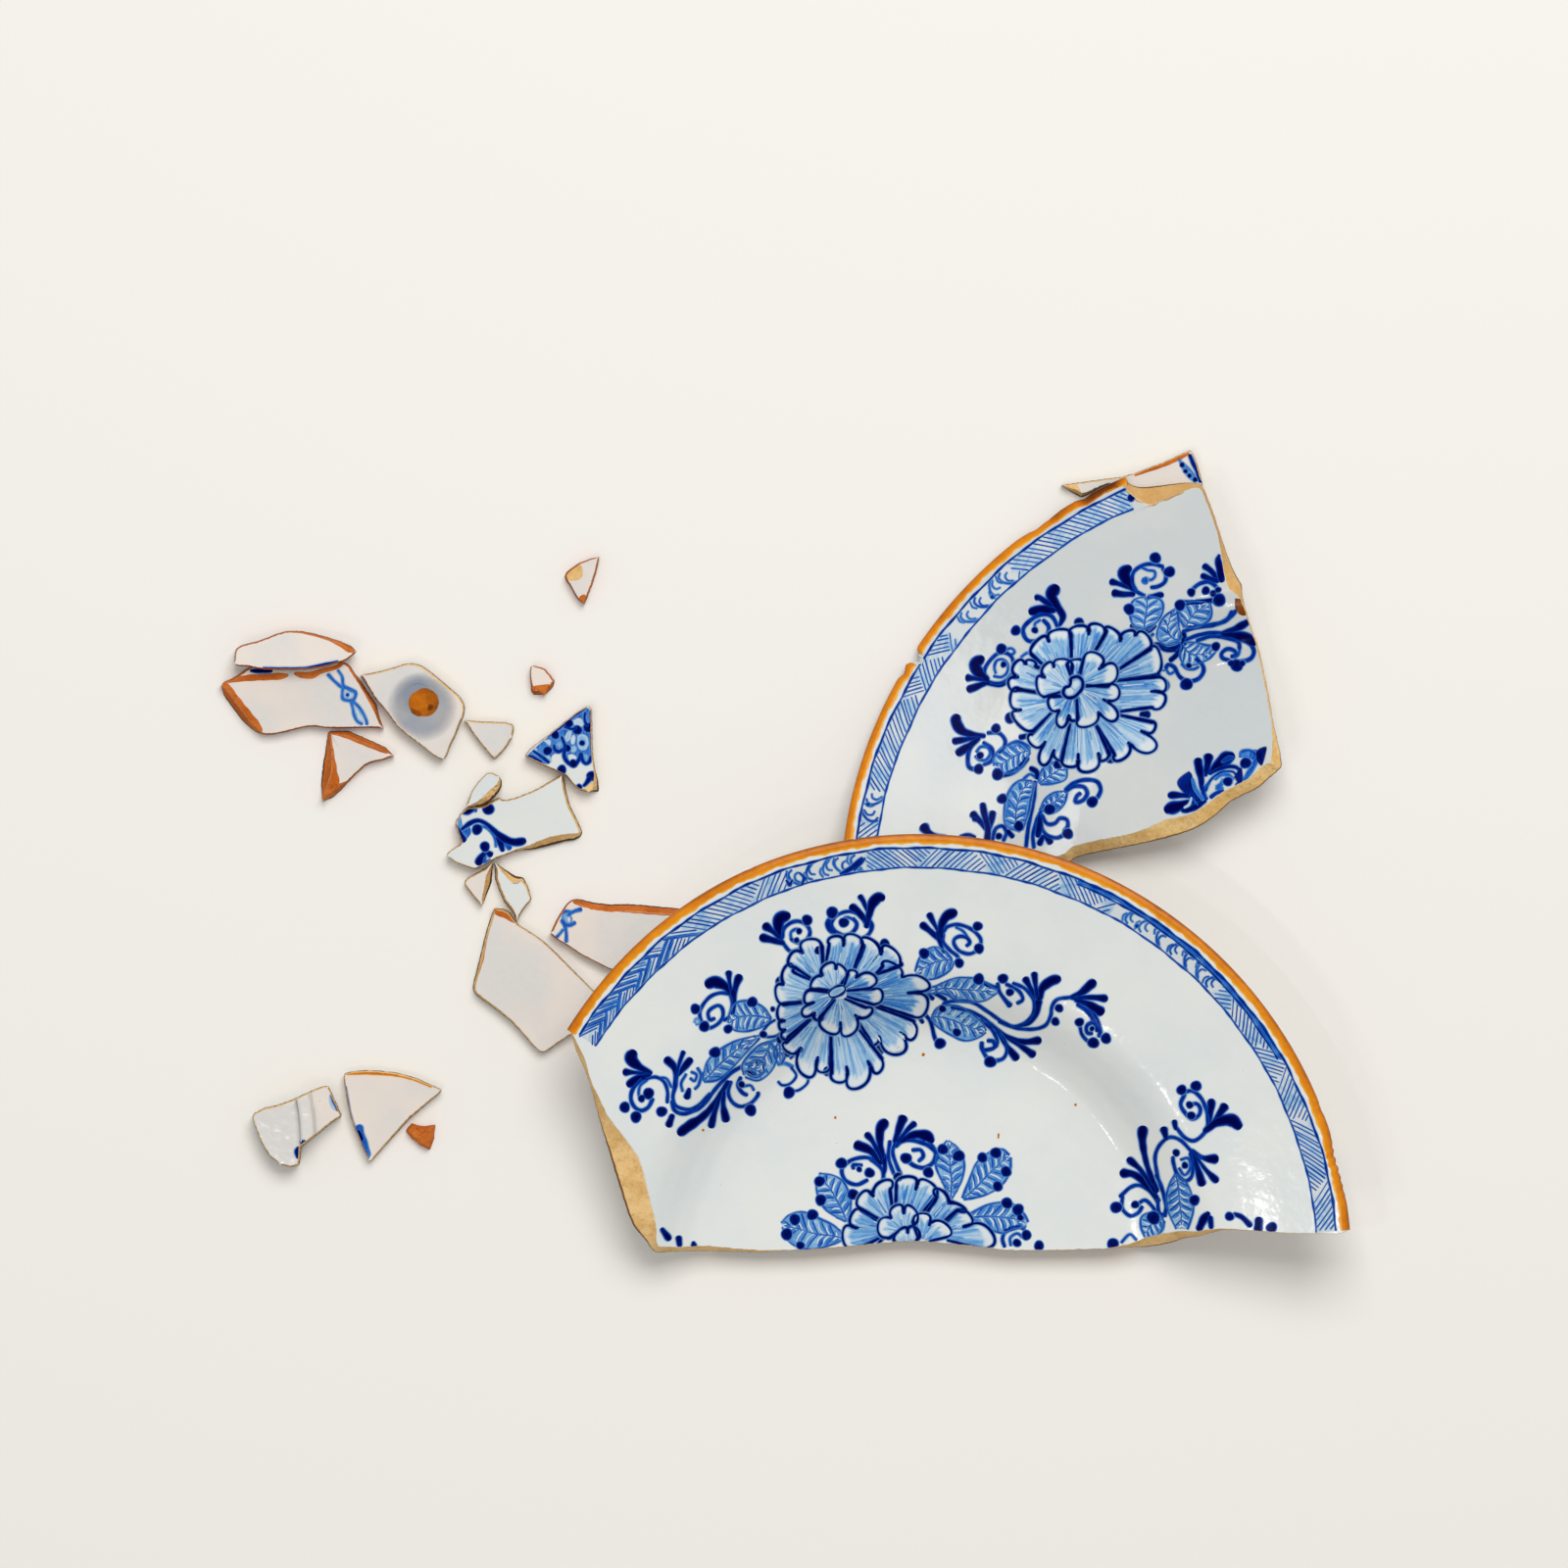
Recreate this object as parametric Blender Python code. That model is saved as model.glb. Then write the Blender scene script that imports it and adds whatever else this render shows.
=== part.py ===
"""A hand-thrown earthenware dish, broken, with its pieces lying on a table.

The dish is turned once, as the potter threw it: a flat well on a foot ring, a rising
side and a sloping flange with a rounded lip. Each piece is that same dish, laid where
the piece lies, and cut through by the fracture that frees it. Sizes are in millimetres
until the MM factor makes them metres. X is to the right, Y away from the viewer, Z up.
"""
import math

import bmesh
import bpy
from mathutils import Matrix, Vector

MM = 0.001

# Driving dimensions of the whole dish.
RIM_RADIUS = 154.8
LIP_HEIGHT = 35.4
FOOT_OUTER = 78.2
FOOT_INNER = 72.4
TURN_STEPS = 96

# The lip dried a little flat on one side of the dish.
FLAT_ANGLE = 165.0
FLAT_HALF_WIDTH = 58.0
FLAT_DEPTH = 0.026

# How the pieces lie.
HALF_CENTRE = (48.2, -148.6)
QUARTER_CENTRE = (178.9, -12.5)
QUARTER_LEAN = 23.2
QUARTER_LEAN_TOWARDS = 135.2
QUARTER_SPIN = 100.0

# How far a fracture cutter reaches past the faces of the wall, first on its own slope,
# as a share of the wall, and then upright, and how far it stays outside the rim.
CUT_OVERRUN = 0.08
CUT_REACH = 6.0
RIM_MARGIN = 12.0

# Rounds taken to find where a plumb line meets a leaning wall, and how far either side
# of a radius the slope of the wall is read.
PLUMB_ROUNDS = 12
SLOPE_REACH = 6.0

# Radius and height along the painted front, from the middle to the lip.
FRONT = [
    (0.0, 9.0),
    (44.0, 9.2),
    (70.0, 9.9),
    (82.0, 11.6),
    (89.0, 15.0),
    (95.0, 19.4),
    (100.5, 23.4),
    (106.0, 26.2),
    (112.0, 27.9),
    (130.0, 31.9),
    (147.0, 35.9),
    (152.3, 37.1),
]
LIP = [
    (154.2, 36.7),
    (RIM_RADIUS, LIP_HEIGHT),
    (154.5, 33.8),
    (153.1, 32.9),
]
BACK = [
    (147.0, 31.7),
    (130.0, 27.7),
    (112.0, 23.6),
    (105.0, 20.9),
    (98.5, 16.4),
    (92.0, 11.6),
    (86.5, 7.6),
    (81.5, 4.9),
    (FOOT_OUTER, 3.6),
    (77.6, 0.5),
    (76.6, 0.0),
    (73.8, 0.0),
    (72.9, 0.5),
    (FOOT_INNER, 3.4),
    (60.0, 3.3),
    (0.0, 3.2),
]

GLAZE = (0.68, 0.71, 0.71, 1.0)
BACK_GLAZE = (0.73, 0.68, 0.64, 1.0)
BARE_CLAY = (0.62, 0.30, 0.09, 1.0)


def arc(centre, radius, start, end, count):
    """Points on a circle, with no fracture slope, from one angle to another in degrees."""
    points = []
    for step in range(count):
        angle = math.radians(start + (end - start) * step / (count - 1))
        x = centre[0] + radius * math.cos(angle)
        y = centre[1] + radius * math.sin(angle)
        points.append((x, y, 0.0))
    return points


# Fracture outlines, seen from above: x, y and the width of broken wall that shows there.
HALF_OUTLINE = arc(HALF_CENTRE, RIM_RADIUS + RIM_MARGIN, 146.3, 17.5, 15) + [
    (197.7, -104.5, 0.3), (196.9, -110.0, 0.5), (197.6, -115.0, 0.6), (199.1, -120.0, 0.8),
    (200.6, -125.0, 0.6), (201.6, -130.0, 0.6), (202.4, -135.4, 0.5), (199.0, -136.9, 0.2),
    (180.0, -136.7, 0.2), (163.0, -135.6, 0.2), (157.0, -135.6, 0.6), (152.0, -137.0, 1.5),
    (148.0, -138.2, 2.0), (143.6, -138.6, 2.6), (141.0, -139.8, 3.5), (136.0, -141.2, 4.0),
    (130.0, -142.1, 3.4), (124.0, -142.2, 1.2), (116.0, -142.8, 0.2), (100.0, -143.3, 0.2),
    (80.0, -143.4, 0.2), (66.0, -141.6, 0.2), (50.0, -140.2, 0.2), (42.0, -140.2, 0.2),
    (25.0, -141.8, 0.2), (8.0, -143.3, 0.2), (0.0, -143.4, 0.3), (-8.0, -144.2, 0.9),
    (-16.0, -143.8, 1.0), (-28.0, -143.5, 1.9), (-38.0, -143.6, 1.6), (-46.3, -144.0, 2.4),
    (-47.6, -142.4, 3.2), (-50.2, -138.6, 6.0), (-53.4, -135.2, 8.3), (-55.6, -130.5, 9.0),
    (-57.2, -125.5, 9.3), (-59.2, -119.0, 9.8), (-61.2, -112.5, 9.8), (-62.6, -107.5, 8.0),
    (-64.8, -100.5, 5.3), (-66.2, -95.5, 3.2), (-67.6, -90.0, 2.1), (-69.4, -83.5, 0.8),
    (-70.6, -80.0, 0.8), (-72.4, -75.5, 1.6), (-74.3, -71.5, 1.6), (-75.6, -67.5, 1.0),
    (-76.4, -64.3, 0.5),
]
QUARTER_OUTLINE = [
    (12.0, -10.0, 0.0), (14.0, 18.0, 0.0), (24.0, 46.0, 0.0), (37.0, 66.0, 0.0),
    (42.4, 63.9, 0.3), (45.2, 67.0, 0.3), (48.1, 68.4, 0.3), (48.8, 72.0, 0.3),
    (43.0, 77.0, 0.0), (60.0, 100.0, 0.0), (80.0, 117.0, 0.0), (84.0, 111.8, 0.4),
    (90.0, 115.4, 0.4), (95.0, 118.6, 0.5), (100.0, 122.0, 0.6), (104.0, 125.0, 0.8),
    (110.0, 127.4, 0.8), (115.0, 130.4, 0.8), (119.0, 132.2, 0.8), (122.6, 133.0, 1.4),
    (125.0, 131.3, 3.0), (127.5, 130.6, 4.4), (131.0, 130.8, 7.0), (134.0, 131.1, 6.0),
    (138.0, 131.6, 5.0), (142.0, 132.1, 3.8), (146.0, 132.3, 2.4), (149.4, 131.8, 1.6),
    (150.8, 129.8, 1.0), (154.0, 121.5, 1.0), (156.6, 113.2, 0.9), (159.0, 106.0, 2.2),
    (161.4, 100.0, 3.8), (164.2, 95.4, 5.2), (164.3, 91.6, 1.2), (165.5, 87.0, 0.5),
    (167.4, 81.0, 0.5), (169.9, 74.5, 0.6), (171.3, 69.0, 0.8), (173.6, 58.0, 0.8),
    (175.6, 45.5, 0.8), (177.0, 39.3, 2.0), (178.1, 34.0, 3.4), (178.4, 30.0, 4.4),
    (175.0, 27.2, 5.0), (169.8, 22.6, 4.6), (163.0, 19.4, 4.2), (159.6, 17.5, 4.5),
    (156.0, 14.0, 5.0), (152.5, 11.2, 5.2), (148.5, 8.7, 5.4), (144.0, 6.8, 6.0),
    (138.0, 5.0, 6.5), (131.0, 3.3, 5.0), (124.0, 1.8, 4.2), (117.0, 0.5, 4.2),
    (110.0, -0.9, 4.2), (104.6, -2.3, 4.2), (102.6, -4.0, 3.6), (92.0, -7.5, 3.0),
    (76.0, -10.5, 2.0), (58.0, -12.0, 2.0), (40.0, -11.6, 1.0),
]
CORNER_OUTLINE = [
    (99.7, 131.6, 0.5), (105.0, 132.3, 0.6), (110.0, 133.0, 0.6), (116.0, 133.8, 0.6),
    (121.0, 134.4, 0.6), (126.0, 135.8, 0.7), (131.0, 137.8, 0.8), (136.0, 139.6, 1.2),
    (141.0, 142.0, 1.6), (146.1, 144.2, 1.2), (147.2, 142.4, 0.5), (148.4, 139.4, 0.5),
    (149.4, 136.0, 0.6), (150.4, 132.6, 0.6), (149.6, 129.2, 0.5), (140.0, 127.6, 0.5),
    (124.0, 128.4, 0.5), (119.8, 129.8, 0.5), (117.6, 131.9, 0.5), (114.6, 131.0, 0.6),
    (109.6, 128.2, 1.0), (107.0, 127.0, 1.4), (103.4, 128.8, 1.6), (101.0, 130.4, 0.9),
]
MARKED_OUTLINE = [
    (-75.7, -17.2, 0.5), (-72.9, -17.3, 2.0), (-69.0, -18.4, 2.6), (-62.7, -19.2, 2.7),
    (-57.1, -19.0, 2.6), (-50.4, -19.4, 2.6), (-43.6, -20.1, 2.4), (-37.4, -20.6, 2.2),
    (-31.0, -24.5, 1.0), (-34.0, -33.0, 0.6), (-44.0, -39.5, 0.6), (-54.0, -44.0, 0.6),
    (-62.5, -42.6, 0.4), (-67.3, -40.1, 0.4), (-72.9, -37.3, 0.4), (-77.4, -34.2, 0.4),
    (-81.3, -32.0, 0.5), (-83.5, -30.3, 0.6), (-83.9, -29.3, 0.8), (-81.9, -24.8, 0.8),
    (-79.1, -20.2, 0.7), (-77.4, -18.2, 0.6),
]
LARGE_BACK_OUTLINE = [
    (-104.1, -20.5, 1.3), (-100.5, -20.7, 2.2), (-98.4, -22.0, 2.4), (-95.6, -26.3, 2.4),
    (-90.9, -29.2, 2.4), (-86.4, -32.3, 2.4), (-81.9, -36.5, 2.0), (-74.6, -43.9, 1.6),
    (-68.1, -50.4, 1.2), (-62.0, -57.0, 0.8), (-66.0, -63.6, 0.6), (-76.3, -65.8, 0.5),
    (-83.0, -70.3, 0.5), (-85.6, -72.4, 0.5), (-87.3, -72.5, 0.5), (-89.8, -70.4, 0.5),
    (-93.7, -65.9, 0.6), (-98.2, -61.1, 0.7), (-103.9, -56.6, 0.8), (-110.6, -51.8, 0.9),
    (-111.8, -50.1, 1.0), (-111.9, -48.4, 1.1), (-110.6, -43.3, 1.2), (-108.9, -36.6, 1.2),
    (-107.3, -29.8, 1.2), (-105.6, -24.2, 1.2),
]
SPLIT_RIGHT_OUTLINE = [
    (-104.0, -3.8, 1.2), (-100.5, -6.4, 2.6), (-96.6, -8.9, 2.8), (-95.1, -9.2, 2.6),
    (-93.7, -9.4, 1.6), (-92.0, -12.6, 0.7), (-90.6, -17.4, 0.5), (-93.2, -20.4, 0.5),
    (-94.9, -23.0, 0.5), (-95.8, -25.3, 0.6), (-98.0, -21.2, 0.9), (-100.7, -18.0, 1.0),
    (-102.6, -13.5, 1.0), (-103.8, -10.1, 1.0),
]
SPLIT_LEFT_OUTLINE = [
    (-104.6, -4.0, 1.6), (-109.4, -7.2, 0.7), (-113.5, -9.4, 0.6), (-114.8, -10.8, 0.6),
    (-114.9, -11.9, 0.6), (-112.3, -15.5, 0.6), (-109.5, -18.7, 0.6), (-108.3, -19.5, 0.8),
    (-106.8, -15.7, 1.4), (-105.0, -11.2, 2.4),
]
SPRIG_OUTLINE = [
    (-118.3, 10.0, 0.5), (-116.2, 13.6, 0.5), (-113.8, 15.9, 0.8), (-108.0, 16.3, 0.8),
    (-104.4, 18.3, 0.8), (-102.4, 19.4, 0.8), (-100.7, 18.2, 0.4), (-96.9, 19.0, 0.5),
    (-93.2, 20.4, 0.5), (-89.4, 22.0, 0.6), (-85.7, 24.1, 0.6), (-81.9, 26.4, 0.7),
    (-79.9, 27.3, 0.8), (-78.9, 25.6, 1.0), (-78.2, 21.3, 1.0), (-76.8, 16.1, 1.0),
    (-74.4, 11.4, 1.0), (-72.4, 7.0, 1.0), (-72.8, 5.3, 1.6), (-74.9, 4.0, 2.4),
    (-78.6, 3.5, 2.6), (-82.9, 2.3, 3.0), (-87.6, 1.1, 2.6), (-91.3, 0.4, 1.6),
    (-95.1, 0.3, 0.7), (-98.8, -1.0, 0.5), (-103.5, -2.7, 0.5), (-107.3, -5.0, 0.5),
    (-110.8, -6.6, 0.5), (-112.4, -6.2, 0.5), (-118.1, -4.1, 0.5), (-120.9, -1.9, 0.5),
    (-121.3, -1.0, 0.5), (-119.0, 0.9, 0.5), (-115.7, 2.8, 0.5), (-116.7, 5.3, 0.5),
]
SPRIG_CHIP_OUTLINE = [
    (-114.3, 15.9, 0.8), (-113.1, 19.0, 0.5), (-112.0, 21.8, 0.4), (-110.1, 24.6, 0.4),
    (-107.7, 27.2, 0.4), (-106.3, 28.2, 0.4), (-104.5, 28.0, 0.4), (-102.3, 26.9, 0.6),
    (-101.3, 25.3, 1.2), (-101.4, 23.2, 2.0), (-102.6, 20.8, 2.8), (-105.9, 17.3, 3.4),
    (-109.2, 16.1, 2.8), (-112.4, 15.8, 1.6),
]
PAINTED_OUTLINE = [
    (-70.1, 52.4, 0.4), (-69.0, 50.9, 0.4), (-68.9, 45.2, 0.5), (-68.8, 38.2, 0.5),
    (-68.4, 32.6, 0.5), (-67.6, 28.3, 0.6), (-66.7, 25.1, 1.6), (-66.5, 21.4, 2.6),
    (-70.2, 21.1, 1.2), (-73.5, 21.9, 0.5), (-75.8, 23.9, 0.5),
    (-78.1, 26.9, 0.5), (-83.8, 29.5, 0.6), (-88.5, 31.6, 0.6), (-92.0, 33.5, 0.5),
    (-93.1, 34.4, 0.4), (-91.3, 36.8, 0.4), (-83.3, 42.9, 0.4), (-78.6, 46.7, 0.4),
    (-73.9, 50.4, 0.4),
]
PLAIN_OUTLINE = [
    (-114.7, 47.1, 0.5), (-109.8, 46.6, 0.6), (-100.0, 46.3, 0.6),
    (-97.3, 45.4, 0.7), (-97.0, 43.8, 0.7), (-97.6, 40.9, 0.6), (-99.1, 38.2, 0.6),
    (-101.1, 35.5, 0.6), (-104.1, 32.8, 0.6), (-107.2, 36.4, 0.5), (-110.3, 40.2, 0.5),
    (-112.5, 43.3, 0.5),
]
SPOT_OUTLINE = [
    (-152.0, 63.3, 0.6), (-147.7, 64.1, 0.7), (-143.7, 65.0, 0.7), (-139.3, 66.3, 0.7),
    (-135.7, 67.5, 0.7), (-133.0, 67.5, 0.8), (-130.4, 66.8, 0.8), (-127.2, 64.7, 0.8),
    (-123.2, 61.4, 0.8), (-119.2, 58.0, 0.8), (-116.5, 55.6, 0.8), (-114.9, 53.1, 0.7),
    (-114.5, 51.1, 0.6), (-115.3, 47.6, 0.6), (-116.2, 46.2, 0.6), (-117.6, 42.2, 0.6),
    (-119.9, 37.7, 0.5), (-121.0, 34.4, 0.5), (-122.2, 32.9, 0.5), (-123.7, 33.1, 0.5),
    (-125.9, 34.3, 0.5), (-130.8, 38.2, 0.5), (-136.2, 42.2, 0.5), (-139.6, 45.4, 0.5),
    (-141.3, 48.0, 0.5), (-144.4, 52.0, 0.5), (-146.2, 53.8, 0.5), (-149.2, 58.6, 0.5),
]
RIBBON_OUTLINE = [
    (-202.2, 59.8, 0.8), (-201.3, 60.9, 0.7), (-198.5, 61.9, 1.0), (-191.4, 66.6, 0.8),
    (-182.0, 66.8, 0.8), (-172.0, 67.0, 0.8), (-160.0, 68.4, 0.8), (-157.2, 67.6, 0.8),
    (-155.6, 66.4, 0.9), (-154.2, 63.8, 1.0), (-152.9, 62.4, 1.1), (-150.0, 57.9, 1.1),
    (-146.4, 52.8, 1.1), (-145.4, 48.3, 1.0), (-143.8, 44.0, 0.8), (-150.1, 44.3, 0.5),
    (-156.7, 44.1, 0.5), (-163.7, 44.1, 0.5), (-169.4, 44.8, 0.5), (-173.6, 44.2, 0.5),
    (-177.8, 43.0, 0.5), (-182.5, 42.0, 0.5), (-186.0, 41.6, 0.6), (-188.1, 42.1, 0.8),
    (-190.0, 42.9, 1.4), (-194.2, 46.4, 1.9), (-197.5, 50.7, 2.1), (-200.6, 54.9, 2.1),
    (-201.5, 56.5, 1.8), (-201.8, 57.7, 1.4),
]
LENS_OUTLINE = [
    (-197.3, 71.3, 0.6), (-196.8, 72.7, 0.7), (-194.7, 74.1, 0.8), (-190.0, 75.2, 1.0),
    (-187.2, 76.1, 1.2), (-182.0, 78.2, 1.4), (-179.2, 79.0, 1.5), (-175.9, 79.2, 1.6),
    (-172.2, 78.9, 1.6), (-168.4, 78.1, 1.6), (-163.7, 76.8, 1.6), (-159.0, 75.3, 1.4),
    (-155.3, 73.6, 1.2), (-153.4, 71.6, 0.6), (-155.8, 69.4, 0.5),
    (-157.9, 68.2, 0.5), (-163.7, 66.4, 0.5), (-169.4, 65.3, 0.5), (-175.9, 65.0, 0.5),
    (-182.5, 65.0, 0.5), (-187.2, 65.2, 0.5), (-192.8, 66.3, 0.5), (-196.4, 66.4, 0.5),
    (-197.3, 67.3, 0.5),
]
WEDGE_OUTLINE = [
    (-163.7, 43.1, 1.0), (-156.7, 43.3, 1.6), (-149.7, 40.3, 1.6), (-143.1, 37.3, 1.4),
    (-140.0, 34.1, 0.7), (-143.5, 32.8, 0.6), (-148.7, 31.6, 0.6),
    (-150.6, 30.5, 0.6), (-153.4, 27.9, 0.6), (-156.2, 25.1, 0.7), (-159.0, 22.0, 1.4),
    (-161.9, 19.4, 1.8), (-165.9, 17.7, 2.4), (-166.3, 24.4, 3.4),
    (-165.6, 31.4, 3.4), (-164.9, 35.1, 2.6), (-164.4, 38.9, 1.6),
]
UPPER_CRUMB_OUTLINE = [
    (-78.9, 99.1, 1.4), (-78.2, 100.2, 1.6), (-75.5, 102.4, 1.6), (-73.3, 103.7, 1.0),
    (-69.5, 105.1, 0.5), (-66.4, 105.8, 0.5), (-66.9, 102.2, 1.0),
    (-68.4, 97.0, 1.0), (-70.1, 92.5, 0.9), (-71.7, 88.5, 0.9), (-74.4, 90.6, 0.6),
    (-76.3, 94.2, 0.5), (-78.5, 97.4, 0.8),
]
SMALL_CRUMB_OUTLINE = [
    (-91.3, 63.9, 0.4), (-91.0, 66.2, 0.4), (-90.4, 66.7, 0.4), (-87.2, 66.0, 0.5),
    (-86.1, 65.6, 0.5), (-83.8, 63.2, 0.6), (-82.3, 60.9, 0.8), (-83.1, 58.7, 1.4),
    (-84.4, 57.5, 2.2), (-85.7, 56.2, 2.4), (-89.8, 56.1, 2.0), (-90.9, 57.5, 0.9),
    (-91.1, 60.9, 0.6),
]
FOOT_RING_OUTLINE = [
    (-191.1, -95.5, 0.5), (-190.4, -94.2, 0.6), (-186.7, -92.2, 0.6), (-182.1, -91.2, 0.6),
    (-176.7, -89.3, 0.6), (-172.3, -87.2, 0.6), (-168.0, -85.3, 0.6), (-165.3, -84.3, 0.6),
    (-163.6, -84.5, 0.6), (-162.4, -86.9, 0.5), (-160.5, -91.2, 0.5), (-158.8, -95.1, 0.5),
    (-162.6, -97.7, 0.6), (-166.4, -100.9, 0.7), (-170.2, -103.9, 0.8), (-173.4, -106.3, 0.8),
    (-173.5, -109.6, 0.7), (-174.2, -112.9, 0.7), (-177.2, -113.6, 0.7), (-181.0, -112.5, 0.6),
    (-184.8, -109.6, 0.6), (-187.5, -105.2, 0.6), (-189.6, -99.9, 0.5),
]
FAN_OUTLINE = [
    (-158.2, -79.9, 0.4), (-156.1, -79.3, 0.5), (-151.3, -78.7, 0.6), (-145.9, -78.8, 0.6),
    (-138.9, -79.6, 0.6), (-132.4, -81.4, 0.6), (-127.0, -83.8, 0.5), (-122.9, -85.7, 0.4),
    (-123.7, -87.0, 0.5), (-128.1, -90.7, 0.6), (-134.5, -96.2, 0.7), (-141.0, -103.4, 0.7),
    (-145.9, -108.8, 0.6), (-148.3, -111.6, 0.4), (-149.1, -111.2, 0.4), (-151.3, -106.9, 0.5),
    (-154.0, -100.4, 0.5), (-155.9, -95.0, 0.5), (-157.2, -88.5, 0.5), (-158.0, -83.1, 0.5),
]
CLAY_CRUMB_OUTLINE = [
    (-133.9, -97.6, 1.0), (-131.8, -98.4, 1.4), (-129.1, -98.8, 1.4), (-125.2, -98.2, 0.9),
    (-125.6, -103.1, 1.2), (-127.2, -107.4, 1.2), (-130.8, -105.8, 1.2), (-134.0, -103.1, 1.2),
    (-136.0, -100.4, 1.2),
]
CLAY_CRUMB_HEIGHT = 3.6

# Pieces that lie flat: outline, face up, radius in the dish that their middle came from,
# bearing of the dish's rim from there, the glaze that shows, and how far and towards
# which bearing a piece leans on its neighbour.
FLAT_PIECES = {
    "corner_shard": (CORNER_OUTLINE, "back", 130.0, 120.0, BACK_GLAZE, 0.0, 0.0),
    "marked_shard": (MARKED_OUTLINE, "back", 126.0, 80.0, BACK_GLAZE, 0.0, 0.0),
    "large_back_shard": (LARGE_BACK_OUTLINE, "back", 126.0, 215.0, BACK_GLAZE, 0.0, 0.0),
    "split_shard_right": (SPLIT_RIGHT_OUTLINE, "front", 126.0, 60.0, GLAZE, 0.0, 0.0),
    "split_shard_left": (SPLIT_LEFT_OUTLINE, "front", 126.0, 150.0, GLAZE, 0.0, 0.0),
    "sprig_shard": (SPRIG_OUTLINE, "front", 126.0, 200.0, GLAZE, 0.0, 0.0),
    "sprig_chip": (SPRIG_CHIP_OUTLINE, "front", 128.0, 120.0, GLAZE, 32.0, 122.0),
    "painted_shard": (PAINTED_OUTLINE, "front", 30.0, 100.0, GLAZE, 0.0, 0.0),
    "plain_shard": (PLAIN_OUTLINE, "front", 120.0, 90.0, GLAZE, 0.0, 0.0),
    "spot_shard": (SPOT_OUTLINE, "back", 36.0, 120.0, BACK_GLAZE, 0.0, 0.0),
    "ribbon_shard": (RIBBON_OUTLINE, "back", 128.0, 100.0, BACK_GLAZE, 0.0, 0.0),
    "lens_shard": (LENS_OUTLINE, "back", 128.0, 95.0, BACK_GLAZE, 24.0, 92.0),
    "wedge_shard": (WEDGE_OUTLINE, "back", 122.0, 30.0, BACK_GLAZE, 0.0, 0.0),
    "upper_crumb": (UPPER_CRUMB_OUTLINE, "front", 124.0, 20.0, GLAZE, 0.0, 0.0),
    "small_crumb": (SMALL_CRUMB_OUTLINE, "front", 124.0, 70.0, GLAZE, 0.0, 0.0),
    "foot_ring_shard": (FOOT_RING_OUTLINE, "back", 71.0, 4.0, BACK_GLAZE, 0.0, 0.0),
    "fan_shard": (FAN_OUTLINE, "front", 126.0, 95.0, GLAZE, 0.0, 0.0),
}


def along(profile, radius):
    """Height of a profile at a radius, read along its straight stretches."""
    points = sorted(profile)
    for (r0, z0), (r1, z1) in zip(points, points[1:]):
        if r0 <= radius <= r1:
            return z0 + (z1 - z0) * (radius - r0) / max(r1 - r0, 1e-6)
    return points[-1][1]


def front_height(radius):
    return along(FRONT, radius)


def back_height(radius):
    """The underside without its foot ring, which stands below the wall."""
    wall = [point for point in BACK if point[1] > 1.0]
    return along(wall, radius)


def flattened(angle):
    """Share of its true radius that the hand-thrown dish keeps at an angle in degrees."""
    off = abs((angle - FLAT_ANGLE + 180.0) % 360.0 - 180.0)
    if off > FLAT_HALF_WIDTH:
        return 1.0
    return 1.0 - FLAT_DEPTH * 0.5 * (1.0 + math.cos(math.pi * off / FLAT_HALF_WIDTH))


def turned_dish():
    """The whole dish as one closed mesh: its section spun round the Z axis."""
    sketch = bmesh.new()
    section = [sketch.verts.new((r * MM, 0.0, z * MM)) for r, z in FRONT + LIP + BACK]
    edges = [sketch.edges.new(pair) for pair in zip(section, section[1:])]
    bmesh.ops.spin(
        sketch, geom=section + edges, cent=(0, 0, 0), axis=(0, 0, 1),
        angle=2 * math.pi, steps=TURN_STEPS, use_merge=True,
    )
    bmesh.ops.remove_doubles(sketch, verts=sketch.verts, dist=1e-6)
    for vert in sketch.verts:
        share = flattened(math.degrees(math.atan2(vert.co.y, vert.co.x)))
        vert.co.x *= share
        vert.co.y *= share
    bmesh.ops.recalc_face_normals(sketch, faces=sketch.faces)
    mesh = bpy.data.meshes.new("turned_dish")
    sketch.to_mesh(mesh)
    sketch.free()
    mesh.shade_smooth()
    return mesh


def surface_height(placing, x, y, side):
    """Height in millimetres where a plumb line at x, y meets one side of a placed dish."""
    unplaced = placing.inverted()
    z = placing.translation.z
    for _ in range(PLUMB_ROUNDS):
        local = unplaced @ Vector((x * MM, y * MM, z))
        share = flattened(math.degrees(math.atan2(local.y, local.x)))
        radius = math.hypot(local.x, local.y) / share / MM
        local.z = side(radius) * MM
        z = (placing @ local).z
    return z / MM


def anticlockwise(outline):
    """The same outline, listed anticlockwise as seen from above."""
    doubled_area = 0.0
    for (x0, y0, _), (x1, y1, _) in zip(outline, outline[1:] + outline[:1]):
        doubled_area += x0 * y1 - x1 * y0
    return outline if doubled_area > 0 else outline[::-1]


def inset_points(outline):
    """Each point of an anticlockwise outline, moved in by the broken wall that shows."""
    moved = []
    for i, (x, y, width) in enumerate(outline):
        before = Vector(outline[i - 1][:2])
        after = Vector(outline[(i + 1) % len(outline)][:2])
        run = (after - before).normalized()
        moved.append((x - run.y * width, y + run.x * width))
    return moved


def ringed_solid(name, rings):
    """A closed solid through anticlockwise rings of as many points each, lowest first."""
    sketch = bmesh.new()
    layers = [[sketch.verts.new(point * MM) for point in ring] for ring in rings]
    sketch.faces.new(layers[0][::-1])
    sketch.faces.new(layers[-1])
    for low, high in zip(layers, layers[1:]):
        for i in range(len(low)):
            j = (i + 1) % len(low)
            sketch.faces.new((low[i], low[j], high[j], high[i]))
    bmesh.ops.triangulate(sketch, faces=sketch.faces)
    mesh = bpy.data.meshes.new(name)
    sketch.to_mesh(mesh)
    sketch.free()
    return mesh


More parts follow.
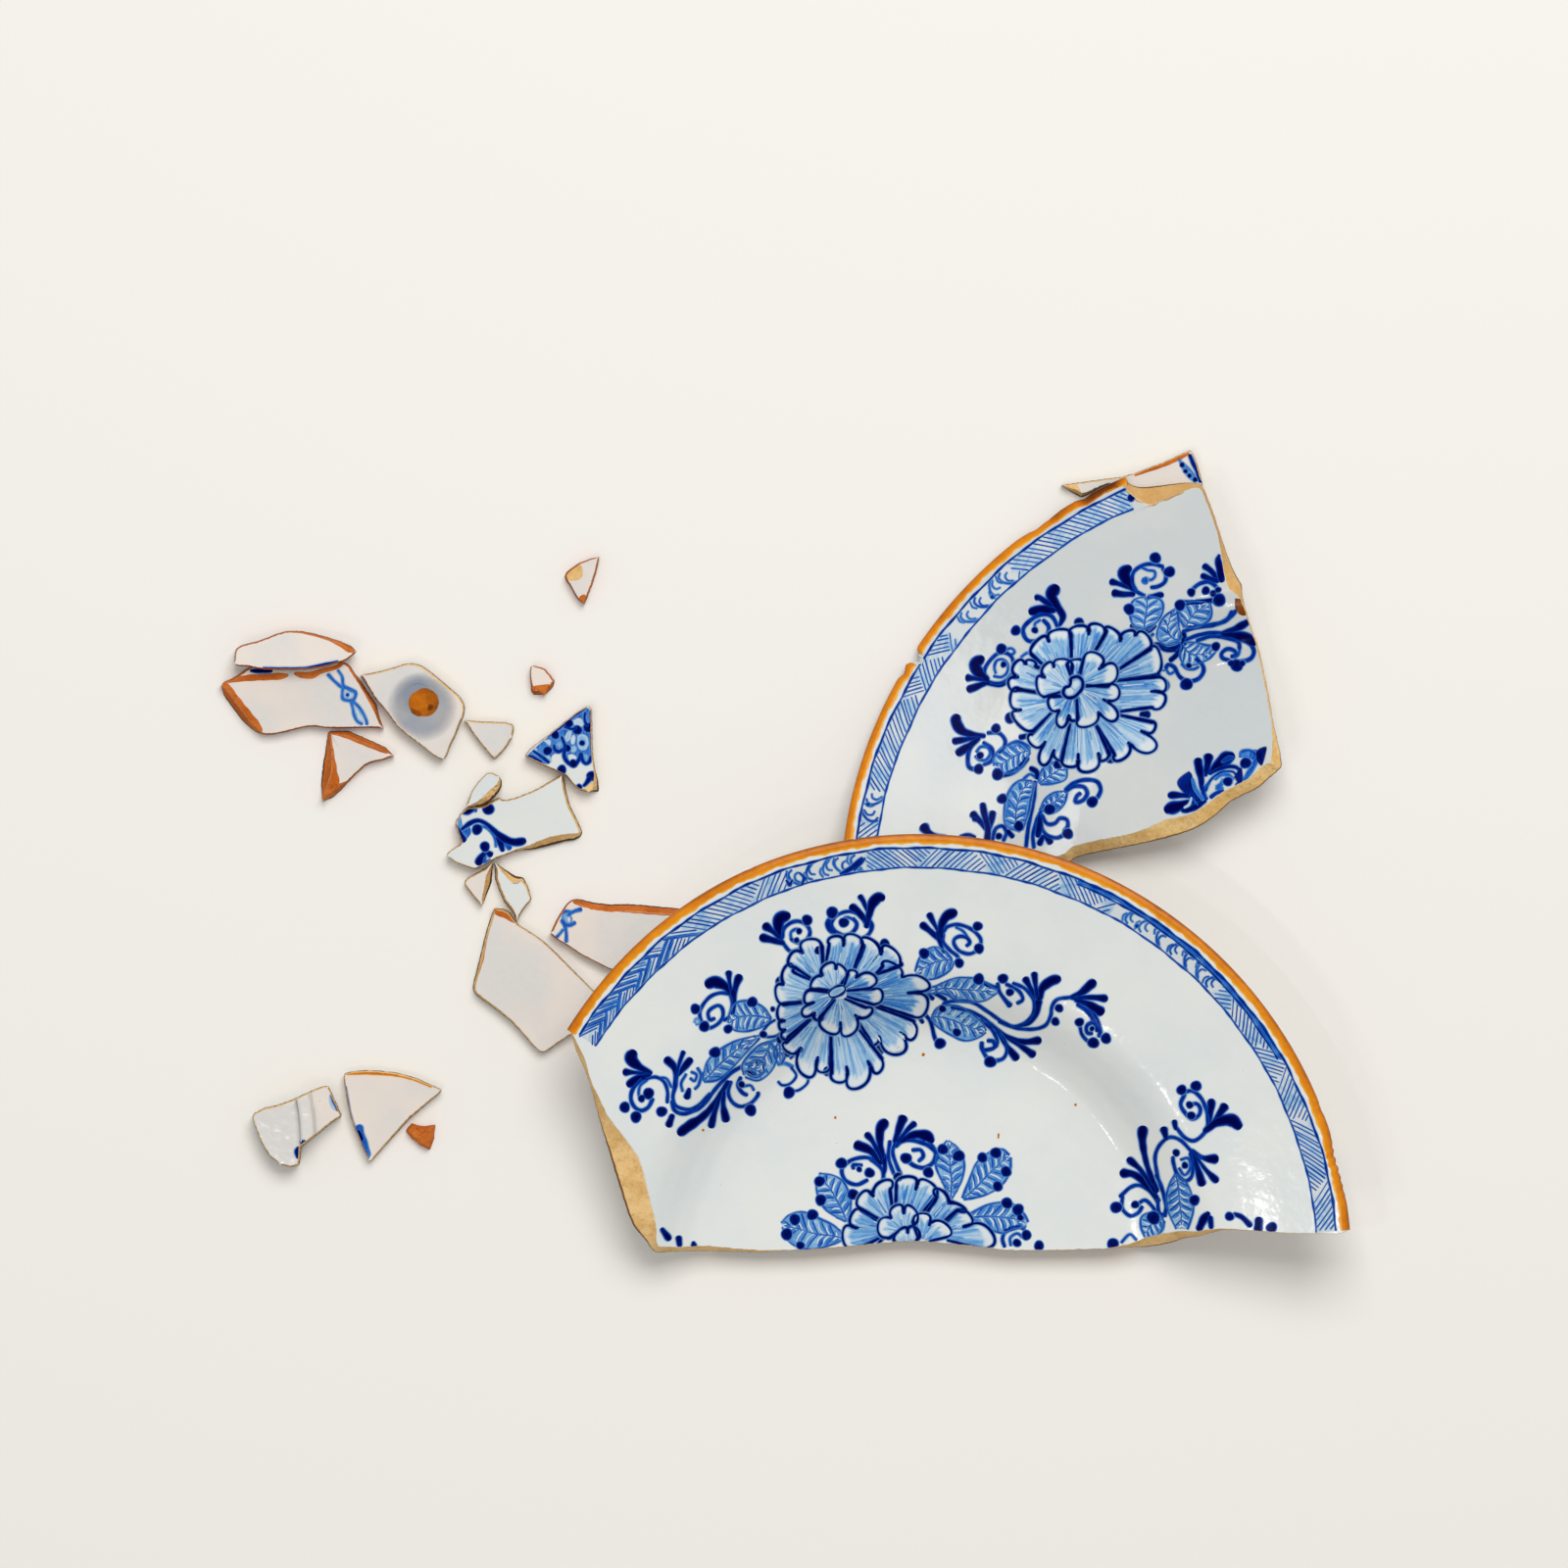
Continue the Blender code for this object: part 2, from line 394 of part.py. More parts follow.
def at_height(ring, height):
    """The ring's points brought to one level, so that the cap over them is flat."""
    return [Vector((point.x, point.y, height)) for point in ring]


def fracture_cutter(name, outline, placing, upper, lower):
    """A closed wall along the fracture, upright where it runs past the dish's faces."""
    outline = anticlockwise(outline)
    low_ring = []
    high_ring = []
    for (x, y, _), (x_in, y_in) in zip(outline, inset_points(outline)):
        low = Vector((x, y, surface_height(placing, x, y, lower)))
        high = Vector((x_in, y_in, surface_height(placing, x_in, y_in, upper)))
        low_ring.append(low.lerp(high, -CUT_OVERRUN))
        high_ring.append(high.lerp(low, -CUT_OVERRUN))
    bottom = min(point.z for point in low_ring) - CUT_REACH
    top = max(point.z for point in high_ring) + CUT_REACH
    rings = [at_height(low_ring, bottom), low_ring, high_ring, at_height(high_ring, top)]
    cutter = bpy.data.objects.new(name + "_fracture", ringed_solid(name + "_fracture", rings))
    cutter.display_type = "WIRE"
    cutter.hide_render = True
    bpy.context.collection.objects.link(cutter)
    return cutter


def ceramic(name, color):
    material = bpy.data.materials.new(name + "_ceramic")
    material.use_nodes = True
    shader = material.node_tree.nodes["Principled BSDF"]
    shader.inputs["Base Color"].default_value = color
    shader.inputs["Roughness"].default_value = 0.22
    shader.inputs["Metallic"].default_value = 0.0
    return material


def lowest_point(piece):
    """World height of the lowest vertex of the finished piece."""
    bpy.context.view_layer.update()
    graph = bpy.context.evaluated_depsgraph_get()
    finished = piece.evaluated_get(graph)
    mesh = finished.to_mesh()
    height = min((finished.matrix_world @ vert.co).z for vert in mesh.vertices)
    finished.to_mesh_clear()
    return height


def broken_piece(name, dish, outline, placing, face_up, color):
    """One piece of the dish: the placed dish kept inside its fracture, set on the table."""
    mesh = dish.copy()
    mesh.name = name
    mesh.materials.append(ceramic(name, color))
    piece = bpy.data.objects.new(name, mesh)
    bpy.context.collection.objects.link(piece)
    piece.matrix_world = placing
    upper, lower = front_height, back_height
    if face_up == "back":
        upper, lower = back_height, front_height
    cutter = fracture_cutter(name, outline, placing, upper, lower)
    keep = piece.modifiers.new("fracture", "BOOLEAN")
    keep.operation = "INTERSECT"
    keep.solver = "EXACT"
    keep.object = cutter
    drop = lowest_point(piece)
    piece.location.z -= drop
    cutter.location.z -= drop
    return piece


def turn(degrees, axis):
    return Matrix.Rotation(math.radians(degrees), 4, axis)


def flat_placing(outline, face_up, radius, bearing, lean, lean_bearing):
    """The dish turned so that the wall at a radius lies level over the outline's middle."""
    x = (min(p[0] for p in outline) + max(p[0] for p in outline)) / 2
    y = (min(p[1] for p in outline) + max(p[1] for p in outline)) / 2
    rise = front_height(radius + SLOPE_REACH) - front_height(radius - SLOPE_REACH)
    slope = math.degrees(math.atan2(rise, 2 * SLOPE_REACH))
    middle = (front_height(radius) + back_height(radius)) / 2
    over = turn(180.0, "X") if face_up == "back" else Matrix.Identity(4)
    leaning = turn(lean_bearing, "Z") @ turn(lean, "Y") @ turn(-lean_bearing, "Z")
    level = over @ turn(slope, "Y") @ Matrix.Translation((-radius * MM, 0.0, -middle * MM))
    return Matrix.Translation((x * MM, y * MM, 0.0)) @ leaning @ turn(bearing, "Z") @ level


def clay_crumb(outline):
    """A bare flake of the clay body: its outline drawn in towards a flat top."""
    outline = anticlockwise(outline)
    base_ring = [Vector((x, y, 0.0)) for x, y, _ in outline]
    top_ring = [Vector((x, y, CLAY_CRUMB_HEIGHT)) for x, y in inset_points(outline)]
    mesh = ringed_solid("clay_crumb", [base_ring, top_ring])
    mesh.materials.append(ceramic("clay_crumb", BARE_CLAY))
    crumb = bpy.data.objects.new("clay_crumb", mesh)
    bpy.context.collection.objects.link(crumb)


for leftover in list(bpy.data.objects):
    bpy.data.objects.remove(leftover, do_unlink=True)

dish = turned_dish()

half_placing = Matrix.Translation((HALF_CENTRE[0] * MM, HALF_CENTRE[1] * MM, 0.0))
broken_piece("half_dish", dish, HALF_OUTLINE, half_placing, "front", GLAZE)

quarter_placing = (
    Matrix.Translation((QUARTER_CENTRE[0] * MM, QUARTER_CENTRE[1] * MM, 0.0))
    @ turn(QUARTER_LEAN_TOWARDS, "Z") @ turn(QUARTER_LEAN, "Y") @ turn(QUARTER_SPIN, "Z")
)
broken_piece("quarter_dish", dish, QUARTER_OUTLINE, quarter_placing, "front", GLAZE)

for name, (outline, face_up, radius, bearing, color, lean, lean_bearing) in FLAT_PIECES.items():
    placing = flat_placing(outline, face_up, radius, bearing, lean, lean_bearing)
    broken_piece(name, dish, outline, placing, face_up, color)

clay_crumb(CLAY_CRUMB_OUTLINE)
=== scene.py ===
import math

import bmesh
import bpy
import mathutils
import numpy as np
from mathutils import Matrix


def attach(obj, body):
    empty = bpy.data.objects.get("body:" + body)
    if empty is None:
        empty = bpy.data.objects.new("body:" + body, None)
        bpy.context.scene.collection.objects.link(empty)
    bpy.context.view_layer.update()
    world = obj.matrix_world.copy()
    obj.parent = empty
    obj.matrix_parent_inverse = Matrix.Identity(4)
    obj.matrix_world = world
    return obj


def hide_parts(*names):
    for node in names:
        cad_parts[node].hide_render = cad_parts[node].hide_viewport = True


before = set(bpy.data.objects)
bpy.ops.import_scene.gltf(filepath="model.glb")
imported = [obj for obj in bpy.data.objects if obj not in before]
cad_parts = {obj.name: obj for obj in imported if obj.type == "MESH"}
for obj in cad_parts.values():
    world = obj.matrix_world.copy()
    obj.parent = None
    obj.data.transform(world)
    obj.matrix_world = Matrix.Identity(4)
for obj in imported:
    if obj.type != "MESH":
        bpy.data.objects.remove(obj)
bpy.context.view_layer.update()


# ---------------------------------------------------------------------------
# The table and the light: the pieces of the dish lie loose on a plain pale table.
# A broad soft lamp stands beyond the far edge, and three small bright panes to the near
# left leave the hard glints on the glaze.

PAPER = (240, 238, 233)
DAYLIGHT = (1.0, 0.99, 0.975)
TABLE_REACH = 30.0
FRAME_WIDTH = 0.5634


def linear(red, green, blue):
    """A colour given as 0 to 255 display values, as the linear colour a shader takes."""
    shown = np.array((red, green, blue)) / 255.0
    light = np.where(shown <= 0.04045, shown / 12.92, ((shown + 0.055) / 1.055) ** 2.4)
    return (*(float(value) for value in light), 1.0)


class Shade:
    """A socket of a material's node tree that takes part in Python arithmetic."""

    def __init__(self, tree, socket):
        self.tree = tree
        self.socket = socket

    def node(self, kind, settings=None, **inputs):
        """Add a node with its settings, link or set its inputs, and return its sockets."""
        made = self.tree.nodes.new(kind)
        for key, value in (settings or {}).items():
            if key == "stops":
                ramp = made.color_ramp
                while len(ramp.elements) < len(value):
                    ramp.elements.new(0.5)
                for element, (position, color) in zip(ramp.elements, value):
                    element.position = position
                    element.color = linear(*color)
            else:
                setattr(made, key, value)
        for key, value in inputs.items():
            numbered = key[0] == "i" and key[1:].isdigit()
            target = made.inputs[int(key[1:]) if numbered else key.replace("_", " ")]
            if isinstance(value, Shade):
                self.tree.links.new(value.socket, target)
            else:
                target.default_value = value
        return made

    def of(self, kind, output, settings=None, **inputs):
        """One output of a node added by node()."""
        return Shade(self.tree, self.node(kind, settings, **inputs).outputs[output])

    def maths(self, operation, first, second):
        return self.of("ShaderNodeMath", 0, {"operation": operation}, i0=first, i1=second)

    def __add__(self, other):
        return self.maths("ADD", self, other)

    def __sub__(self, other):
        return self.maths("SUBTRACT", self, other)

    def __mul__(self, other):
        return self.maths("MULTIPLY", self, other)

    __radd__ = __add__
    __rmul__ = __mul__

    def __rsub__(self, other):
        return self.maths("SUBTRACT", other, self)

    def step(self, low, high):
        """0 below low, 1 above high, and smooth between them."""
        return self.of(
            "ShaderNodeMapRange", 0, {"interpolation_type": "SMOOTHSTEP"}, i0=self, i1=low, i2=high,
            i3=0.0, i4=1.0,
        )

    def mix(self, below, above):
        """This value as the share of the colour above laid over the colour below."""
        below, above = (color if isinstance(color, Shade) else linear(*color) for color in (below, above))
        return self.of("ShaderNodeMix", 2, {"data_type": "RGBA"}, i0=self, i6=below, i7=above)

    def noise(self, scale, detail, rough):
        """Clouds at the place that this socket gives, so many of them in a metre."""
        return self.of("ShaderNodeTexNoise", 0, Vector=self, Scale=scale, Detail=detail, Roughness=rough)

    def cells(self, scale):
        """The distance from the nearest of the points strewn about this place."""
        return self.of("ShaderNodeTexVoronoi", 0, Vector=self, Scale=scale, Randomness=1.0)

    def carried(self, key):
        """A number that the mesh carries at its points."""
        return self.of("ShaderNodeAttribute", 2, {"attribute_name": key})

    def bump(self, strength, distance):
        """The surface's normal, tilted as if this value were its height."""
        return self.of("ShaderNodeBump", 0, Height=self, Strength=strength, Distance=distance)

    def ramp(self, *stops):
        """The colour at this value between the stops, each a place and a colour."""
        return self.of("ShaderNodeValToRGB", 0, {"stops": stops}, Fac=self)


def material(name, color):
    """A new node material, and the place on the object as its first socket."""
    made = bpy.data.materials.new(name)
    made.use_nodes = True
    made.diffuse_color = linear(*color)
    return made, Shade(made.node_tree, None).of("ShaderNodeTexCoord", "Object")


def join(made, **inputs):
    """Set or link inputs of a material's shader, with spaces written as underscores."""
    tree = made.node_tree
    for key, value in inputs.items():
        target = tree.nodes["Principled BSDF"].inputs[key.replace("_", " ")]
        if isinstance(value, Shade):
            tree.links.new(value.socket, target)
        else:
            target.default_value = value
    return made


def in_scene(name, data):
    """A new object that shows a mesh, a lamp or a camera."""
    made = bpy.data.objects.new(name, data)
    bpy.context.collection.objects.link(made)
    return made


def emitter(name, place, aim, size, power, color):
    """An oblong area lamp at a place in metres, turned to face a point."""
    lamp = bpy.data.lights.new(name, "AREA")
    lamp.shape = "RECTANGLE"
    lamp.size, lamp.size_y = size
    lamp.energy = power
    lamp.color = color
    forward = np.array(aim, float) - np.array(place, float)
    forward /= np.linalg.norm(forward)
    across = np.cross(forward, (0.0, 1.0, 0.0))
    across /= np.linalg.norm(across)
    turned = np.eye(4)
    turned[:3] = np.stack([across, np.cross(across, forward), -forward, place], axis=1)
    in_scene(name, lamp).matrix_world = mathutils.Matrix(turned.tolist())


table_mesh = bpy.data.meshes.new("table_top")
table_mesh.from_pydata(
    [(x * TABLE_REACH, y * TABLE_REACH, 0) for x, y in ((-1, -1), (1, -1), (1, 1), (-1, 1))], [],
    [(0, 1, 2, 3)],
)
table_paper = join(
    material("table_paper", PAPER)[0], Base_Color=linear(*PAPER), Roughness=0.9, Specular_IOR_Level=0.1,
)
table_mesh.materials.append(table_paper)
table = in_scene("table_top", table_mesh)
table.location.z = -0.0002

surround = bpy.data.worlds.new("pale_surround")
bpy.context.scene.world = surround
surround.use_nodes = True
seen = Shade(surround.node_tree, None).of("ShaderNodeLightPath", "Is Camera Ray")
background = surround.node_tree.nodes["Background"]
background.inputs["Color"].default_value = (*DAYLIGHT, 1.0)
surround.node_tree.links.new((seen * 0.50 + 0.41).socket, background.inputs["Strength"])

emitter("far_softbox", (0.36, 1.35, 2.45), (0.0, 0.0, 0.0), (1.8, 1.5), 53.0, DAYLIGHT)
for number, place in enumerate([(-0.56, -1.06, 1.9), (-0.86, -0.83, 1.9), (-0.55, -0.27, 1.9)]):
    emitter(f"window_pane_{number}", place, (0.1, -0.1, 0.0), (0.035, 0.045), 1.3, (1.0, 1.0, 1.0))

eye = bpy.data.cameras.new("overhead_camera")
eye.sensor_width = 36.0
eye.lens = 500.0
eye.clip_end = 200.0
camera = in_scene("overhead_camera", eye)
camera.location = (0.0, 0.0241, FRAME_WIDTH * eye.lens / eye.sensor_width)
bpy.context.scene.camera = camera
bpy.context.scene.view_settings.view_transform = "Standard"


# ---------------------------------------------------------------------------
# The half dish: the largest piece, thrown and turned in buff earthenware, dipped in
# tin glaze and fired. It stands on its foot ring, and its long break shows the clay.

MM = 0.001
RIM = 154.8
LIP_START = 152.3
FOOT_MIDDLE = 75.2
SETTLING_ROUNDS = 14
FRONT = [
    (0, 9.0), (44, 9.2), (70, 9.9), (82, 11.6), (89, 15.0), (95, 19.4), (100.5, 23.4),
    (106, 26.2), (112, 27.9), (130, 31.9), (147, 35.9), (152.3, 37.1),
]
LIP = np.array([
    (152.3, 37.1), (153.4, 37.05), (154.2, 36.7), (154.65, 36.1), (RIM, 35.4),
    (154.75, 34.6), (154.5, 33.8), (153.9, 33.2), (153.1, 32.9),
])
UNDER = [
    (0, 3.2), (60, 3.3), (72.4, 3.4), (78.2, 3.6), (81.5, 4.9), (86.5, 7.6), (92, 11.6),
    (98.5, 16.4), (105, 20.9), (112, 23.6), (130, 27.7), (147, 31.7), (153.1, 32.9),
]
FLAT_LIP = 165.0
FLAT_REACH = 58.0
CHIP_DROP = 0.22
SPECK = (120, 92, 66)


def smooth_height(points):
    """Height over radius through the points, monotone cubic: each slope is the weighted
    harmonic mean of its neighbours, so that the curve never swings past a point."""
    radius, height = np.array(sorted(points), float).T
    width = np.diff(radius)
    rise = np.diff(height) / width
    slope = np.concatenate([rise[:1], np.zeros(len(rise) - 1), rise[-1:]])
    ahead = 2 * width[1:] + width[:-1]
    behind = width[1:] + 2 * width[:-1]
    same = rise[1:] * rise[:-1] > 0
    first = np.where(same, rise[:-1], 1.0)
    second = np.where(same, rise[1:], 1.0)
    slope[1:-1] = np.where(same, (ahead + behind) / (ahead / first + behind / second), 0.0)

    def height_at(r):
        r = np.clip(r, radius[0], radius[-1])
        i = np.clip(np.searchsorted(radius, r) - 1, 0, len(width) - 1)
        t = (r - radius[i]) / width[i]
        start = height[i] * (1 + 2 * t) + slope[i] * width[i] * t
        end = height[i + 1] * (3 - 2 * t) - slope[i + 1] * width[i] * (1 - t)
        return start * (1 - t) ** 2 + end * t ** 2

    return height_at


front_height = smooth_height(FRONT)
under_height = smooth_height(UNDER)


def kept_radius(x, y):
    """Share of its radius that the dish keeps where its lip dried a little flat: a
    raised cosine to either side of the flattest place, 2.6 % deep."""
    off = np.abs((np.degrees(np.arctan2(y, x)) - FLAT_LIP + 180.0) % 360.0 - 180.0)
    return 1.0 - 0.013 * (1 + np.cos(np.pi * np.minimum(off, FLAT_REACH) / FLAT_REACH))


def turn(degrees, axis):
    """A turn about one axis as a 4 by 4 matrix."""
    c, s = math.cos(math.radians(degrees)), math.sin(math.radians(degrees))
    a, b = {"X": (1, 2), "Y": (2, 0), "Z": (0, 1)}[axis]
    made = np.eye(4)
    made[a, a], made[b, b], made[a, b], made[b, a] = c, c, -s, s
    return made


def shift(x, y, z):
    """A move as a 4 by 4 matrix."""
    made = np.eye(4)
    made[:3, 3] = x, y, z
    return made


def moved(placing, x, y, z):
    """Points of the dish carried to where the piece lies."""
    points = np.stack([x, y, z, np.ones_like(x)], axis=-1) @ placing.T
    return points[..., :3]


def on_dish(side, x, y):
    """The height of one side of the dish at x, y of its own frame."""
    return side(np.hypot(x, y) / kept_radius(x, y))


def plumb(placing, x, y, side):
    """Dish coordinates of the place where a plumb line at x, y meets one side of the
    placed dish, and its height: guessed, carried back, corrected, and so on."""
    back = np.linalg.inv(placing)
    z = np.full(np.shape(x), placing[2, 3])
    for _ in range(SETTLING_ROUNDS):
        local = moved(back, x, y, z)
        lx, ly = local[..., 0], local[..., 1]
        lz = on_dish(side, lx, ly)
        z = moved(placing, lx, ly, lz)[..., 2]
    return np.stack([lx, ly, lz], axis=-1), z


def wander(seed, along, waves, size):
    """A hand-made waver: a few sine waves of seeded phase, shorter ones smaller."""
    draw = np.random.default_rng(seed)
    total = np.zeros_like(along, dtype=float)
    for wave in waves:
        total += np.sin(2 * np.pi * (along / wave + draw.random())) * (0.5 + draw.random())
    return total * size / len(waves)


def walked(points, count):
    """A broken line through points, walked in equal steps, its other columns with it."""
    points = np.array(points, float)
    length = np.concatenate([[0], np.cumsum(np.hypot(*np.diff(points[:, :2], axis=0).T))])
    at = np.linspace(0, length[-1], count)
    return np.stack([np.interp(at, length, column) for column in points.T], axis=1), at


def softened(curve, rounds):
    """The corners of a walked curve rounded by repeated averaging, its ends kept."""
    for _ in range(rounds):
        curve[1:-1] = (curve[:-2] + 2 * curve[1:-1] + curve[2:]) / 4
    return curve


def unit(vectors):
    """Vectors brought to length one, where they have a length."""
    return vectors / np.maximum(np.linalg.norm(vectors, axis=-1, keepdims=True), 1e-9)


def faded(count):
    """A window along a break: nought at both tips and soon one, a sine to a low power."""
    return np.sin(np.pi * np.linspace(0, 1, count)) ** 0.35


def carry(mesh, **attributes):
    """Numbers that a mesh keeps at its points, for its material to read."""
    for key, values in attributes.items():
        layer = mesh.attributes.new(key, "FLOAT", "POINT")
        layer.data.foreach_set("value", np.ascontiguousarray(values, dtype=np.float32).ravel())


def fit(made, slot, node=None):
    """Tie a piece to the part's body and hide the solid that it dresses; the slot is not used."""
    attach(made, "root")
    if node:
        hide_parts(node)


def shell(name, grid, closed, parts, finishes, caps=(), **attributes):
    """A mesh through a grid of points, columns by rows, with the rows closed into a
    loop; coinciding points are welded, and each row band has its material."""
    columns, rows = grid.shape[:2]
    mesh = bpy.data.meshes.new(name)
    number = np.arange(columns * rows).reshape(columns, rows)
    beside = np.roll(number, -1, axis=1)
    last = rows if closed else rows - 1
    corners = (number[:-1, :last], number[1:, :last], beside[1:, :last], beside[:-1, :last])
    quads = np.stack(corners, axis=-1)
    faces = quads.reshape(-1, 4).tolist()
    band = np.tile(np.array(parts)[:last], columns - 1).tolist()
    for column, part in caps:
        loop = number[column].tolist()
        faces.append(loop if column else loop[::-1])
        band.append(part)
    mesh.from_pydata((grid.reshape(-1, 3) * MM).tolist(), [], faces)
    mesh.polygons.foreach_set("material_index", band)
    carry(mesh, **attributes)
    welded = bmesh.new()
    welded.from_mesh(mesh)
    bmesh.ops.remove_doubles(welded, verts=welded.verts, dist=2e-6)
    bmesh.ops.dissolve_degenerate(welded, edges=welded.edges, dist=1e-7)
    if closed and welded.calc_volume(signed=True) < 0:
        bmesh.ops.reverse_faces(welded, faces=welded.faces)
    welded.to_mesh(mesh)
    welded.free()
    mesh.shade_smooth()
    mesh.set_sharp_from_angle(angle=math.radians(24))
    parted = bmesh.new()
    parted.from_mesh(mesh)
    for border in parted.edges:
        if len({face.material_index for face in border.link_faces}) > 1:
            border.smooth = False
    parted.to_mesh(mesh)
    parted.free()
    for finish in finishes:
        mesh.materials.append(finish)
    return in_scene(name, mesh)


def laid(start, end, count, side):
    """Rows from start to end, straight as seen from above and as high as the dish's side."""
    line = start[:, None] + (end - start)[:, None] * np.linspace(0, 1, count)[None, :, None]
    line[..., 2] = on_dish(side, line[..., 0], line[..., 1])
    line[:, 0], line[:, -1] = start, end
    return line


def wall_rows(top, bottom, rows, seed, rough, at):
    """The broken wall between its top edge and its bottom edge: straight lines pushed in
    and out by a seeded waver that dies away at both edges."""
    t = np.linspace(0, 1, rows)
    line = top[:, None] + (bottom - top)[:, None] * t[None, :, None]
    push = wander(seed, at[:, None] + 2.1 * t[None, :], (0.8, 1.5, 2.9), rough)
    push = push + wander(seed + 1, at[:, None] * 0.7 - 3.3 * t[None, :], (1.2, 2.2), rough)
    push = push * np.sin(np.pi * t)[None, :]
    run = np.gradient(top, axis=0)
    out = unit(np.stack([run[:, 1], -run[:, 0], 0 * run[:, 0]], axis=1))
    return line + out[:, None] * (push * faded(len(at))[:, None])[..., None]


def glaze_material(name, tone, cool, warm, specks=0.35):
    """Tin glaze: a dense glossy white that varies a little in tint, with pinholes,
    stray specks of iron, and the faint orange-peel of a dipped and fired coat."""
    made, place = material(name, tone)
    fine = place.noise(420.0, 2.0, 0.6)
    color = place.noise(26.0, 3.0, 0.55).step(0.35, 0.68).mix(cool, warm)
    color = (fine.step(0.3, 0.75) * 0.35).mix(color, tone)
    color = ((1 - place.cells(95.0).step(0.012, 0.03)) * specks).mix(color, SPECK)
    pitted = place.cells(210.0).step(0.02, 0.075)
    height = place.noise(150.0, 2.0, 0.5) * 0.55 + fine * 0.10 + pitted * 0.05
    gloss = fine.step(0.2, 0.9) * 0.05 + 0.10
    return join(
        made, Base_Color=color, Roughness=gloss, Normal=height.bump(0.5, 0.0005), Specular_IOR_Level=0.24,
        Coat_Weight=0.06, Coat_Roughness=0.05,
    )


def clay_material(name, pale, deep, dark, rim_tint, painted_contact_shadow, foot=0.93, painted_shade_along_y=None):
    """Broken earthenware: matt and gritty, deeper in colour where the break is stepped,
    with a thin line of glaze along its top and a dark line along its foot, a painted
    shadow where the wall meets the table. Between two given distances along Y it turns
    darker, a painted shade."""
    made, place = material(name, pale)
    through = place.carried("through")
    grit = place.noise(900.0, 3.0, 0.7)
    color = place.noise(130.0, 4.0, 0.6).step(0.35, 0.65).mix(pale, deep)
    color = (grit.step(0.45, 0.8) * 0.5).mix(color, dark)
    color = ((1 - place.cells(420.0).step(0.05, 0.22)) * 0.55).mix(color, dark)
    # Painted shade: between two distances along Y the colour turns darker, towards the far edge where the
    # lamp lights the walls more.
    if painted_shade_along_y:
        along = place.of("ShaderNodeSeparateXYZ", "Y", Vector=place)
        color = (along.step(*painted_shade_along_y) * 0.65).mix(color, dark)
    ragged = grit * 0.05
    color = (1 - (through + ragged).step(0.055, 0.085)).mix(color, rim_tint)
    # Painted shadow: the lowest part of the wall turns dark where it meets the table.
    color = (through - ragged).step(foot - 0.06, foot).mix(color, painted_contact_shadow)
    height = place.noise(260.0, 5.0, 0.65) * 0.8 + grit * 0.35
    bump = height.bump(0.8, 0.0007)
    return join(made, Base_Color=color, Roughness=0.85, Normal=bump, Specular_IOR_Level=0.25)


# Painted light: the half's glaze is a lighter copy of the shards' glaze, to brighten the largest piece,
# which the lamp lights less.
half_glaze_painted_light = glaze_material("half_glaze_painted_light", (225, 229, 227), (220, 226, 226), (228, 230, 226))
under_glaze = glaze_material("back_glaze", (226, 219, 212), (214, 212, 209), (233, 220, 209), 0.5)
# The last colour of each clay is a painted shadow along the foot of its walls.
buff_clay = clay_material(
    "buff_clay", (240, 202, 140), (222, 178, 112), (176, 130, 76), (222, 214, 198), (104, 70, 38),
)

half_placing = shift(48.2, -148.6, 0.0)
HALF_BREAK = [
    (202.4, -135.4, 0.4), (199, -136.9, 0.2), (180, -136.7, 0.2), (163, -135.6, 0.2), (157, -135.6, 0.6),
    (152, -137, 1.5), (148, -138.2, 2), (143.6, -138.6, 2.6), (141, -139.8, 3.5),
    (136, -141.2, 4), (130, -142.1, 3.4), (124, -142.2, 1.2), (116, -142.8, 0.2),
    (100, -143.3, 0.2), (80, -143.4, 0.2), (66, -141.6, 0.2), (50, -140.2, 0.2),
    (42, -140.2, 0.2), (25, -141.8, 0.2), (8, -143.3, 0.2), (0, -143.4, 0.3),
    (-8, -144.2, 0.9), (-16, -143.8, 1), (-28, -143.5, 1.9), (-38, -143.6, 1.6),
    (-46.3, -144, 2.4), (-47.6, -142.4, 3.2), (-50.2, -138.6, 6), (-53.4, -135.2, 8.3),
    (-55.6, -130.5, 9), (-57.2, -125.5, 9.3), (-59.2, -119, 9.8), (-61.2, -112.5, 9.8),
    (-62.6, -107.5, 8), (-64.8, -100.5, 5.3), (-66.2, -95.5, 3.2), (-67.6, -90, 2.1),
    (-69.4, -83.5, 0.8), (-70.6, -80, 0.8), (-72.4, -75.5, 1.6), (-74.3, -71.5, 1.6),
    (-75.6, -67.5, 1), (-76.4, -64.3, 0.5),
]
HALF_ANGLES = (4.9, 146.0)
HALF_CHIPS = [(14.6, 4.0, 1.0), (11.0, 3.0, 0.5), (21.5, 1.2, 0.35), (98.4, 0.5, 0.3), (113.0, 0.35, 0.25)]


def chipped(angles, chips):
    """How far the lip is broken back at each angle: smooth dents, one per chip, given as
    its middle and half width in degrees and its depth in millimetres."""
    depth = np.zeros_like(angles)
    for middle, reach, deep in chips:
        off = np.clip(np.abs(angles - middle) / reach, 0, 1)
        depth += deep * (0.5 + 0.5 * np.cos(np.pi * off))
    return depth


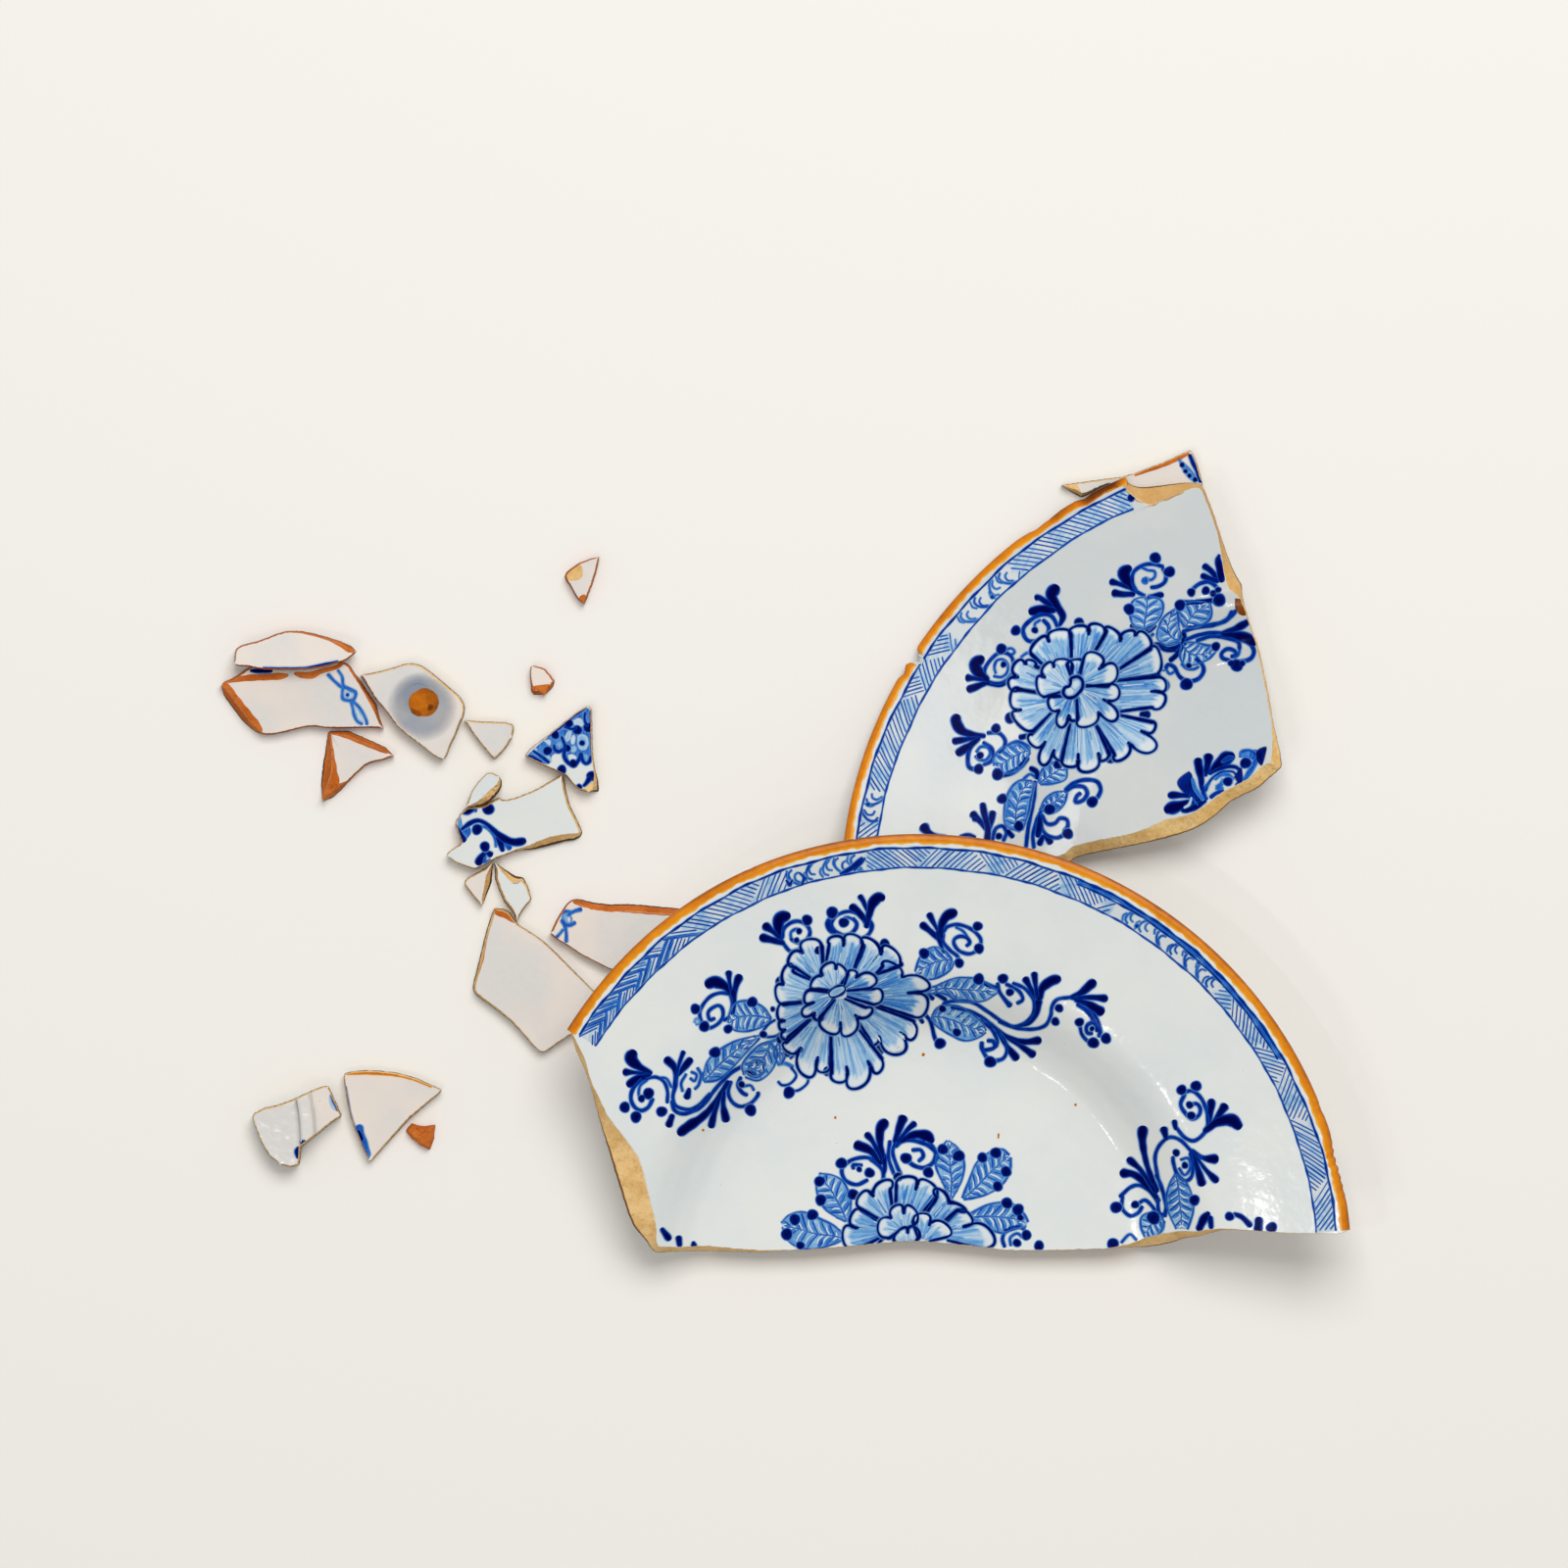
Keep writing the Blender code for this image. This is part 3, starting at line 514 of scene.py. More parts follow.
def rimmed_fragment(
    node, placing, glaze, clay, break_line, angles, chips, seed, counts=(380, 104, 60, 9), lead=0.0,
    leaning=False,
):
    """A fragment that keeps part of the rim. Each column runs from the break across the
    front to the lip, round it and back underneath, then up the broken wall, so that the
    columns together close into one solid. A lead runs the columns faster along the rim
    at its start, where the break is nearly parallel to it. A leaning fragment is let down
    onto the table. Returns how far, its edges as seen from above, and its lip."""
    columns, front_rows, under_rows, rows = counts
    curve, at = walked(break_line, columns)
    curve = softened(curve, 2)
    run = softened(np.gradient(curve[:, :2], axis=0), 60)
    run /= np.linalg.norm(run, axis=1, keepdims=True)
    inward = np.stack([run[:, 1], -run[:, 0]], axis=1)
    slip = faded(columns) * wander(seed, at, (1.2, 2.6, 5.1), 0.12)
    wide = curve[:, 2] + faded(columns) * np.abs(wander(seed + 1, at, (0.9, 1.9, 3.7, 7.0), 0.32))
    outer = curve[:, :2] + inward * slip[:, None]
    inner = outer + inward * wide[:, None]
    low = plumb(placing, outer[:, 0], outer[:, 1], under_height)[0]
    high = plumb(placing, inner[:, 0], inner[:, 1], front_height)[0]

    share = np.linspace(0, 1, columns)
    share = share + lead * (1 - np.exp(-share / 0.03))
    turned = np.radians(angles[0] + (angles[1] - angles[0]) * share / share[-1])
    share = kept_radius(np.cos(turned), np.sin(turned))
    depth = chipped(np.degrees(turned), chips)
    depth = depth * (1 + 0.35 * wander(seed + 2, at, (1.3, 2.9), 1.0))
    reach = (LIP[None, :, 0] - depth[:, None]) * share[:, None]
    drop = LIP[None, :, 1] - CHIP_DROP * depth[:, None]
    rim = np.stack([reach * np.cos(turned)[:, None], reach * np.sin(turned)[:, None], drop], axis=-1)
    high[0], high[-1] = rim[0, 0], rim[-1, 0]
    low[0], low[-1] = rim[0, -1], rim[-1, -1]

    front = laid(high, rim[:, 0], front_rows, front_height)
    under = laid(rim[:, -1], low, under_rows, under_height)
    wall = wall_rows(low, high, rows, seed + 3, 0.22, at)
    grid = np.concatenate([front, rim[:, 1:-1], under, wall[:, 1:-1]], axis=1)
    lip_rows = rim.shape[1]
    through = np.concatenate([
        np.zeros(front_rows), np.linspace(0.02, 0.98, lip_rows - 2),
        np.ones(under_rows), 1 - np.linspace(0, 1, rows)[1:-1],
    ])
    parts = np.repeat([0, 1, 2], [front_rows + 5, lip_rows + under_rows - 8, rows - 1])
    placed = moved(placing, *np.moveaxis(grid, -1, 0))
    settle = placed[..., 2].min() if leaning else 0.0
    placed[..., 2] -= settle
    made = shell(
        node + "_body", placed, True, parts, (glaze, under_glaze, clay), [(0, 2), (columns - 1, 2)],
        through=np.broadcast_to(through, grid.shape[:2]),
    )
    fit(made, "white_glaze", node)
    edge = np.concatenate([placed[:, 0, :2], placed[::-1, front_rows - 1, :2]])
    low_row = front_rows + lip_rows + under_rows - 3
    low_edge = np.concatenate([placed[:, low_row, :2], placed[::-1, front_rows + 3, :2]])
    return settle, edge, low_edge, (turned, depth)


def inside(polygon, x, y):
    """Whether points lie inside a polygon: an odd count of edges crossed to the right."""
    odd = np.zeros(np.shape(x), bool)
    for (x0, y0), (x1, y1) in zip(polygon, np.roll(polygon, -1, axis=0)):
        if y0 != y1:
            crossing = (y0 > y) != (y1 > y)
            odd ^= crossing & (x < x0 + (y - y0) * (x1 - x0) / (y1 - y0))
    return odd


def foot_ring(node, placing, settle, polygon):
    """The turned foot: its low section carried round the part of its circle that lies
    under the fragment, closed at both ends and sunk a little into the wall."""
    r, z = np.array([(72.0, 3.9), (72.4, 3.4), (72.7, 1.0), (73.1, 0.25), (73.8, 0.0),
                     (76.6, 0.0), (77.4, 0.25), (77.8, 1.0), (78.3, 3.8), (78.6, 4.4)]).T
    angles = np.radians(np.arange(0, 360, 0.5))
    ring_x, ring_y = FOOT_MIDDLE * np.cos(angles), FOOT_MIDDLE * np.sin(angles)
    spot = moved(placing, ring_x, ring_y, 0 * ring_x)
    held = inside(polygon[::6], spot[:, 0], spot[:, 1])
    start = int(np.argmax(held & ~np.roll(held, 1)))
    angles = np.unwrap(np.roll(angles, -start)[np.roll(held, -start)])[:, None]
    z = np.broadcast_to(z, (len(angles), len(z)))
    placed = moved(placing, r[None] * np.cos(angles), r[None] * np.sin(angles), z)
    placed[..., 2] -= settle
    made = shell(
        node + "_foot_ring", placed, True, np.zeros(len(r), int), (under_glaze, buff_clay),
        [(0, 1), (len(angles) - 1, 1)], through=np.full(placed.shape[:2], 0.5),
    )
    fit(made, "back_glaze", node)


half_settle, half_edge, half_low_edge, half_lip = rimmed_fragment(
    "half_dish", half_placing, half_glaze_painted_light, buff_clay, HALF_BREAK, HALF_ANGLES, HALF_CHIPS, 11,
)
foot_ring("half_dish", half_placing, half_settle, half_low_edge)
half_top = (half_placing, half_edge)


# ---------------------------------------------------------------------------
# The quarter: the same thrown dish, lying rim down with its broken middle raised, and
# with its lower edge under the half. A flake of glaze is gone from its upper edge.

quarter_placing = shift(178.9, -12.5, 0.0) @ turn(135.2, "Z") @ turn(23.2, "Y") @ turn(100.0, "Z")
QUARTER_BREAK = [
    (122.6, 133.0, 1.4), (125.0, 131.3, 3.0), (127.5, 130.6, 4.4), (131.0, 130.8, 7.0),
    (134.0, 131.1, 6.0), (138.0, 131.6, 5.0), (142.0, 132.1, 3.8), (146.0, 132.3, 2.4),
    (149.4, 131.8, 1.6), (150.8, 129.8, 1.0), (154.0, 121.5, 1.0), (156.6, 113.2, 0.9),
    (159.0, 106.0, 2.2), (161.4, 100.0, 3.8), (164.2, 95.4, 5.2), (164.3, 91.6, 1.2),
    (165.5, 87.0, 0.5), (167.4, 81.0, 0.5), (169.9, 74.5, 0.6), (171.3, 69.0, 0.8),
    (173.6, 58.0, 0.8), (175.6, 45.5, 0.8), (177.0, 39.3, 2.0), (178.1, 34.0, 3.4),
    (178.4, 30.0, 4.4), (175.0, 27.2, 5.0), (169.8, 22.6, 4.6), (163.0, 19.4, 4.2),
    (159.6, 17.5, 4.5), (156.0, 14.0, 5.0), (152.5, 11.2, 5.2), (148.5, 8.7, 5.4),
    (144.0, 6.8, 6.0), (138.0, 5.0, 6.5), (131.0, 3.3, 5.0), (124.0, 1.8, 4.2),
    (117.0, 0.5, 4.2), (110.0, -0.9, 4.2), (104.6, -2.3, 4.2), (102.6, -4.0, 3.6),
    (92.0, -7.5, 3.0), (76.0, -10.5, 2.0), (58.0, -12.0, 2.0), (40.0, -11.6, 1.0),
    (22.5, -10.6, 0.4),
]
QUARTER_ANGLES = (-124.6, -54.5)
QUARTER_CHIPS = [(-86.9, 1.5, 3.0), (-84.3, 1.2, 0.9), (-111.5, 4.0, 1.0), (-118.8, 1.6, 0.8)]
# Painted shade: the quarter's glaze is a darker copy of the same glaze, to dim the piece that leans towards
# the lamp.
quarter_glaze_painted_shade = glaze_material("quarter_glaze_painted_shade", (203, 207, 207), (198, 204, 206), (207, 210, 207))
# Painted shade: the quarter's clay turns darker along Y towards the far edge, where the lamp lights its
# raised walls more.
quarter_clay = clay_material(
    "quarter_clay", (250, 214, 148), (234, 190, 116), (186, 138, 80), (230, 220, 200), (112, 76, 42),
    painted_shade_along_y=(0.06, 0.115),
)
quarter_settle, quarter_edge, quarter_low_edge, quarter_lip = rimmed_fragment(
    "quarter_dish", quarter_placing, quarter_glaze_painted_shade, quarter_clay, QUARTER_BREAK, QUARTER_ANGLES,
    QUARTER_CHIPS, 23, counts=(400, 92, 56, 9), lead=0.4, leaning=True,
)
foot_ring("quarter_dish", quarter_placing, quarter_settle, quarter_low_edge)
quarter_top = (shift(0.0, 0.0, -quarter_settle) @ quarter_placing, quarter_edge)


# ---------------------------------------------------------------------------
# The ochre rims: iron ochre brushed round the lip before firing, with a darker line at
# its outermost edge, a ragged inner edge, and bare places where the lip is chipped.

def ochre_material():
    """Ochre that thins towards its ragged inner edge and burns brown at the lip."""
    made, place = material("ochre_rim", (217, 135, 22))
    cloud = place.noise(70.0, 4.0, 0.65) - 0.5
    fine = place.noise(520.0, 2.0, 0.6) - 0.5
    color = (place.carried("tone") + cloud * 0.42 + fine * 0.16).ramp(
        (0.0, (250, 206, 120)), (0.22, (244, 172, 56)), (0.45, (228, 144, 26)),
        (0.66, (198, 110, 16)), (0.84, (142, 74, 12)), (1.0, (84, 38, 6)),
    )
    held = (place.carried("cover") + cloud * 0.9 + fine * 0.35).step(0.30, 0.58)
    return join(made, Base_Color=color, Alpha=held, Roughness=0.16, Specular_IOR_Level=0.12)


ochre_rim = ochre_material()


def rim_band(name, placing, settle, turned, depth, dark=()):
    """The ochre over the lip: rows from inside the rim, out over the lip's section and
    under it, a little proud of the glaze, and drawn back where the lip is broken."""
    share = kept_radius(np.cos(turned), np.sin(turned))
    degrees = np.degrees(turned)
    start = 151.35 + 0.25 * wander(61, degrees * 2.7, (4.0, 7.5, 13.0, 31.0), 2.0)
    lead = np.linspace(-1.0, -0.12, 7)
    inner = start[:, None] + (LIP_START - start)[:, None] * (1 + lead)[None]
    outer = LIP[:8] + np.array([
        (0, 0.05), (0, 0.05), (0.02, 0.045), (0.04, 0.03), (0.05, 0.0), (0.05, -0.03), (0.04, -0.04),
        (0, -0.05),
    ])
    outer = np.broadcast_to(outer, (len(turned), 8, 2))
    radius = np.concatenate([inner, outer[..., 0]], axis=1)
    height = np.concatenate([front_height(inner) + 0.05, outer[..., 1]], axis=1)
    drawn = np.clip((radius - 149.0) / 3.3, 0, 1)
    reach = (radius - depth[:, None] * drawn) * share[:, None]
    height = height - CHIP_DROP * depth[:, None] * drawn
    placed = moved(placing, reach * np.cos(turned)[:, None], reach * np.sin(turned)[:, None], height)
    placed[..., 2] -= settle
    tones = np.array([
        0.12, 0.20, 0.27, 0.32, 0.38, 0.44, 0.48, 0.52, 0.58, 0.68, 0.80, 0.88, 0.90, 0.88, 0.84,
    ])
    covers = np.array([0.25, 0.55, 0.85, 1.0, 1.0, 1.1, *[1.2] * 7, 1.1, 0.6])
    tones = np.broadcast_to(tones, radius.shape).copy()
    for low, high, deep in dark:
        off = np.clip(1 - np.abs((degrees - (low + high) / 2) / ((high - low) / 2)), 0, 1)
        tones += deep * np.clip(off * 3, 0, 1)[:, None]
    worn = np.clip((depth - 0.9) / 0.9, 0, 1)[:, None]
    parts = np.zeros(radius.shape[1], int)
    made = shell(name, placed, False, parts, (ochre_rim,), tone=tones, cover=covers[None] * (1 - worn))
    fit(made, "ochre_rim")


rim_band("half_ochre_rim", half_placing, half_settle, *half_lip)
rim_band(
    "quarter_ochre_rim", quarter_placing, quarter_settle, *quarter_lip,
    dark=[(-124.4, -117.6, 0.42), (-117.6, -113.0, 0.16), (-100.0, -92.0, 0.08)],
)


# ---------------------------------------------------------------------------
# The blue painting: cobalt brushed on the raw white glaze and fired with it, so that it
# lies in the glaze. Strokes pool dark at their ends and bleed a pale halo.

def cobalt_material():
    """One paint for every stroke: the stroke's own depth of colour, streaked along its
    run, looks up a ramp from bare glaze to near-black blue."""
    made, place = material("cobalt_paint", (30, 62, 150))
    tone = place.carried("tone")
    run = place.of("ShaderNodeCombineXYZ", 0, X=place.carried("across"), Y=place.carried("along") * 0.12)
    lean = tone * (1.18 - tone)
    pool = place.noise(330.0, 2.0, 0.5)
    depth = tone + (run.noise(2.6, 3.0, 0.6) - 0.5) * lean * 1.5 + (pool - 0.5) * lean * 0.5
    color = depth.ramp(
        (0.0, (222, 225, 224)), (0.16, (184, 206, 224)), (0.34, (122, 172, 214)), (0.52, (52, 120, 200)),
        (0.70, (10, 70, 172)), (0.84, (2, 34, 132)), (1.0, (1, 4, 72)),
    )
    bump = (place.noise(95.0, 2.0, 0.5) * 0.55).bump(0.5, 0.0003)
    cover = place.carried("cover")
    return join(made, Base_Color=color, Alpha=cover, Roughness=0.11, Normal=bump, Specular_IOR_Level=0.012)


cobalt_paint = cobalt_material()
HALO_REACH = (0.18, 0.65)
HALO_TONES = (0.18, 0.34)
SOFT_EDGE_DROP = 1.5
PATCH_STEP = 0.2
LAYER_STEP = 0.011


def brushed(points, step=0.5):
    """A path of equal steps along the smooth curve through points, a Catmull-Rom spline;
    the columns after x and y, such as the width, follow with it."""
    points = np.array(points, float)
    if len(points) > 2:
        padded = np.concatenate([2 * points[:1] - points[1:2], points, 2 * points[-1:] - points[-2:-1]])
        t = np.linspace(0, 1, 13)[:-1, None]
        curve = []
        for a, b, c, d in zip(padded[:-3], padded[1:-2], padded[2:-1], padded[3:]):
            bent = 2 * a - 5 * b + 4 * c - d + t * (3 * (b - c) + d - a)
            curve.append(b + 0.5 * t * (c - a + t * bent))
        points = np.concatenate(curve + [points[-1:]])
    length = np.sum(np.hypot(*np.diff(points[:, :2], axis=0).T))
    return walked(points, max(4, int(length / step) + 1))


class Painting:
    """Patches of paint over one piece: grids of places seen from above, each point with a
    tone, a cover and its place across and along the brush. They are draped last."""

    def __init__(self, seed):
        self.patches = []
        self.turn = False
        self.draw = np.random.default_rng(seed)

    def put(self, spots, tone, cover, across, along, layer):
        """Keep one grid of places, with its numbers spread over it."""
        shape = spots.shape[:2]
        values = (tone, cover, across, along, np.array(layer, float))
        self.patches.append((spots, *(np.broadcast_to(value, shape) for value in values)))

    def line(self, points, width=1.2, tone=0.86, layer=2, ends=0.6, bleed=1.0):
        """One stroke through points, each with its own width where it gives one. Its soft
        edges lie lower than its body, so that they never pale a stroke beside it."""
        full = [p if len(p) > 2 else (*p, width) for p in points]
        path, at = brushed(full)
        run = np.gradient(path[:, :2], axis=0)
        run = unit(run)
        half = np.maximum(path[:, 2], 0.2) / 2
        tail = np.array([0.2, 0.45, 0.7, 0.9, 1.0])
        before, after = -half[0] * ends * tail[::-1], half[-1] * ends * tail
        path = np.concatenate([
            path[:1, :2] + before[:, None] * run[:1], path[:, :2],
            path[-1:, :2] + after[:, None] * run[-1:],
        ])
        run = np.concatenate([run[:1].repeat(5, axis=0), run, run[-1:].repeat(5, axis=0)])
        half = np.concatenate([half[:1].repeat(5), half, half[-1:].repeat(5)])
        at = np.concatenate([before, at, at[-1] + after])
        off = np.minimum(at - at[0], at[-1] - at)
        capped = np.clip(off / np.maximum(half * 1.15, 0.05), 0, 1)
        half = half * np.sqrt(np.maximum(1 - (1 - capped) ** 2, 0.0))
        unsteady = 1 + 0.05 * self.draw.normal(size=1)
        half = half * (unsteady + 0.05 * np.sin(at * 1.3 + self.draw.random() * 6))
        body = np.maximum(half - 0.12, half * 0.6)
        near, wide = half + HALO_REACH[0] * bleed, half + HALO_REACH[1] * bleed
        cross = np.stack([-wide, -near, -body, -half * 0.5, 0 * half, half * 0.5, body, near, wide], axis=1)
        side = np.stack([-run[:, 1], run[:, 0]], axis=1)
        spots = path[:, None, :2] + side[:, None] * cross[..., None]
        deep = tone + 0.12 * np.clip(half[:, None] - 0.6, 0, 1.2)
        edge = np.minimum(deep, 0.80)
        side_tones = [HALO_TONES[0] + 0 * deep, HALO_TONES[1] + 0 * deep, edge - 0.05, deep]
        tones = np.concatenate([*side_tones, deep, *side_tones[::-1]], axis=1)
        covers = np.array([0.0, 0.45, 1.0, 1.0, 1.0, 1.0, 1.0, 0.45, 0.0])
        layers = layer - SOFT_EDGE_DROP * (covers < 1)
        start = self.draw.random() * 50
        self.put(spots, tones, covers[None], cross * 1.2 + start, (at + start)[:, None], layers)

    def dot(self, x, y, radius, tone=0.97, layer=5):
        """A round touch of the full brush: rings out from its middle, a little uneven."""
        turns = np.linspace(0, 2 * np.pi, 25)
        uneven = 1 + 0.045 * np.sin(2 * turns + self.draw.random() * 6)
        uneven = uneven + 0.03 * np.sin(3 * turns + self.draw.random() * 6)
        rings = np.array([0.0, radius * 0.5, radius * 0.8, radius - 0.12, radius + 0.16, radius + 0.42])
        tones = np.array([tone + 0.02, tone, tone - 0.04, min(tone, 0.80) - 0.06, 0.36, 0.26])
        covers = np.array([1.0, 1.0, 1.0, 1.0, 0.5, 0.0])
        out = rings[:, None] * uneven[None]
        spots = np.stack([x + out * np.cos(turns), y + out * np.sin(turns)], axis=-1)
        layers = layer - SOFT_EDGE_DROP * (covers < 1)
        self.put(spots, tones[:, None], covers[:, None], spots[..., 0], spots[..., 1], layers[:, None])

    def blot(self, outline, tones=(0.5, 0.5), layer=0, cover=1.0, soft=0.3):
        """A filled patch: rings out from its middle to a closed outline, the tone going
        from the first of tones to the second, the edge as soft as given."""
        outline = np.array(outline, float)
        ring = brushed(np.concatenate([outline, outline[:1]]))[0]
        middle = outline.mean(axis=0)
        reach = np.linalg.norm(ring - middle, axis=1)[:, None]
        out = np.concatenate([reach * [[0.0, 0.4, 0.7]], reach - soft, reach, reach + soft], axis=1)
        spots = middle + ((ring - middle) / reach)[:, None] * out[..., None]
        covers = np.array([1.0, 1.0, 1.0, 1.0, 0.5, 0.0]) * cover
        share = np.array([0.0, 0.4, 0.7, 0.9, 1.0, 1.0])
        tone = tones[0] + (tones[1] - tones[0]) * share
        self.put(spots, tone[None], covers[None], spots[..., 0], spots[..., 1], layer)

    def dots(self, *each):
        """Round touches, each given by its place and radius."""
        for x, y, radius in each:
            self.dot(x, y, radius)

    def strokes(self, *paths, width=1.2, tone=0.86, layer=2):
        """Strokes of one tone, one after another."""
        for path in paths:
            self.line(path, width, tone, layer)

    def drops(self, *paths):
        """Fans of heavy strokes that swell from a thin start to a loaded round end."""
        self.strokes(*paths, tone=0.90)

    def petal(self, roots, marks, layer, blue=0.3, outline=1.05):
        """A scalloped petal from its two roots: marks are its notches with a peak between
        each two. A lobe runs from notch to notch as a bulging half ellipse through its
        peak. Blue streaks run from the roots and stop level with the notches, so that the
        lobes stay white; then come the outline, heavier at the notches, and the ticks."""
        roots, marks = np.array(roots, float), np.array(marks, float)
        t = np.linspace(0, 1, 17)[:-1]
        along = (1 - np.cos(np.pi * t) * (1 + 0.2 * np.sin(np.pi * t))) / 2
        chords = np.concatenate([[0], np.cumsum(np.hypot(*np.diff(marks[::2], axis=0).T))])
        depths = marks[::2].copy()
        for n, notch in enumerate(depths):
            outward = notch - roots[0] - (roots[1] - roots[0]) * chords[n] / chords[-1]
            outward /= np.linalg.norm(outward)
            peaks = [marks[at] for at in (2 * n - 1, 2 * n + 1) if 0 < at < len(marks)]
            rise = min(np.dot(peak - notch, outward) for peak in peaks)
            marks[2 * n] = notch + outward * 0.45 * max(rise, 0.0)
        rim, level, share = [], [], []
        for n, (start, peak, end) in enumerate(zip(marks[:-2:2], marks[1:-1:2], marks[2::2])):
            rim.append(start + np.outer(along, end - start)
                       + np.outer(np.sin(np.pi * t) ** 0.7, peak - (start + end) / 2))
            level.append(depths[n] + np.outer(t, depths[n + 1] - depths[n]))
            share.append(chords[n] + t * (chords[n + 1] - chords[n]))
        rim, level = np.concatenate(rim + [marks[-1:]]), np.concatenate(level + [depths[-1:]])
        share = np.concatenate(share + [chords[-1:]]) / chords[-1]
        foot = roots[0] + share[:, None] * (roots[1] - roots[0])
        rows = np.linspace(0, 1, 17)
        spots = foot[:, None] + (rim - foot)[:, None] * rows[None, :, None]
        length = np.linalg.norm(rim - foot, axis=1)
        stop = np.linalg.norm(level - foot, axis=1)
        stop = stop + 0.55 * np.maximum(length - stop, 0) + 0.6 * self.draw.normal(size=len(rim))
        reach = length[:, None] * rows[None]
        fade = np.clip((np.minimum(stop, length - 0.6)[:, None] - reach) / 1.1, 0, 1)
        hair = 0.08 * self.draw.normal(size=len(rim)) + 0.05 * np.sin(share * 17 + self.draw.random() * 6)
        depth = blue * (1.12 - 0.2 * reach / stop[:, None]) + 0.14 * np.abs(2 * share[:, None] - 1) ** 5
        tones = 0.03 + np.maximum(depth + hair[:, None] - 0.03, 0.10) * fade
        across = np.cumsum(np.concatenate([[0], np.hypot(*np.diff(level, axis=0).T)]))
        across = across + self.draw.random() * 40
        self.turn = not self.turn
        self.put(spots, tones, 1.0, across[:, None] + 0 * reach, reach, layer + self.turn)
        for n in range(len(marks)):
            pick = int(self.draw.integers(2, len(rim) - 2))
            low, high = 0.05 + 0.3 * self.draw.random(), 0.5 + 0.4 * self.draw.random()
            start = foot[pick] + (level[pick] - foot[pick]) * low
            end = foot[pick] + (level[pick] - foot[pick]) * high
            tick = (blue + 0.2, 0.12)[n % 2]
            self.line([(*start, 0.5), (*end, 0.3)], tone=tick, layer=layer + 2, ends=0.2, bleed=0.4)
        path = np.concatenate([roots[:1], rim, roots[1:]])
        gap = np.min(np.linalg.norm(path[:, None] - marks[None, ::2], axis=2), axis=1)
        widths = outline * (0.95 + 0.15 * np.sin(np.linspace(0, 9, len(path)) + self.draw.random() * 6)
                            + 0.5 * np.exp(-(gap / 1.3) ** 2))
        widths[[0, -1]] = outline
        self.line(np.column_stack([path, widths]), tone=0.98, layer=layer + 3, ends=0.3)
        for notch, deep in zip(marks[2:-1:2], depths[1:-1]):
            self.line([(*notch, outline * 1.5), (*deep, outline * 1.05)], tone=0.98, layer=layer + 3)

    def leaf(self, one, other, layer=0, tone=0.34, veins=5, outline=0.6):
        """A leaf between two edges that start and end together: a pale wash, broad slanting
        bands of mid blue on both sides of a midrib, each with a dark line along it and a
        pale gap beside it, and a soft outline."""
        first = brushed(one, 0.8)[0]
        count = len(first)
        second = walked(brushed(other, 0.8)[0], count)[0]
        t = np.linspace(0, 1, 7)
        spots = first[:, None] + (second - first)[:, None] * t[None, :, None]
        share = np.linspace(0, 1, count)[:, None]
        tones = tone + 0.08 * np.sin(share * 9 + self.draw.random() * 6) + 0.08 * (1 - share)
        self.put(spots, tones, 1.0, t[None] * 5 + self.draw.random() * 9, share * 30, layer)
        middle = (first + second) / 2
        pitch = np.linalg.norm(middle[-1] - middle[0]) / (veins + 0.6)

        def at(line, share):
            return line[int(np.clip(round(share * (count - 1)), 0, count - 1))]

        for side in (first, second):
            for n in range(veins):
                low = (n + 0.25 + self.draw.uniform(-0.12, 0.12)) / (veins + 0.6)
                high = low + self.draw.uniform(0.8, 1.15) / (veins + 0.6)
                start = at(middle, low)
                reach = start + (at(side, high) - start) * self.draw.uniform(0.86, 0.96)
                bend = (start + reach) / 2 + (at(middle, high) - start) * self.draw.uniform(0.05, 0.2)
                run = (reach - start) / max(np.linalg.norm(reach - start), 0.1)
                over = at(middle, low + 0.5 / (veins + 0.6)) - start
                over = over - run * np.dot(over, run)
                over = over / max(np.linalg.norm(over), 0.05)
                broad = pitch * self.draw.uniform(0.36, 0.5)
                self.line([(*start, broad * 0.5), (*bend, broad), (*reach, broad * 0.7)],
                          tone=self.draw.uniform(0.46, 0.58), layer=layer + 1, ends=0.4, bleed=0.5)
                dark = [(*(start - over * broad * 0.3), 0.4), (*(bend - over * broad * 0.5), 0.55),
                        (*(reach - over * broad * 0.3), 0.35)]
                self.line(dark, tone=self.draw.uniform(0.66, 0.80), layer=layer + 2, ends=0.3, bleed=0.5)
                pale = [(*(start + over * (broad * 0.5 + 0.35)), 0.3),
                        (*(bend + over * (broad * 0.5 + 0.45)), 0.7),
                        (*(start + (reach - start) * 0.86 + over * (broad * 0.5 + 0.3)), 0.35)]
                self.line(pale, tone=self.draw.uniform(0.05, 0.2), layer=layer + 2, ends=0.3, bleed=0.3)
        rib = np.column_stack([middle, 0.55 + 0.15 * np.sin(np.linspace(0, 6, count))])[:-2]
        self.line(rib, tone=0.62, layer=layer + 3, bleed=0.5)
        for side in (first, second):
            widths = outline * (1 + 0.35 * np.sin(np.linspace(0, 7, count) + self.draw.random() * 6))
            self.line(np.column_stack([side, widths]), tone=0.68, layer=layer + 3, bleed=0.8)

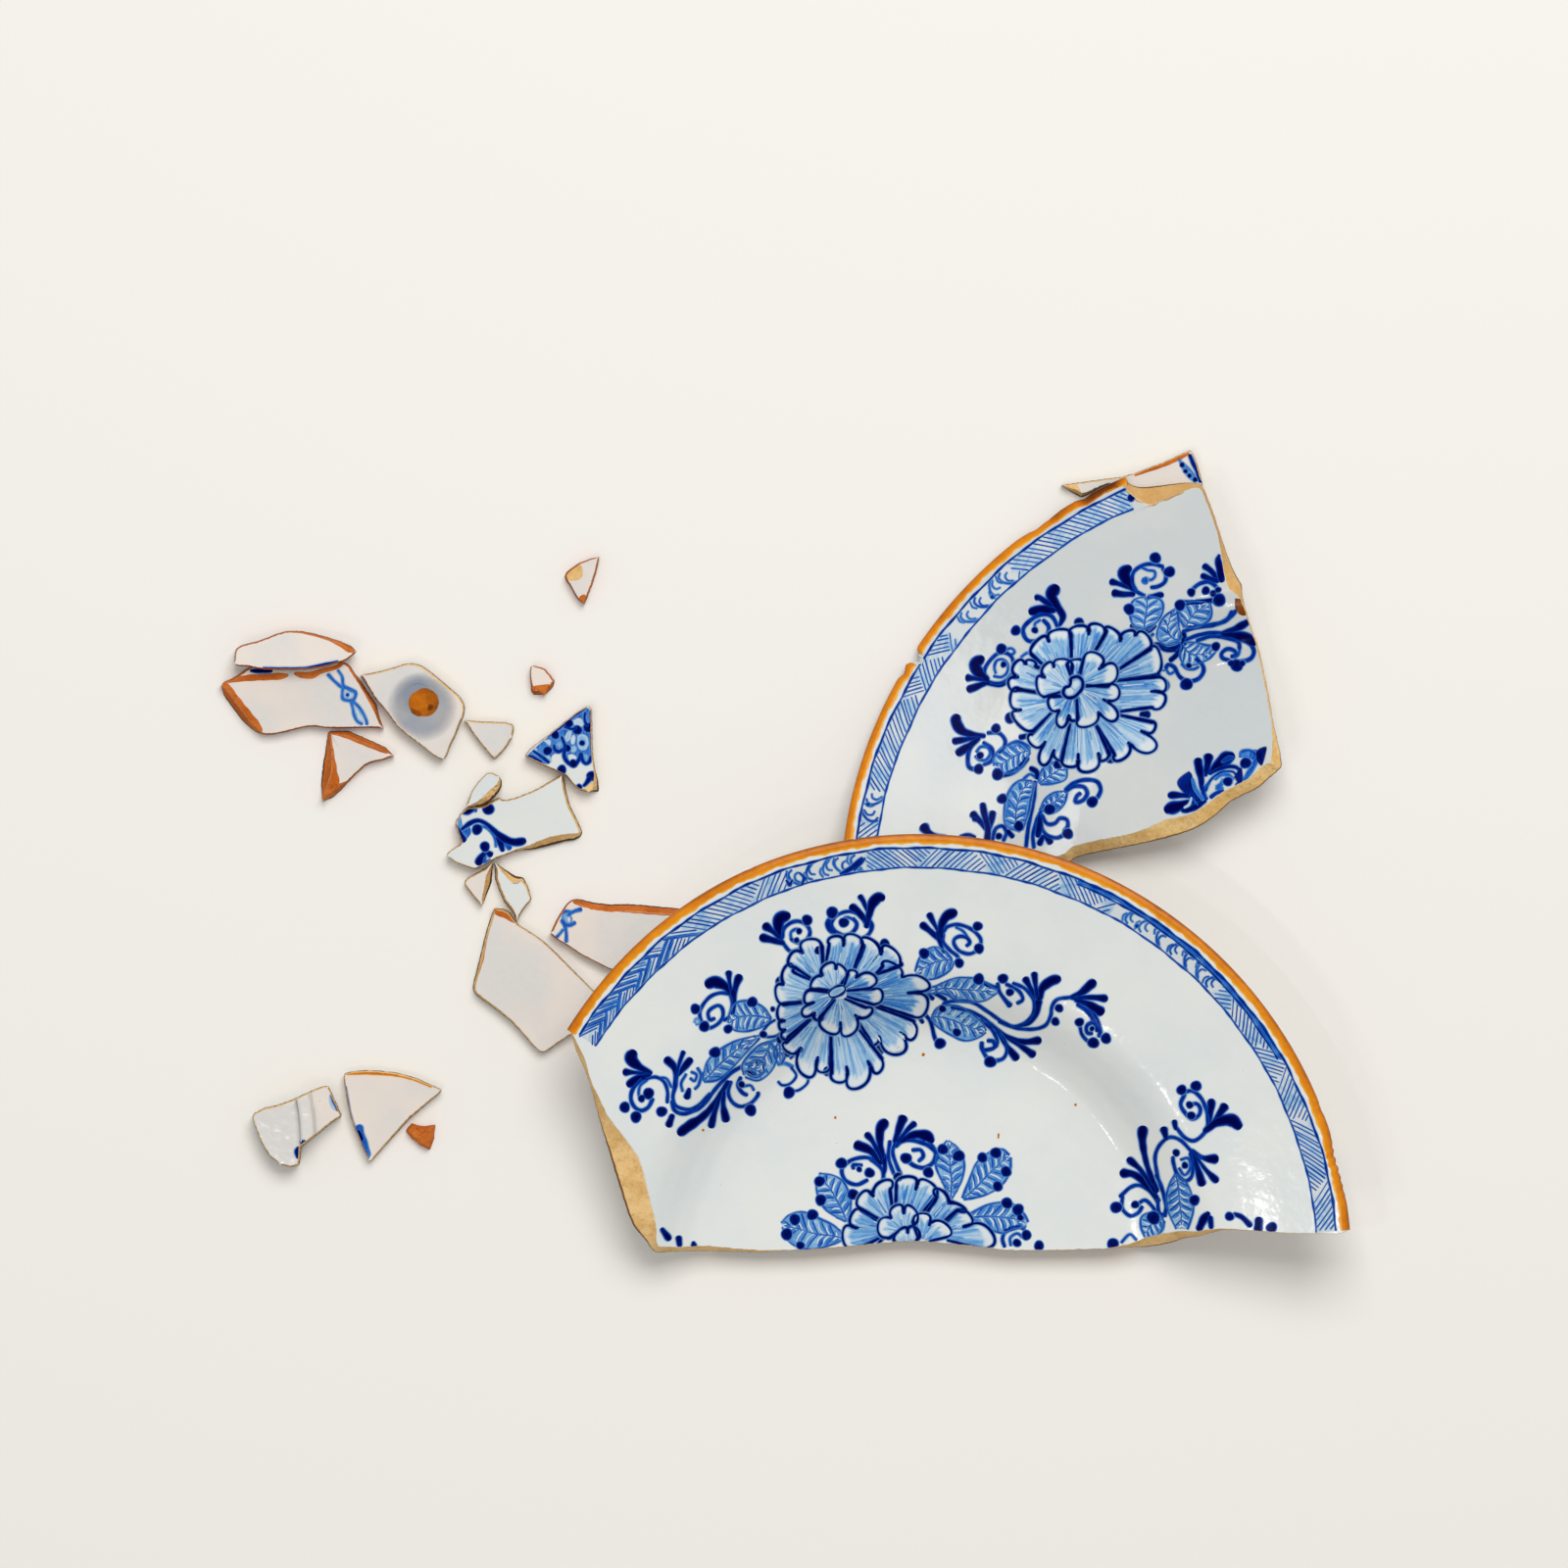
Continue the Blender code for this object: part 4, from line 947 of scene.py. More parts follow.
    def drape(
        self, name, placing, edge, side=front_height, paint=cobalt_paint, slot="cobalt_paint", lift=0.03,
        first="tone",
    ):
        """Cut the patches off at the piece's glaze edge, lay them on the glaze, each layer
        a little higher and each patch a hair above the last, and join them into one mesh."""
        border = np.asarray(edge)
        after = np.roll(border, -1, axis=0)
        points, faces, values, number = [], [], [], 0
        for order, (spots, *rest) in enumerate(self.patches):
            columns, rows = spots.shape[:2]
            rest[-1] = rest[-1] + PATCH_STEP * (order % 5)
            index = number + np.arange(columns * rows).reshape(columns, rows)
            quads = np.stack([index[:-1, :-1], index[1:, :-1], index[1:, 1:], index[:-1, 1:]], axis=-1)
            points.append(spots.reshape(-1, 2))
            faces.append(quads.reshape(-1, 4))
            values.append(np.stack([value.reshape(-1) for value in rest], axis=1))
            number += columns * rows
        points, faces, values = np.concatenate(points), np.concatenate(faces), np.concatenate(values)
        beyond = ~inside(border, points[:, 0], points[:, 1])
        stray = np.flatnonzero(beyond)
        for part in np.array_split(stray, len(stray) // 400 + 1):
            if len(part):
                off = points[part][:, None] - border[None]
                ahead = (after - border)[None]
                span = np.maximum(np.sum(ahead ** 2, axis=2), 1e-9)
                t = np.clip(np.sum(off * ahead, axis=2) / span, 0, 1)
                nearest = border[None] + ahead * t[..., None]
                pick = np.argmin(np.sum((points[part][:, None] - nearest) ** 2, axis=2), axis=1)
                points[part] = nearest[np.arange(len(part)), pick]
        faces = faces[~beyond[faces].all(axis=1)]
        z = plumb(placing, points[:, 0], points[:, 1], side)[1] + lift + LAYER_STEP * values[:, 4]
        corners = points[faces]
        doubled = np.sum(corners[:, :, 0] * np.roll(corners[:, :, 1], -1, axis=1)
                         - np.roll(corners[:, :, 0], -1, axis=1) * corners[:, :, 1], axis=1)
        faces[doubled < 0] = faces[doubled < 0][:, ::-1]
        faces = faces[np.abs(doubled) > 1e-5]
        mesh = bpy.data.meshes.new(name)
        mesh.from_pydata((np.column_stack([points, z]) * MM).tolist(), [], faces.tolist())
        carry(mesh, **dict(zip((first, "cover", "across", "along"), values.T)))
        mesh.shade_smooth()
        mesh.materials.append(paint)
        fit(in_scene(name, mesh), slot)


RING_IN, RING_OUT = 142.8, 149.9
WASH = (142.9, 149.8)
HATCH = (143.0, 149.7)
MIDWAY = 146.35
HALF_BAND = 3.35
PER_DEGREE = 2.57


def border_band(painting, placing, angles, seed, open_at=(), heavy=None, braided=(0, 0)):
    """The border near the rim, in the dish's own turn and radius: two fine rings, with
    slanting hatching between them that changes its lean every few strokes. Where it is
    open, small curled leaves take the hatching's place on the bare glaze; where it is
    braided, the groups are short and a heavy line closes each."""
    draw = np.random.default_rng(seed)

    def across_dish(radius, degrees):
        turned = np.radians(degrees)
        share = kept_radius(np.cos(turned), np.sin(turned))
        x, y = radius * share * np.cos(turned), radius * share * np.sin(turned)
        return moved(placing, x, y, front_height(radius + 0 * turned))[..., :2]

    def opened(degrees):
        return np.any([(degrees > start) & (degrees < end) for start, end in open_at or [(0, 0)]], axis=0)

    low, high = min(angles), max(angles)
    degrees = np.arange(low, high, 0.4)
    radii = np.linspace(*WASH, 11)
    spots = across_dish(radii[None] + 0 * degrees[:, None], degrees[:, None] + 0 * radii[None])
    patchy = wander(seed, degrees * PER_DEGREE, (9.0, 14.0, 23.0), 1.6)[:, None]
    patchy = patchy + wander(seed + 1, degrees[:, None] * PER_DEGREE + 2.0 * radii[None], (4.0, 7.0), 1.0)
    tones = np.where(opened(degrees)[:, None], 0.03, np.clip(0.11 + 0.10 * patchy, 0.02, 0.32))
    painting.put(spots, tones, 0.9, radii[None] * 0.8 + 0 * degrees[:, None], degrees[:, None] * 2.6, 0)
    rings = [(RING_OUT, 0.75, 0.84, low, high), (RING_IN, 0.62, 0.78, low, high)]
    if heavy:
        rings += [(149.2, 1.7, 0.58, *heavy), (148.3, 0.65, 0.86, *heavy), (RING_OUT, 0.95, 0.88, *heavy)]
    for radius, width, tone, start, end in rings:
        turned = np.arange(start, end, 0.4)
        waver = 0.12 * wander(seed + int(radius), turned * PER_DEGREE, (17.0, 41.0), 2.0)
        wide = width * (1 + 0.25 * wander(seed + 3, turned * PER_DEGREE, (6.0, 13.0), 1.5))
        path = np.column_stack([across_dish(radius + waver, turned), wide])
        painting.line(path, tone=tone, layer=6 + (tone > 0.6), ends=0.1, bleed=0.5)
    at, lean, limit = low - 2.0, 1, None
    radii = np.linspace(*HATCH, 8)
    while at < high + 1.5:
        close = braided[0] < at < braided[1]
        slant = 1.2 + 0.4 * draw.random() + 0.9 * close
        gap = 0.74 + 0.18 * draw.random()
        for n in range(int(draw.integers(3, 6) if close else draw.integers(5, 15))):
            along = at + n * gap + lean * slant * (radii - MIDWAY) / HALF_BAND + 0.05 * draw.normal()
            kept = (along > low) & (along < high) & ~opened(along)
            if limit is not None:
                kept &= along > limit + 0.3
            if np.count_nonzero(kept) > 2:
                path = across_dish(radii[kept], along[kept])
                path = np.column_stack([path, np.full(len(path), 0.36 + 0.20 * draw.random())])
                painting.line(path, tone=0.60 + 0.22 * draw.random(), layer=4, ends=0.2, bleed=0.3)
        last = at + n * gap + lean * slant * (radii - MIDWAY) / HALF_BAND
        limit = last if limit is None else np.maximum(last, limit)
        if close and np.max(last) < high - 0.5:
            path = across_dish(radii, limit + 0.5)
            thick = 0.55 + 0.35 * np.sin(np.linspace(0, 3, len(radii)))
            painting.line(np.column_stack([path, thick]), tone=0.66, layer=5, ends=0.2, bleed=0.4)
        lean = -lean if draw.random() < 0.8 else lean
        at = last.min() + slant * 0.2 + 0.2
    for start, end in open_at:
        at = start + 0.3
        while at < end - 1.4:
            side, tone = draw.choice([-1, 1]), 0.62 + 0.16 * draw.random()
            for radii, turned, wide in (((3.4, 2.6, 0.4, -1.7, -2.7), (0, 0.8, 1.5, 1.5, 0.9), 0.6),
                                        ((2.6, 1.2, -0.6, -1.2), (0.3, 0.9, 0.8, 0.2), 0.5),
                                        ((0.6, -1.0, -3.0), (1.7, 2.0, 1.7), 0.45)):
                turned = at + np.array(turned) + 0.1 * draw.normal()
                path = across_dish(MIDWAY + side * np.array(radii), turned)
                shape = wide * (0.8 + 0.5 * np.sin(np.linspace(0.3, 2.8, len(radii))))
                painting.line(np.column_stack([path, shape]), tone=tone, layer=4, bleed=0.8)
            if draw.random() < 0.35:
                spot = across_dish(np.array([MIDWAY - side * 1.6]), np.array([at + 1.8]))[0]
                painting.dot(*spot, 0.75, 0.80, 6)
            at += 2.0 + 0.8 * draw.random()


# ---------------------------------------------------------------------------
# The quarter's painting: a scalloped double peony with sprigs, curls and fans of drops
# round it, and the hatched border along the rim.

quarter_flower = Painting(31)
for blue, roots, marks in [
    (0.33, [(94.5, 65.5), (103.2, 67.5)],
     [(90.6, 69), (90.6, 75.4), (95.2, 75), (98.8, 79.6), (103, 74.3)]),
    (0.33, [(103.2, 67.5), (110, 69)],
     [(103, 74.3), (105.2, 80.8), (109.2, 77.6), (112, 81.6), (114.4, 76.6)]),
    (0.34, [(110, 69), (118.5, 64.2)],
     [(114.4, 76.6), (117.6, 80), (120.4, 75.2), (123.2, 79), (126, 77.2), (130.4, 77.4), (128.6, 70.8)]),
    (0.33, [(118.5, 64.2), (118.5, 61.2)], [(128.6, 70.8), (135, 70.4), (131, 62.8)]),
    (0.29, [(118.5, 61), (118.5, 49.8)],
     [(131, 62.3), (137.2, 59.4), (131.6, 57.3), (136.6, 53.2), (126.6, 50.9)]),
    (0.27, [(117.5, 49.5), (111.5, 46.4)],
     [(129, 47), (133.2, 44.2), (128, 43.2), (132.6, 36), (123.4, 39), (121.2, 32.8), (116.6, 38)]),
    (0.27, [(102.8, 46.6), (111.5, 46.4)],
     [(100.2, 35), (102.6, 30.2), (105.6, 35), (109.2, 28.4), (112.8, 35.3), (115, 32.6), (115.8, 37)]),
    (0.31, [(96.2, 50), (102.8, 46.6)],
     [(91.2, 44.6), (88.4, 38.6), (93.8, 39.4), (92.3, 31.2), (97, 36.4), (98.6, 32.6), (99.9, 35)]),
    (0.27, [(95, 56), (96.2, 50)], [(88, 57.4), (81.2, 55.6), (85.2, 50.8), (83.4, 46.2), (91.2, 44.9)]),
    (0.26, [(94.5, 65), (95, 56.6)],
     [(92.4, 65.6), (88.6, 68.6), (86.8, 66.9), (83, 67.6), (84.2, 62.4), (80.6, 59.4), (88, 57.4)]),
]:
    quarter_flower.petal(roots, marks, 4, blue)
for blue, roots, marks in [
    (0.22, [(102.6, 61), (100.8, 57.6)],
     [(103, 63.6), (100, 69), (97, 66), (93.8, 67), (93.8, 62.3), (90.6, 59.6), (95.4, 55.9)]),
    (0.42, [(103.2, 62), (105.6, 62.6)], [(102, 65.5), (104.5, 68.8), (106.8, 66.6)]),
    (0.34, [(106, 62), (107.4, 59.6)],
     [(106.8, 66), (112.2, 71), (112.8, 65.2), (119.6, 65.2), (112.4, 59.3)]),
    (0.31, [(107.2, 59), (105, 56.4)],
     [(111, 59.3), (120.4, 57.4), (114.4, 54.5), (119.4, 47.4), (112.6, 50), (108.6, 44.6), (105.2, 51)]),
    (0.40, [(101.4, 55.6), (104.6, 56)],
     [(99.4, 55.6), (94.8, 52.6), (98.9, 50.7), (98.8, 44.6), (102.3, 48.9), (104.6, 46.9), (105.2, 51)]),
]:
    quarter_flower.petal(roots, marks, 9, blue, 0.98)
for tones, layer, outline in [
    ((0.3, 0.3), 13, [(103, 61.6), (106.4, 62), (107, 58.8), (104.6, 55.8), (101, 55.6), (100.6, 58.2)]),
    ((0.05, 0.2), 14, [(103.4, 61), (105.6, 61.4), (106.2, 59.8), (104.6, 58), (103.2, 59)]),
    ((0.05, 0.16), 14, [(101, 57.8), (102.6, 58.8), (104.2, 57.4), (103.4, 56.2), (101.6, 56)]),
]:
    quarter_flower.blot(outline, tones=tones, layer=layer)
quarter_flower.line([
    (102.9, 60.4), (103, 62), (105.3, 62.6), (107, 61.2), (107, 58.6), (105.4, 56.4), (103.7, 55.2),
    (101.6, 55.1), (100.2, 56.6), (100.7, 58.6), (102.3, 59.2), (102.9, 60.4),
], 1.2, 0.98, 15)
quarter_flower.dots(
    (105.9, 82, 1.8), (81.2, 47.8, 2.0), (98.3, 31.2, 1.7), (117, 33.5, 2.0), (129.5, 48.8, 2.0),
)
quarter_flower.strokes(
    [(131.5, 63.5), (137, 61), (137.5, 58.5), (134, 57.3)],
    [(131, 72.2, 1.0), (134, 73.5, 2.0), (137, 72.2, 1.6), (141, 71.8, 0.8)],
    [(134, 65.2, 0.6), (136.5, 64.8, 0.6)],
    tone=0.90,
)

quarter_sprigs = Painting(32)
quarter_sprigs.drops(
    [(99, 81, 1.2), (100, 84.5, 2.4), (97.5, 88.5, 3), (96, 92, 4), (97.5, 94.5, 4.4)],
    [(96, 88, 2), (92, 90.8, 2), (90.5, 91, 2.4)],
    [(97, 86.5, 2.4), (92, 86.8, 3), (88.5, 85.8, 2.8)],
    [(73, 61.5, 2.4), (70, 64, 4), (68.5, 67, 4.6), (71, 69.2, 3.4)],
    [(71.5, 61.5, 1.4), (68.5, 62, 1.6), (65.8, 62.2, 2.8)],
    [(72.5, 60.5, 2), (69, 59, 2.4), (66.3, 58, 3)],
    [(72, 41.3, 1.6), (67, 42, 2.4), (63.5, 43.5, 3.6), (61.7, 46.5, 4.2), (62, 48.3, 3.4)],
    [(70, 40.8, 1.4), (66, 40.2, 1.8), (61, 39.4, 2.8)],
    [(70, 40.5, 1.6), (66, 37.5, 2.6), (62.5, 35.2, 3.4)],
    [(72.9, 4, 2.2), (73, 8.5, 2.2), (71.8, 13.5, 2.2), (71.2, 16.9, 2.2)],
    [(73.6, 8, 1.4), (74.4, 11.5, 2), (74.8, 14, 2.4)],
    [(72.2, 8, 1.6), (70.2, 10.8, 2), (67.6, 13.4, 3)],
    [(69.4, 11.2, 1.4), (68, 11.6, 2.2)],
    [(50, 8.8, 3.8), (51.8, 6.8, 2), (54.5, 5.8, 1), (58, 5.4, 0.8)],
    [(63, 5.3, 1.0), (66, 5.9, 1.4), (68.6, 5.1, 0.9)],
    [(126, 93.5, 2.2), (123.3, 96.5, 4), (121.9, 99.8, 4.4), (123.8, 101.6, 3.4)],
    [(123.5, 94.5, 1.4), (120.5, 95.8, 1.8), (117.4, 96.7, 2.6)],
    [(125.5, 92.2, 2), (121.5, 92.2, 2), (118.3, 92.6, 3.0)],
    [(130.5, 91.2, 1.4), (133.5, 91.6, 2.2), (135.6, 92, 2.4)],
    [(156.8, 97, 2.6), (156.3, 101, 2.8), (155.6, 104.2, 2.2), (156, 106.3, 0.8)],
    [(156, 97, 1.8), (153, 100.5, 2), (150.6, 102.3, 2.3)],
    [(155.5, 96.8, 1.8), (152.5, 97.8, 2), (149.9, 98.8, 2.3)],
    [(157, 78.3, 1.4), (161, 79.4, 2.4), (164.5, 81.1, 3), (166.5, 82.4, 2.2)],
    [(157, 77.8, 1.4), (162, 77.3, 3), (166, 76.4, 4), (168.6, 74.5, 3)],
    [(91.6, 13, 1.2), (91.6, 9, 2.4), (91, 5.4, 2.0)],
    [(93, 5.6, 1.4), (91.6, 2.6, 2.6)], [(93.4, 5.8, 1.4), (95.6, 3.2, 2.8)],
    [(149, 18.6, 1.6), (145, 17.4, 2.2), (142, 16.4, 3.6), (138.8, 15.4, 4.6), (137.2, 14.8, 3.6)],
    [(146.5, 19.4, 1.0), (143.5, 20, 1.8), (140, 20.1, 2.6), (138.2, 20, 2.6)],
    [(149.6, 22, 1.2), (149.5, 26, 2.4), (148.8, 30, 3.2), (148.4, 32.6, 3.4)],
    [(151, 27, 1.2), (151.5, 29, 2), (151.9, 31.6, 2.6), (152.2, 34.2, 3.4)],
    [(152.5, 27.8, 1.6), (155, 30.4, 3.4), (158, 33, 5.0), (160.4, 34.2, 4.2)],
    [(142.6, 14.5, 1.4), (144.8, 14.9, 2.2), (147.8, 16.2, 2.4), (151, 18.2, 1.4)],
    [(152.8, 28, 1.0), (155.5, 29.3, 1.5), (158.6, 30.3, 1.6), (161.6, 30.2, 1.4), (163.4, 29, 1.2)],
)
for tones, layer, outline in [
    ((0.94, 0.84), 2,
     [(145.2, 28.7), (143.4, 27.6), (141.4, 25.8), (141, 24), (142.4, 21.8), (144.6, 20.2), (148.4, 18.4),
      (149.4, 18.6), (148, 20.6), (147.2, 22.8), (146.6, 25.8), (146.2, 27.6)]),
    ((0.94, 0.9), 3,
     [(161.2, 26.6), (162.4, 28.6), (163.8, 30.2), (164.3, 27.6), (164.3, 25), (163.6, 23.8),
      (162.6, 24.4)]),
    ((0.97, 0.94), 3,
     [(169, 34.8), (170, 36.6), (172.8, 37.4), (172.4, 34.4), (171.2, 30.8), (170, 31.6), (169.4, 33)]),
    ((0.44, 0.6), 1,
     [(163, 33.6), (163.2, 35.6), (164.6, 36.6), (167, 36.3), (169.4, 36.4), (169.2, 34.4), (168.4, 32.8),
      (166, 33.4)]),
]:
    quarter_sprigs.blot(outline, tones=tones, layer=layer)
quarter_sprigs.line([(146.4, 26, 1.0), (147.4, 22.4, 1.5), (150.2, 18.4, 1.2)], tone=0.56, layer=3)
quarter_sprigs.line(
    [(143.4, 15.6, 0.6), (145.2, 16.8, 0.9), (146, 19.2, 0.6)], tone=0.2, layer=4, bleed=0.5,
)
quarter_sprigs.line([(157, 32, 1.4), (159.4, 33.4, 2.0), (161, 33.6, 1.0)], tone=0.74, layer=3)
quarter_sprigs.strokes(
    [(98.5, 80), (96, 84.3), (92, 84.8), (88, 82.5), (85.8, 79.5), (87, 76), (90, 75.3), (94, 77),
     (95, 80.5), (93, 83)],
    [(72.5, 61.5), (72, 65), (74, 68.5), (77, 71), (80, 71), (82, 69), (82.3, 65.5), (81, 62.5), (78, 60.3),
     (74, 60.4)],
    [(69, 40), (66.6, 36.5), (65.9, 33), (66.4, 30.2), (68.5, 29.2)],
    [(73, 42.4), (77, 42.4), (79.2, 40), (79, 37.5), (77.2, 35.4)],
    [(71.5, 39), (74.4, 37), (75, 34), (73.9, 32), (71.6, 31)],
    [(136, 102), (132, 103), (128.3, 102.4), (125.4, 100), (124.9, 96.5), (126.2, 93.4), (129.5, 91.5)],
    [(135.9, 101.3), (137, 99), (136.4, 96.4), (134, 94.9), (131.6, 94.6)],
    [(144, 75.8), (149, 77.6), (154, 78.4), (158, 78.0)],
    [(148, 75.5), (153, 77), (158, 76.6), (162.8, 75), (163.4, 72.6)],
    [(163, 76.2), (166.4, 75), (168.3, 72.6), (168.2, 70.2), (166.5, 68.6), (163, 68)],
    [(160, 68.4), (157.4, 69.2), (157, 71), (159, 72.5), (161.5, 71.9), (162.1, 70.3), (160.4, 69.8)],
    [(145, 80.2), (151, 80.9), (157, 82), (160.4, 84.3), (161.9, 86.2)],
    [(143, 78.8), (148, 80.2), (154, 81), (158.6, 83), (160.6, 86)],
    [(137, 65.6), (137.8, 66.9), (140, 66), (142, 62.6), (145, 61), (148.6, 61.8), (150.5, 64.5), (150, 67),
     (147.8, 69)],
    [(145.8, 92.4), (147.2, 94.6), (149.5, 96.1), (152.4, 96.4), (155, 94.6), (154.8, 92)],
    [(101, 22), (104, 24.4), (108, 25.6), (112.2, 25), (113.6, 22), (112.4, 19)],
    [(100.8, 21.4), (104, 23.2), (107.6, 23), (108.8, 20.6), (107.2, 18.2), (104.6, 17.6), (105, 19.6),
     (106.4, 20.8)],
    [(92.5, 13), (94, 10.2), (95.6, 9.6), (97.5, 10.2), (99, 11.8), (101.4, 11.3), (101.8, 9),
     (100.4, 7.2)],
    [(92, 12), (92.6, 8), (94.6, 5.6), (98, 4.8), (100.6, 6)],
    [(86.8, 1.6), (87.5, 8), (88.5, 13), (89.8, 20), (90, 25)],
    [(89.6, 1.2), (89.3, 6), (91, 12), (93.6, 16.5)],
    [(74.8, 4.2), (75.8, 8), (78.4, 9), (79.7, 6.6), (78.6, 3.8)],
    [(150.1, 23), (150.3, 20.4), (151.4, 18.6)], [(152.8, 19.3), (155, 20.9), (157.4, 21.5)],
    [(151.1, 21.6, 0.8), (152.8, 25.4, 0.8), (156.4, 28.2, 0.8), (160.4, 28.6, 0.7), (162, 27.4, 0.6)],
    [(162, 23.6, 1.4), (163.6, 24.4, 1.6)], width=1.35, tone=0.80,
)
quarter_sprigs.strokes(
    [(154.4, 25.7, 0.8), (156.4, 27.3, 1.3), (158.8, 27.4, 1.4), (161, 25.8, 1.0)],
    [(157.4, 25.8, 1.0), (156.6, 24, 1.4), (155, 22.7, 1.2), (157.2, 22.4, 1.2)],
    [(169.4, 33.4, 1.8), (168, 30.4, 2.0), (166.2, 27.6, 1.8), (164.9, 25.6, 1.4)],
    [(167, 33.8, 1.0), (167.4, 35.4, 1.0)],
    tone=0.62, layer=2,
)
quarter_sprigs.strokes(
    [(92, 83), (90, 81.5), (90.5, 79.5)],
    [(75.2, 62.8), (78, 62.5), (80, 64), (80.3, 67), (78.5, 68.8), (76.3, 68.3), (75.5, 66), (76, 63.8)],
    [(79, 72), (81.5, 72.8), (82.8, 71.5), (81.6, 70.4)], [(85, 69.5), (87, 71), (89.5, 71.3)],
    [(69, 35.5), (70.5, 37.4), (73, 37.2), (74, 35), (72.5, 32.8), (70, 32.8), (68.6, 34.2)],
    [(128.3, 101.8), (130.5, 100.8), (132.8, 100.4), (133, 98.5), (131.5, 97.3), (129.6, 98)],
    [(150, 76.2), (156, 78.2), (161, 76.6), (163.2, 73.6), (163, 70.6), (161.2, 69.2)],
    [(142.5, 67.2), (144.5, 65.5), (147, 65.3), (148.8, 66.2)], [(137, 65.3), (138.4, 63.6), (140.2, 64.5)],
    [(131.6, 74), (131, 76.4), (132.6, 78)], [(164, 35.5), (166.4, 36.2), (168.5, 35), (168.1, 33)],
    [(151, 19.6), (150.6, 22.4), (152.4, 24.6)], [(144.6, 20.6), (146.6, 18.6), (148.2, 16.6)],
    [(81, 38.5), (84, 39.4), (88, 37.6)], [(85.8, 25.8), (88.2, 27.6), (90.4, 26.4)],
    width=0.9, tone=0.70,
)
quarter_sprigs.strokes(
    [(131.8, 73.5), (134.5, 74), (138, 72.4), (142.5, 73.8)], [(143.2, 78.4), (143.5, 75.6), (143, 73.4)],
    [(143, 74), (141, 70.6), (138.6, 68.4)], [(143, 89.1), (146.5, 89.2), (150, 89.5), (154.5, 90)],
    [(124.6, 81), (127.5, 79.2), (130.6, 78.9), (133, 81)],
    [(76.5, 27.5), (80, 27.6), (84, 29.6), (87.4, 33.4)], [(84.6, 40.8), (88.4, 41.4), (90, 40.4)],
    [(80.2, 7.2), (82, 5.2)], [(88.4, 29.8), (90.6, 28.4), (90.8, 26.2)],
    [(72.6, 60.6), (77, 59.7), (80, 60.9)], width=1.9, tone=0.92,
)
for tone, veins, one, other in [
    (0.34, 5, [(128, 79.4), (125, 81.6), (124.1, 86), (125.4, 90), (129.6, 91.4)],
     [(130.6, 79.4), (134.4, 83), (136, 87), (135, 90.2), (130.4, 91.6)]),
    (0.34, 5, [(142, 75), (138, 73.8), (134.4, 75.6), (133.8, 78.4), (136, 83.6), (140.4, 87)],
     [(142.8, 76.6), (141.8, 79.6), (141.4, 83), (141, 87)]),
    (0.42, 5, [(143.4, 80.2), (141.6, 84), (142, 88), (146, 89.4), (151.6, 89.4)],
     [(144.6, 80), (148.6, 80.4), (152.4, 82.8), (153.4, 86), (152.6, 89.4)]),
    (0.34, 6, [(142.6, 74), (142, 70), (144, 66.6), (148.4, 67.2), (152.4, 69), (155, 71.8)],
     [(143.6, 75), (147.6, 74.9), (152, 73.8), (155.4, 74)]),
    (0.40, 6, [(88.6, 37), (83, 38.9), (77.6, 36.6), (75.2, 33.4), (75.2, 30.6)],
     [(88.4, 35.4), (85, 30), (80.4, 27.8), (77, 28.6)]),
    (0.44, 7, [(84.6, 7), (79.8, 9), (78.8, 13.4), (80.2, 20.6), (84.2, 25.2), (89, 25.2)],
     [(85.6, 7.6), (87.4, 13), (88.6, 19), (89.8, 24.6)]),
    (0.36, 5, [(91, 24.6), (92.2, 28.6), (95.4, 31.8), (100, 31.4)],
     [(92, 24), (97, 24.3), (101.2, 26), (101.4, 30.4)]),
    (0.50, 5, [(91.6, 14.8), (93.6, 18.6), (97, 21), (101.4, 21.6)],
     [(93, 14.4), (97.2, 13.9), (100.6, 17), (101.6, 21)]),
]:
    quarter_sprigs.leaf(one, other, tone=tone, veins=veins)
quarter_sprigs.dots(
    (83.2, 79.2, 1.8), (78, 72.6, 1.9), (76, 44, 1.7), (90, 79.3, 1.2), (78.8, 67, 1.1), (70.3, 34.3, 1.3),
    (69.8, 29.5, 1.8), (76.6, 27.6, 2.1), (78.2, 18.8, 1.8), (84.2, 9, 1.8), (95.3, 15, 2.0),
    (110.6, 17.7, 2.0), (101.8, 6.3, 1.9), (77, 5.4, 1.2), (133.2, 105.2, 2.0), (138.2, 100.2, 2.0),
    (123.8, 86.8, 2.0), (142, 88.2, 2.0), (156, 90, 2.3), (151.2, 93.4, 1.5), (153.8, 92.4, 1.2),
    (155.6, 93.7, 1.1), (146, 92.8, 1.5), (162.3, 66.6, 2.2), (160.4, 67.4, 1.2), (164.4, 67.4, 1.1),
    (144.4, 59.9, 2.2), (154.9, 73.4, 1.6), (145.2, 66.6, 1.0), (165.4, 31.6, 2.0), (159, 25, 1.7),
)
quarter_sprigs.dot(129.5, 97, 1.3, tone=0.66)

quarter_border = Painting(33)
border_band(quarter_border, quarter_placing, (-124.2, -56.5), 35, open_at=[(-104.5, -92.5), (-67.5, -63)])
quarter_border.dots((124.6, 126.8, 1.4))

for painting, name in ((quarter_flower, "quarter_flower"), (quarter_sprigs, "quarter_sprigs"),
                       (quarter_border, "quarter_border")):
    painting.drape(name, *quarter_top)


# ---------------------------------------------------------------------------
# The half's painting: two peonies, one whole and one cut by the break, with sprigs,
# leaves and fans of drops between them, and the hatched border along the rim.

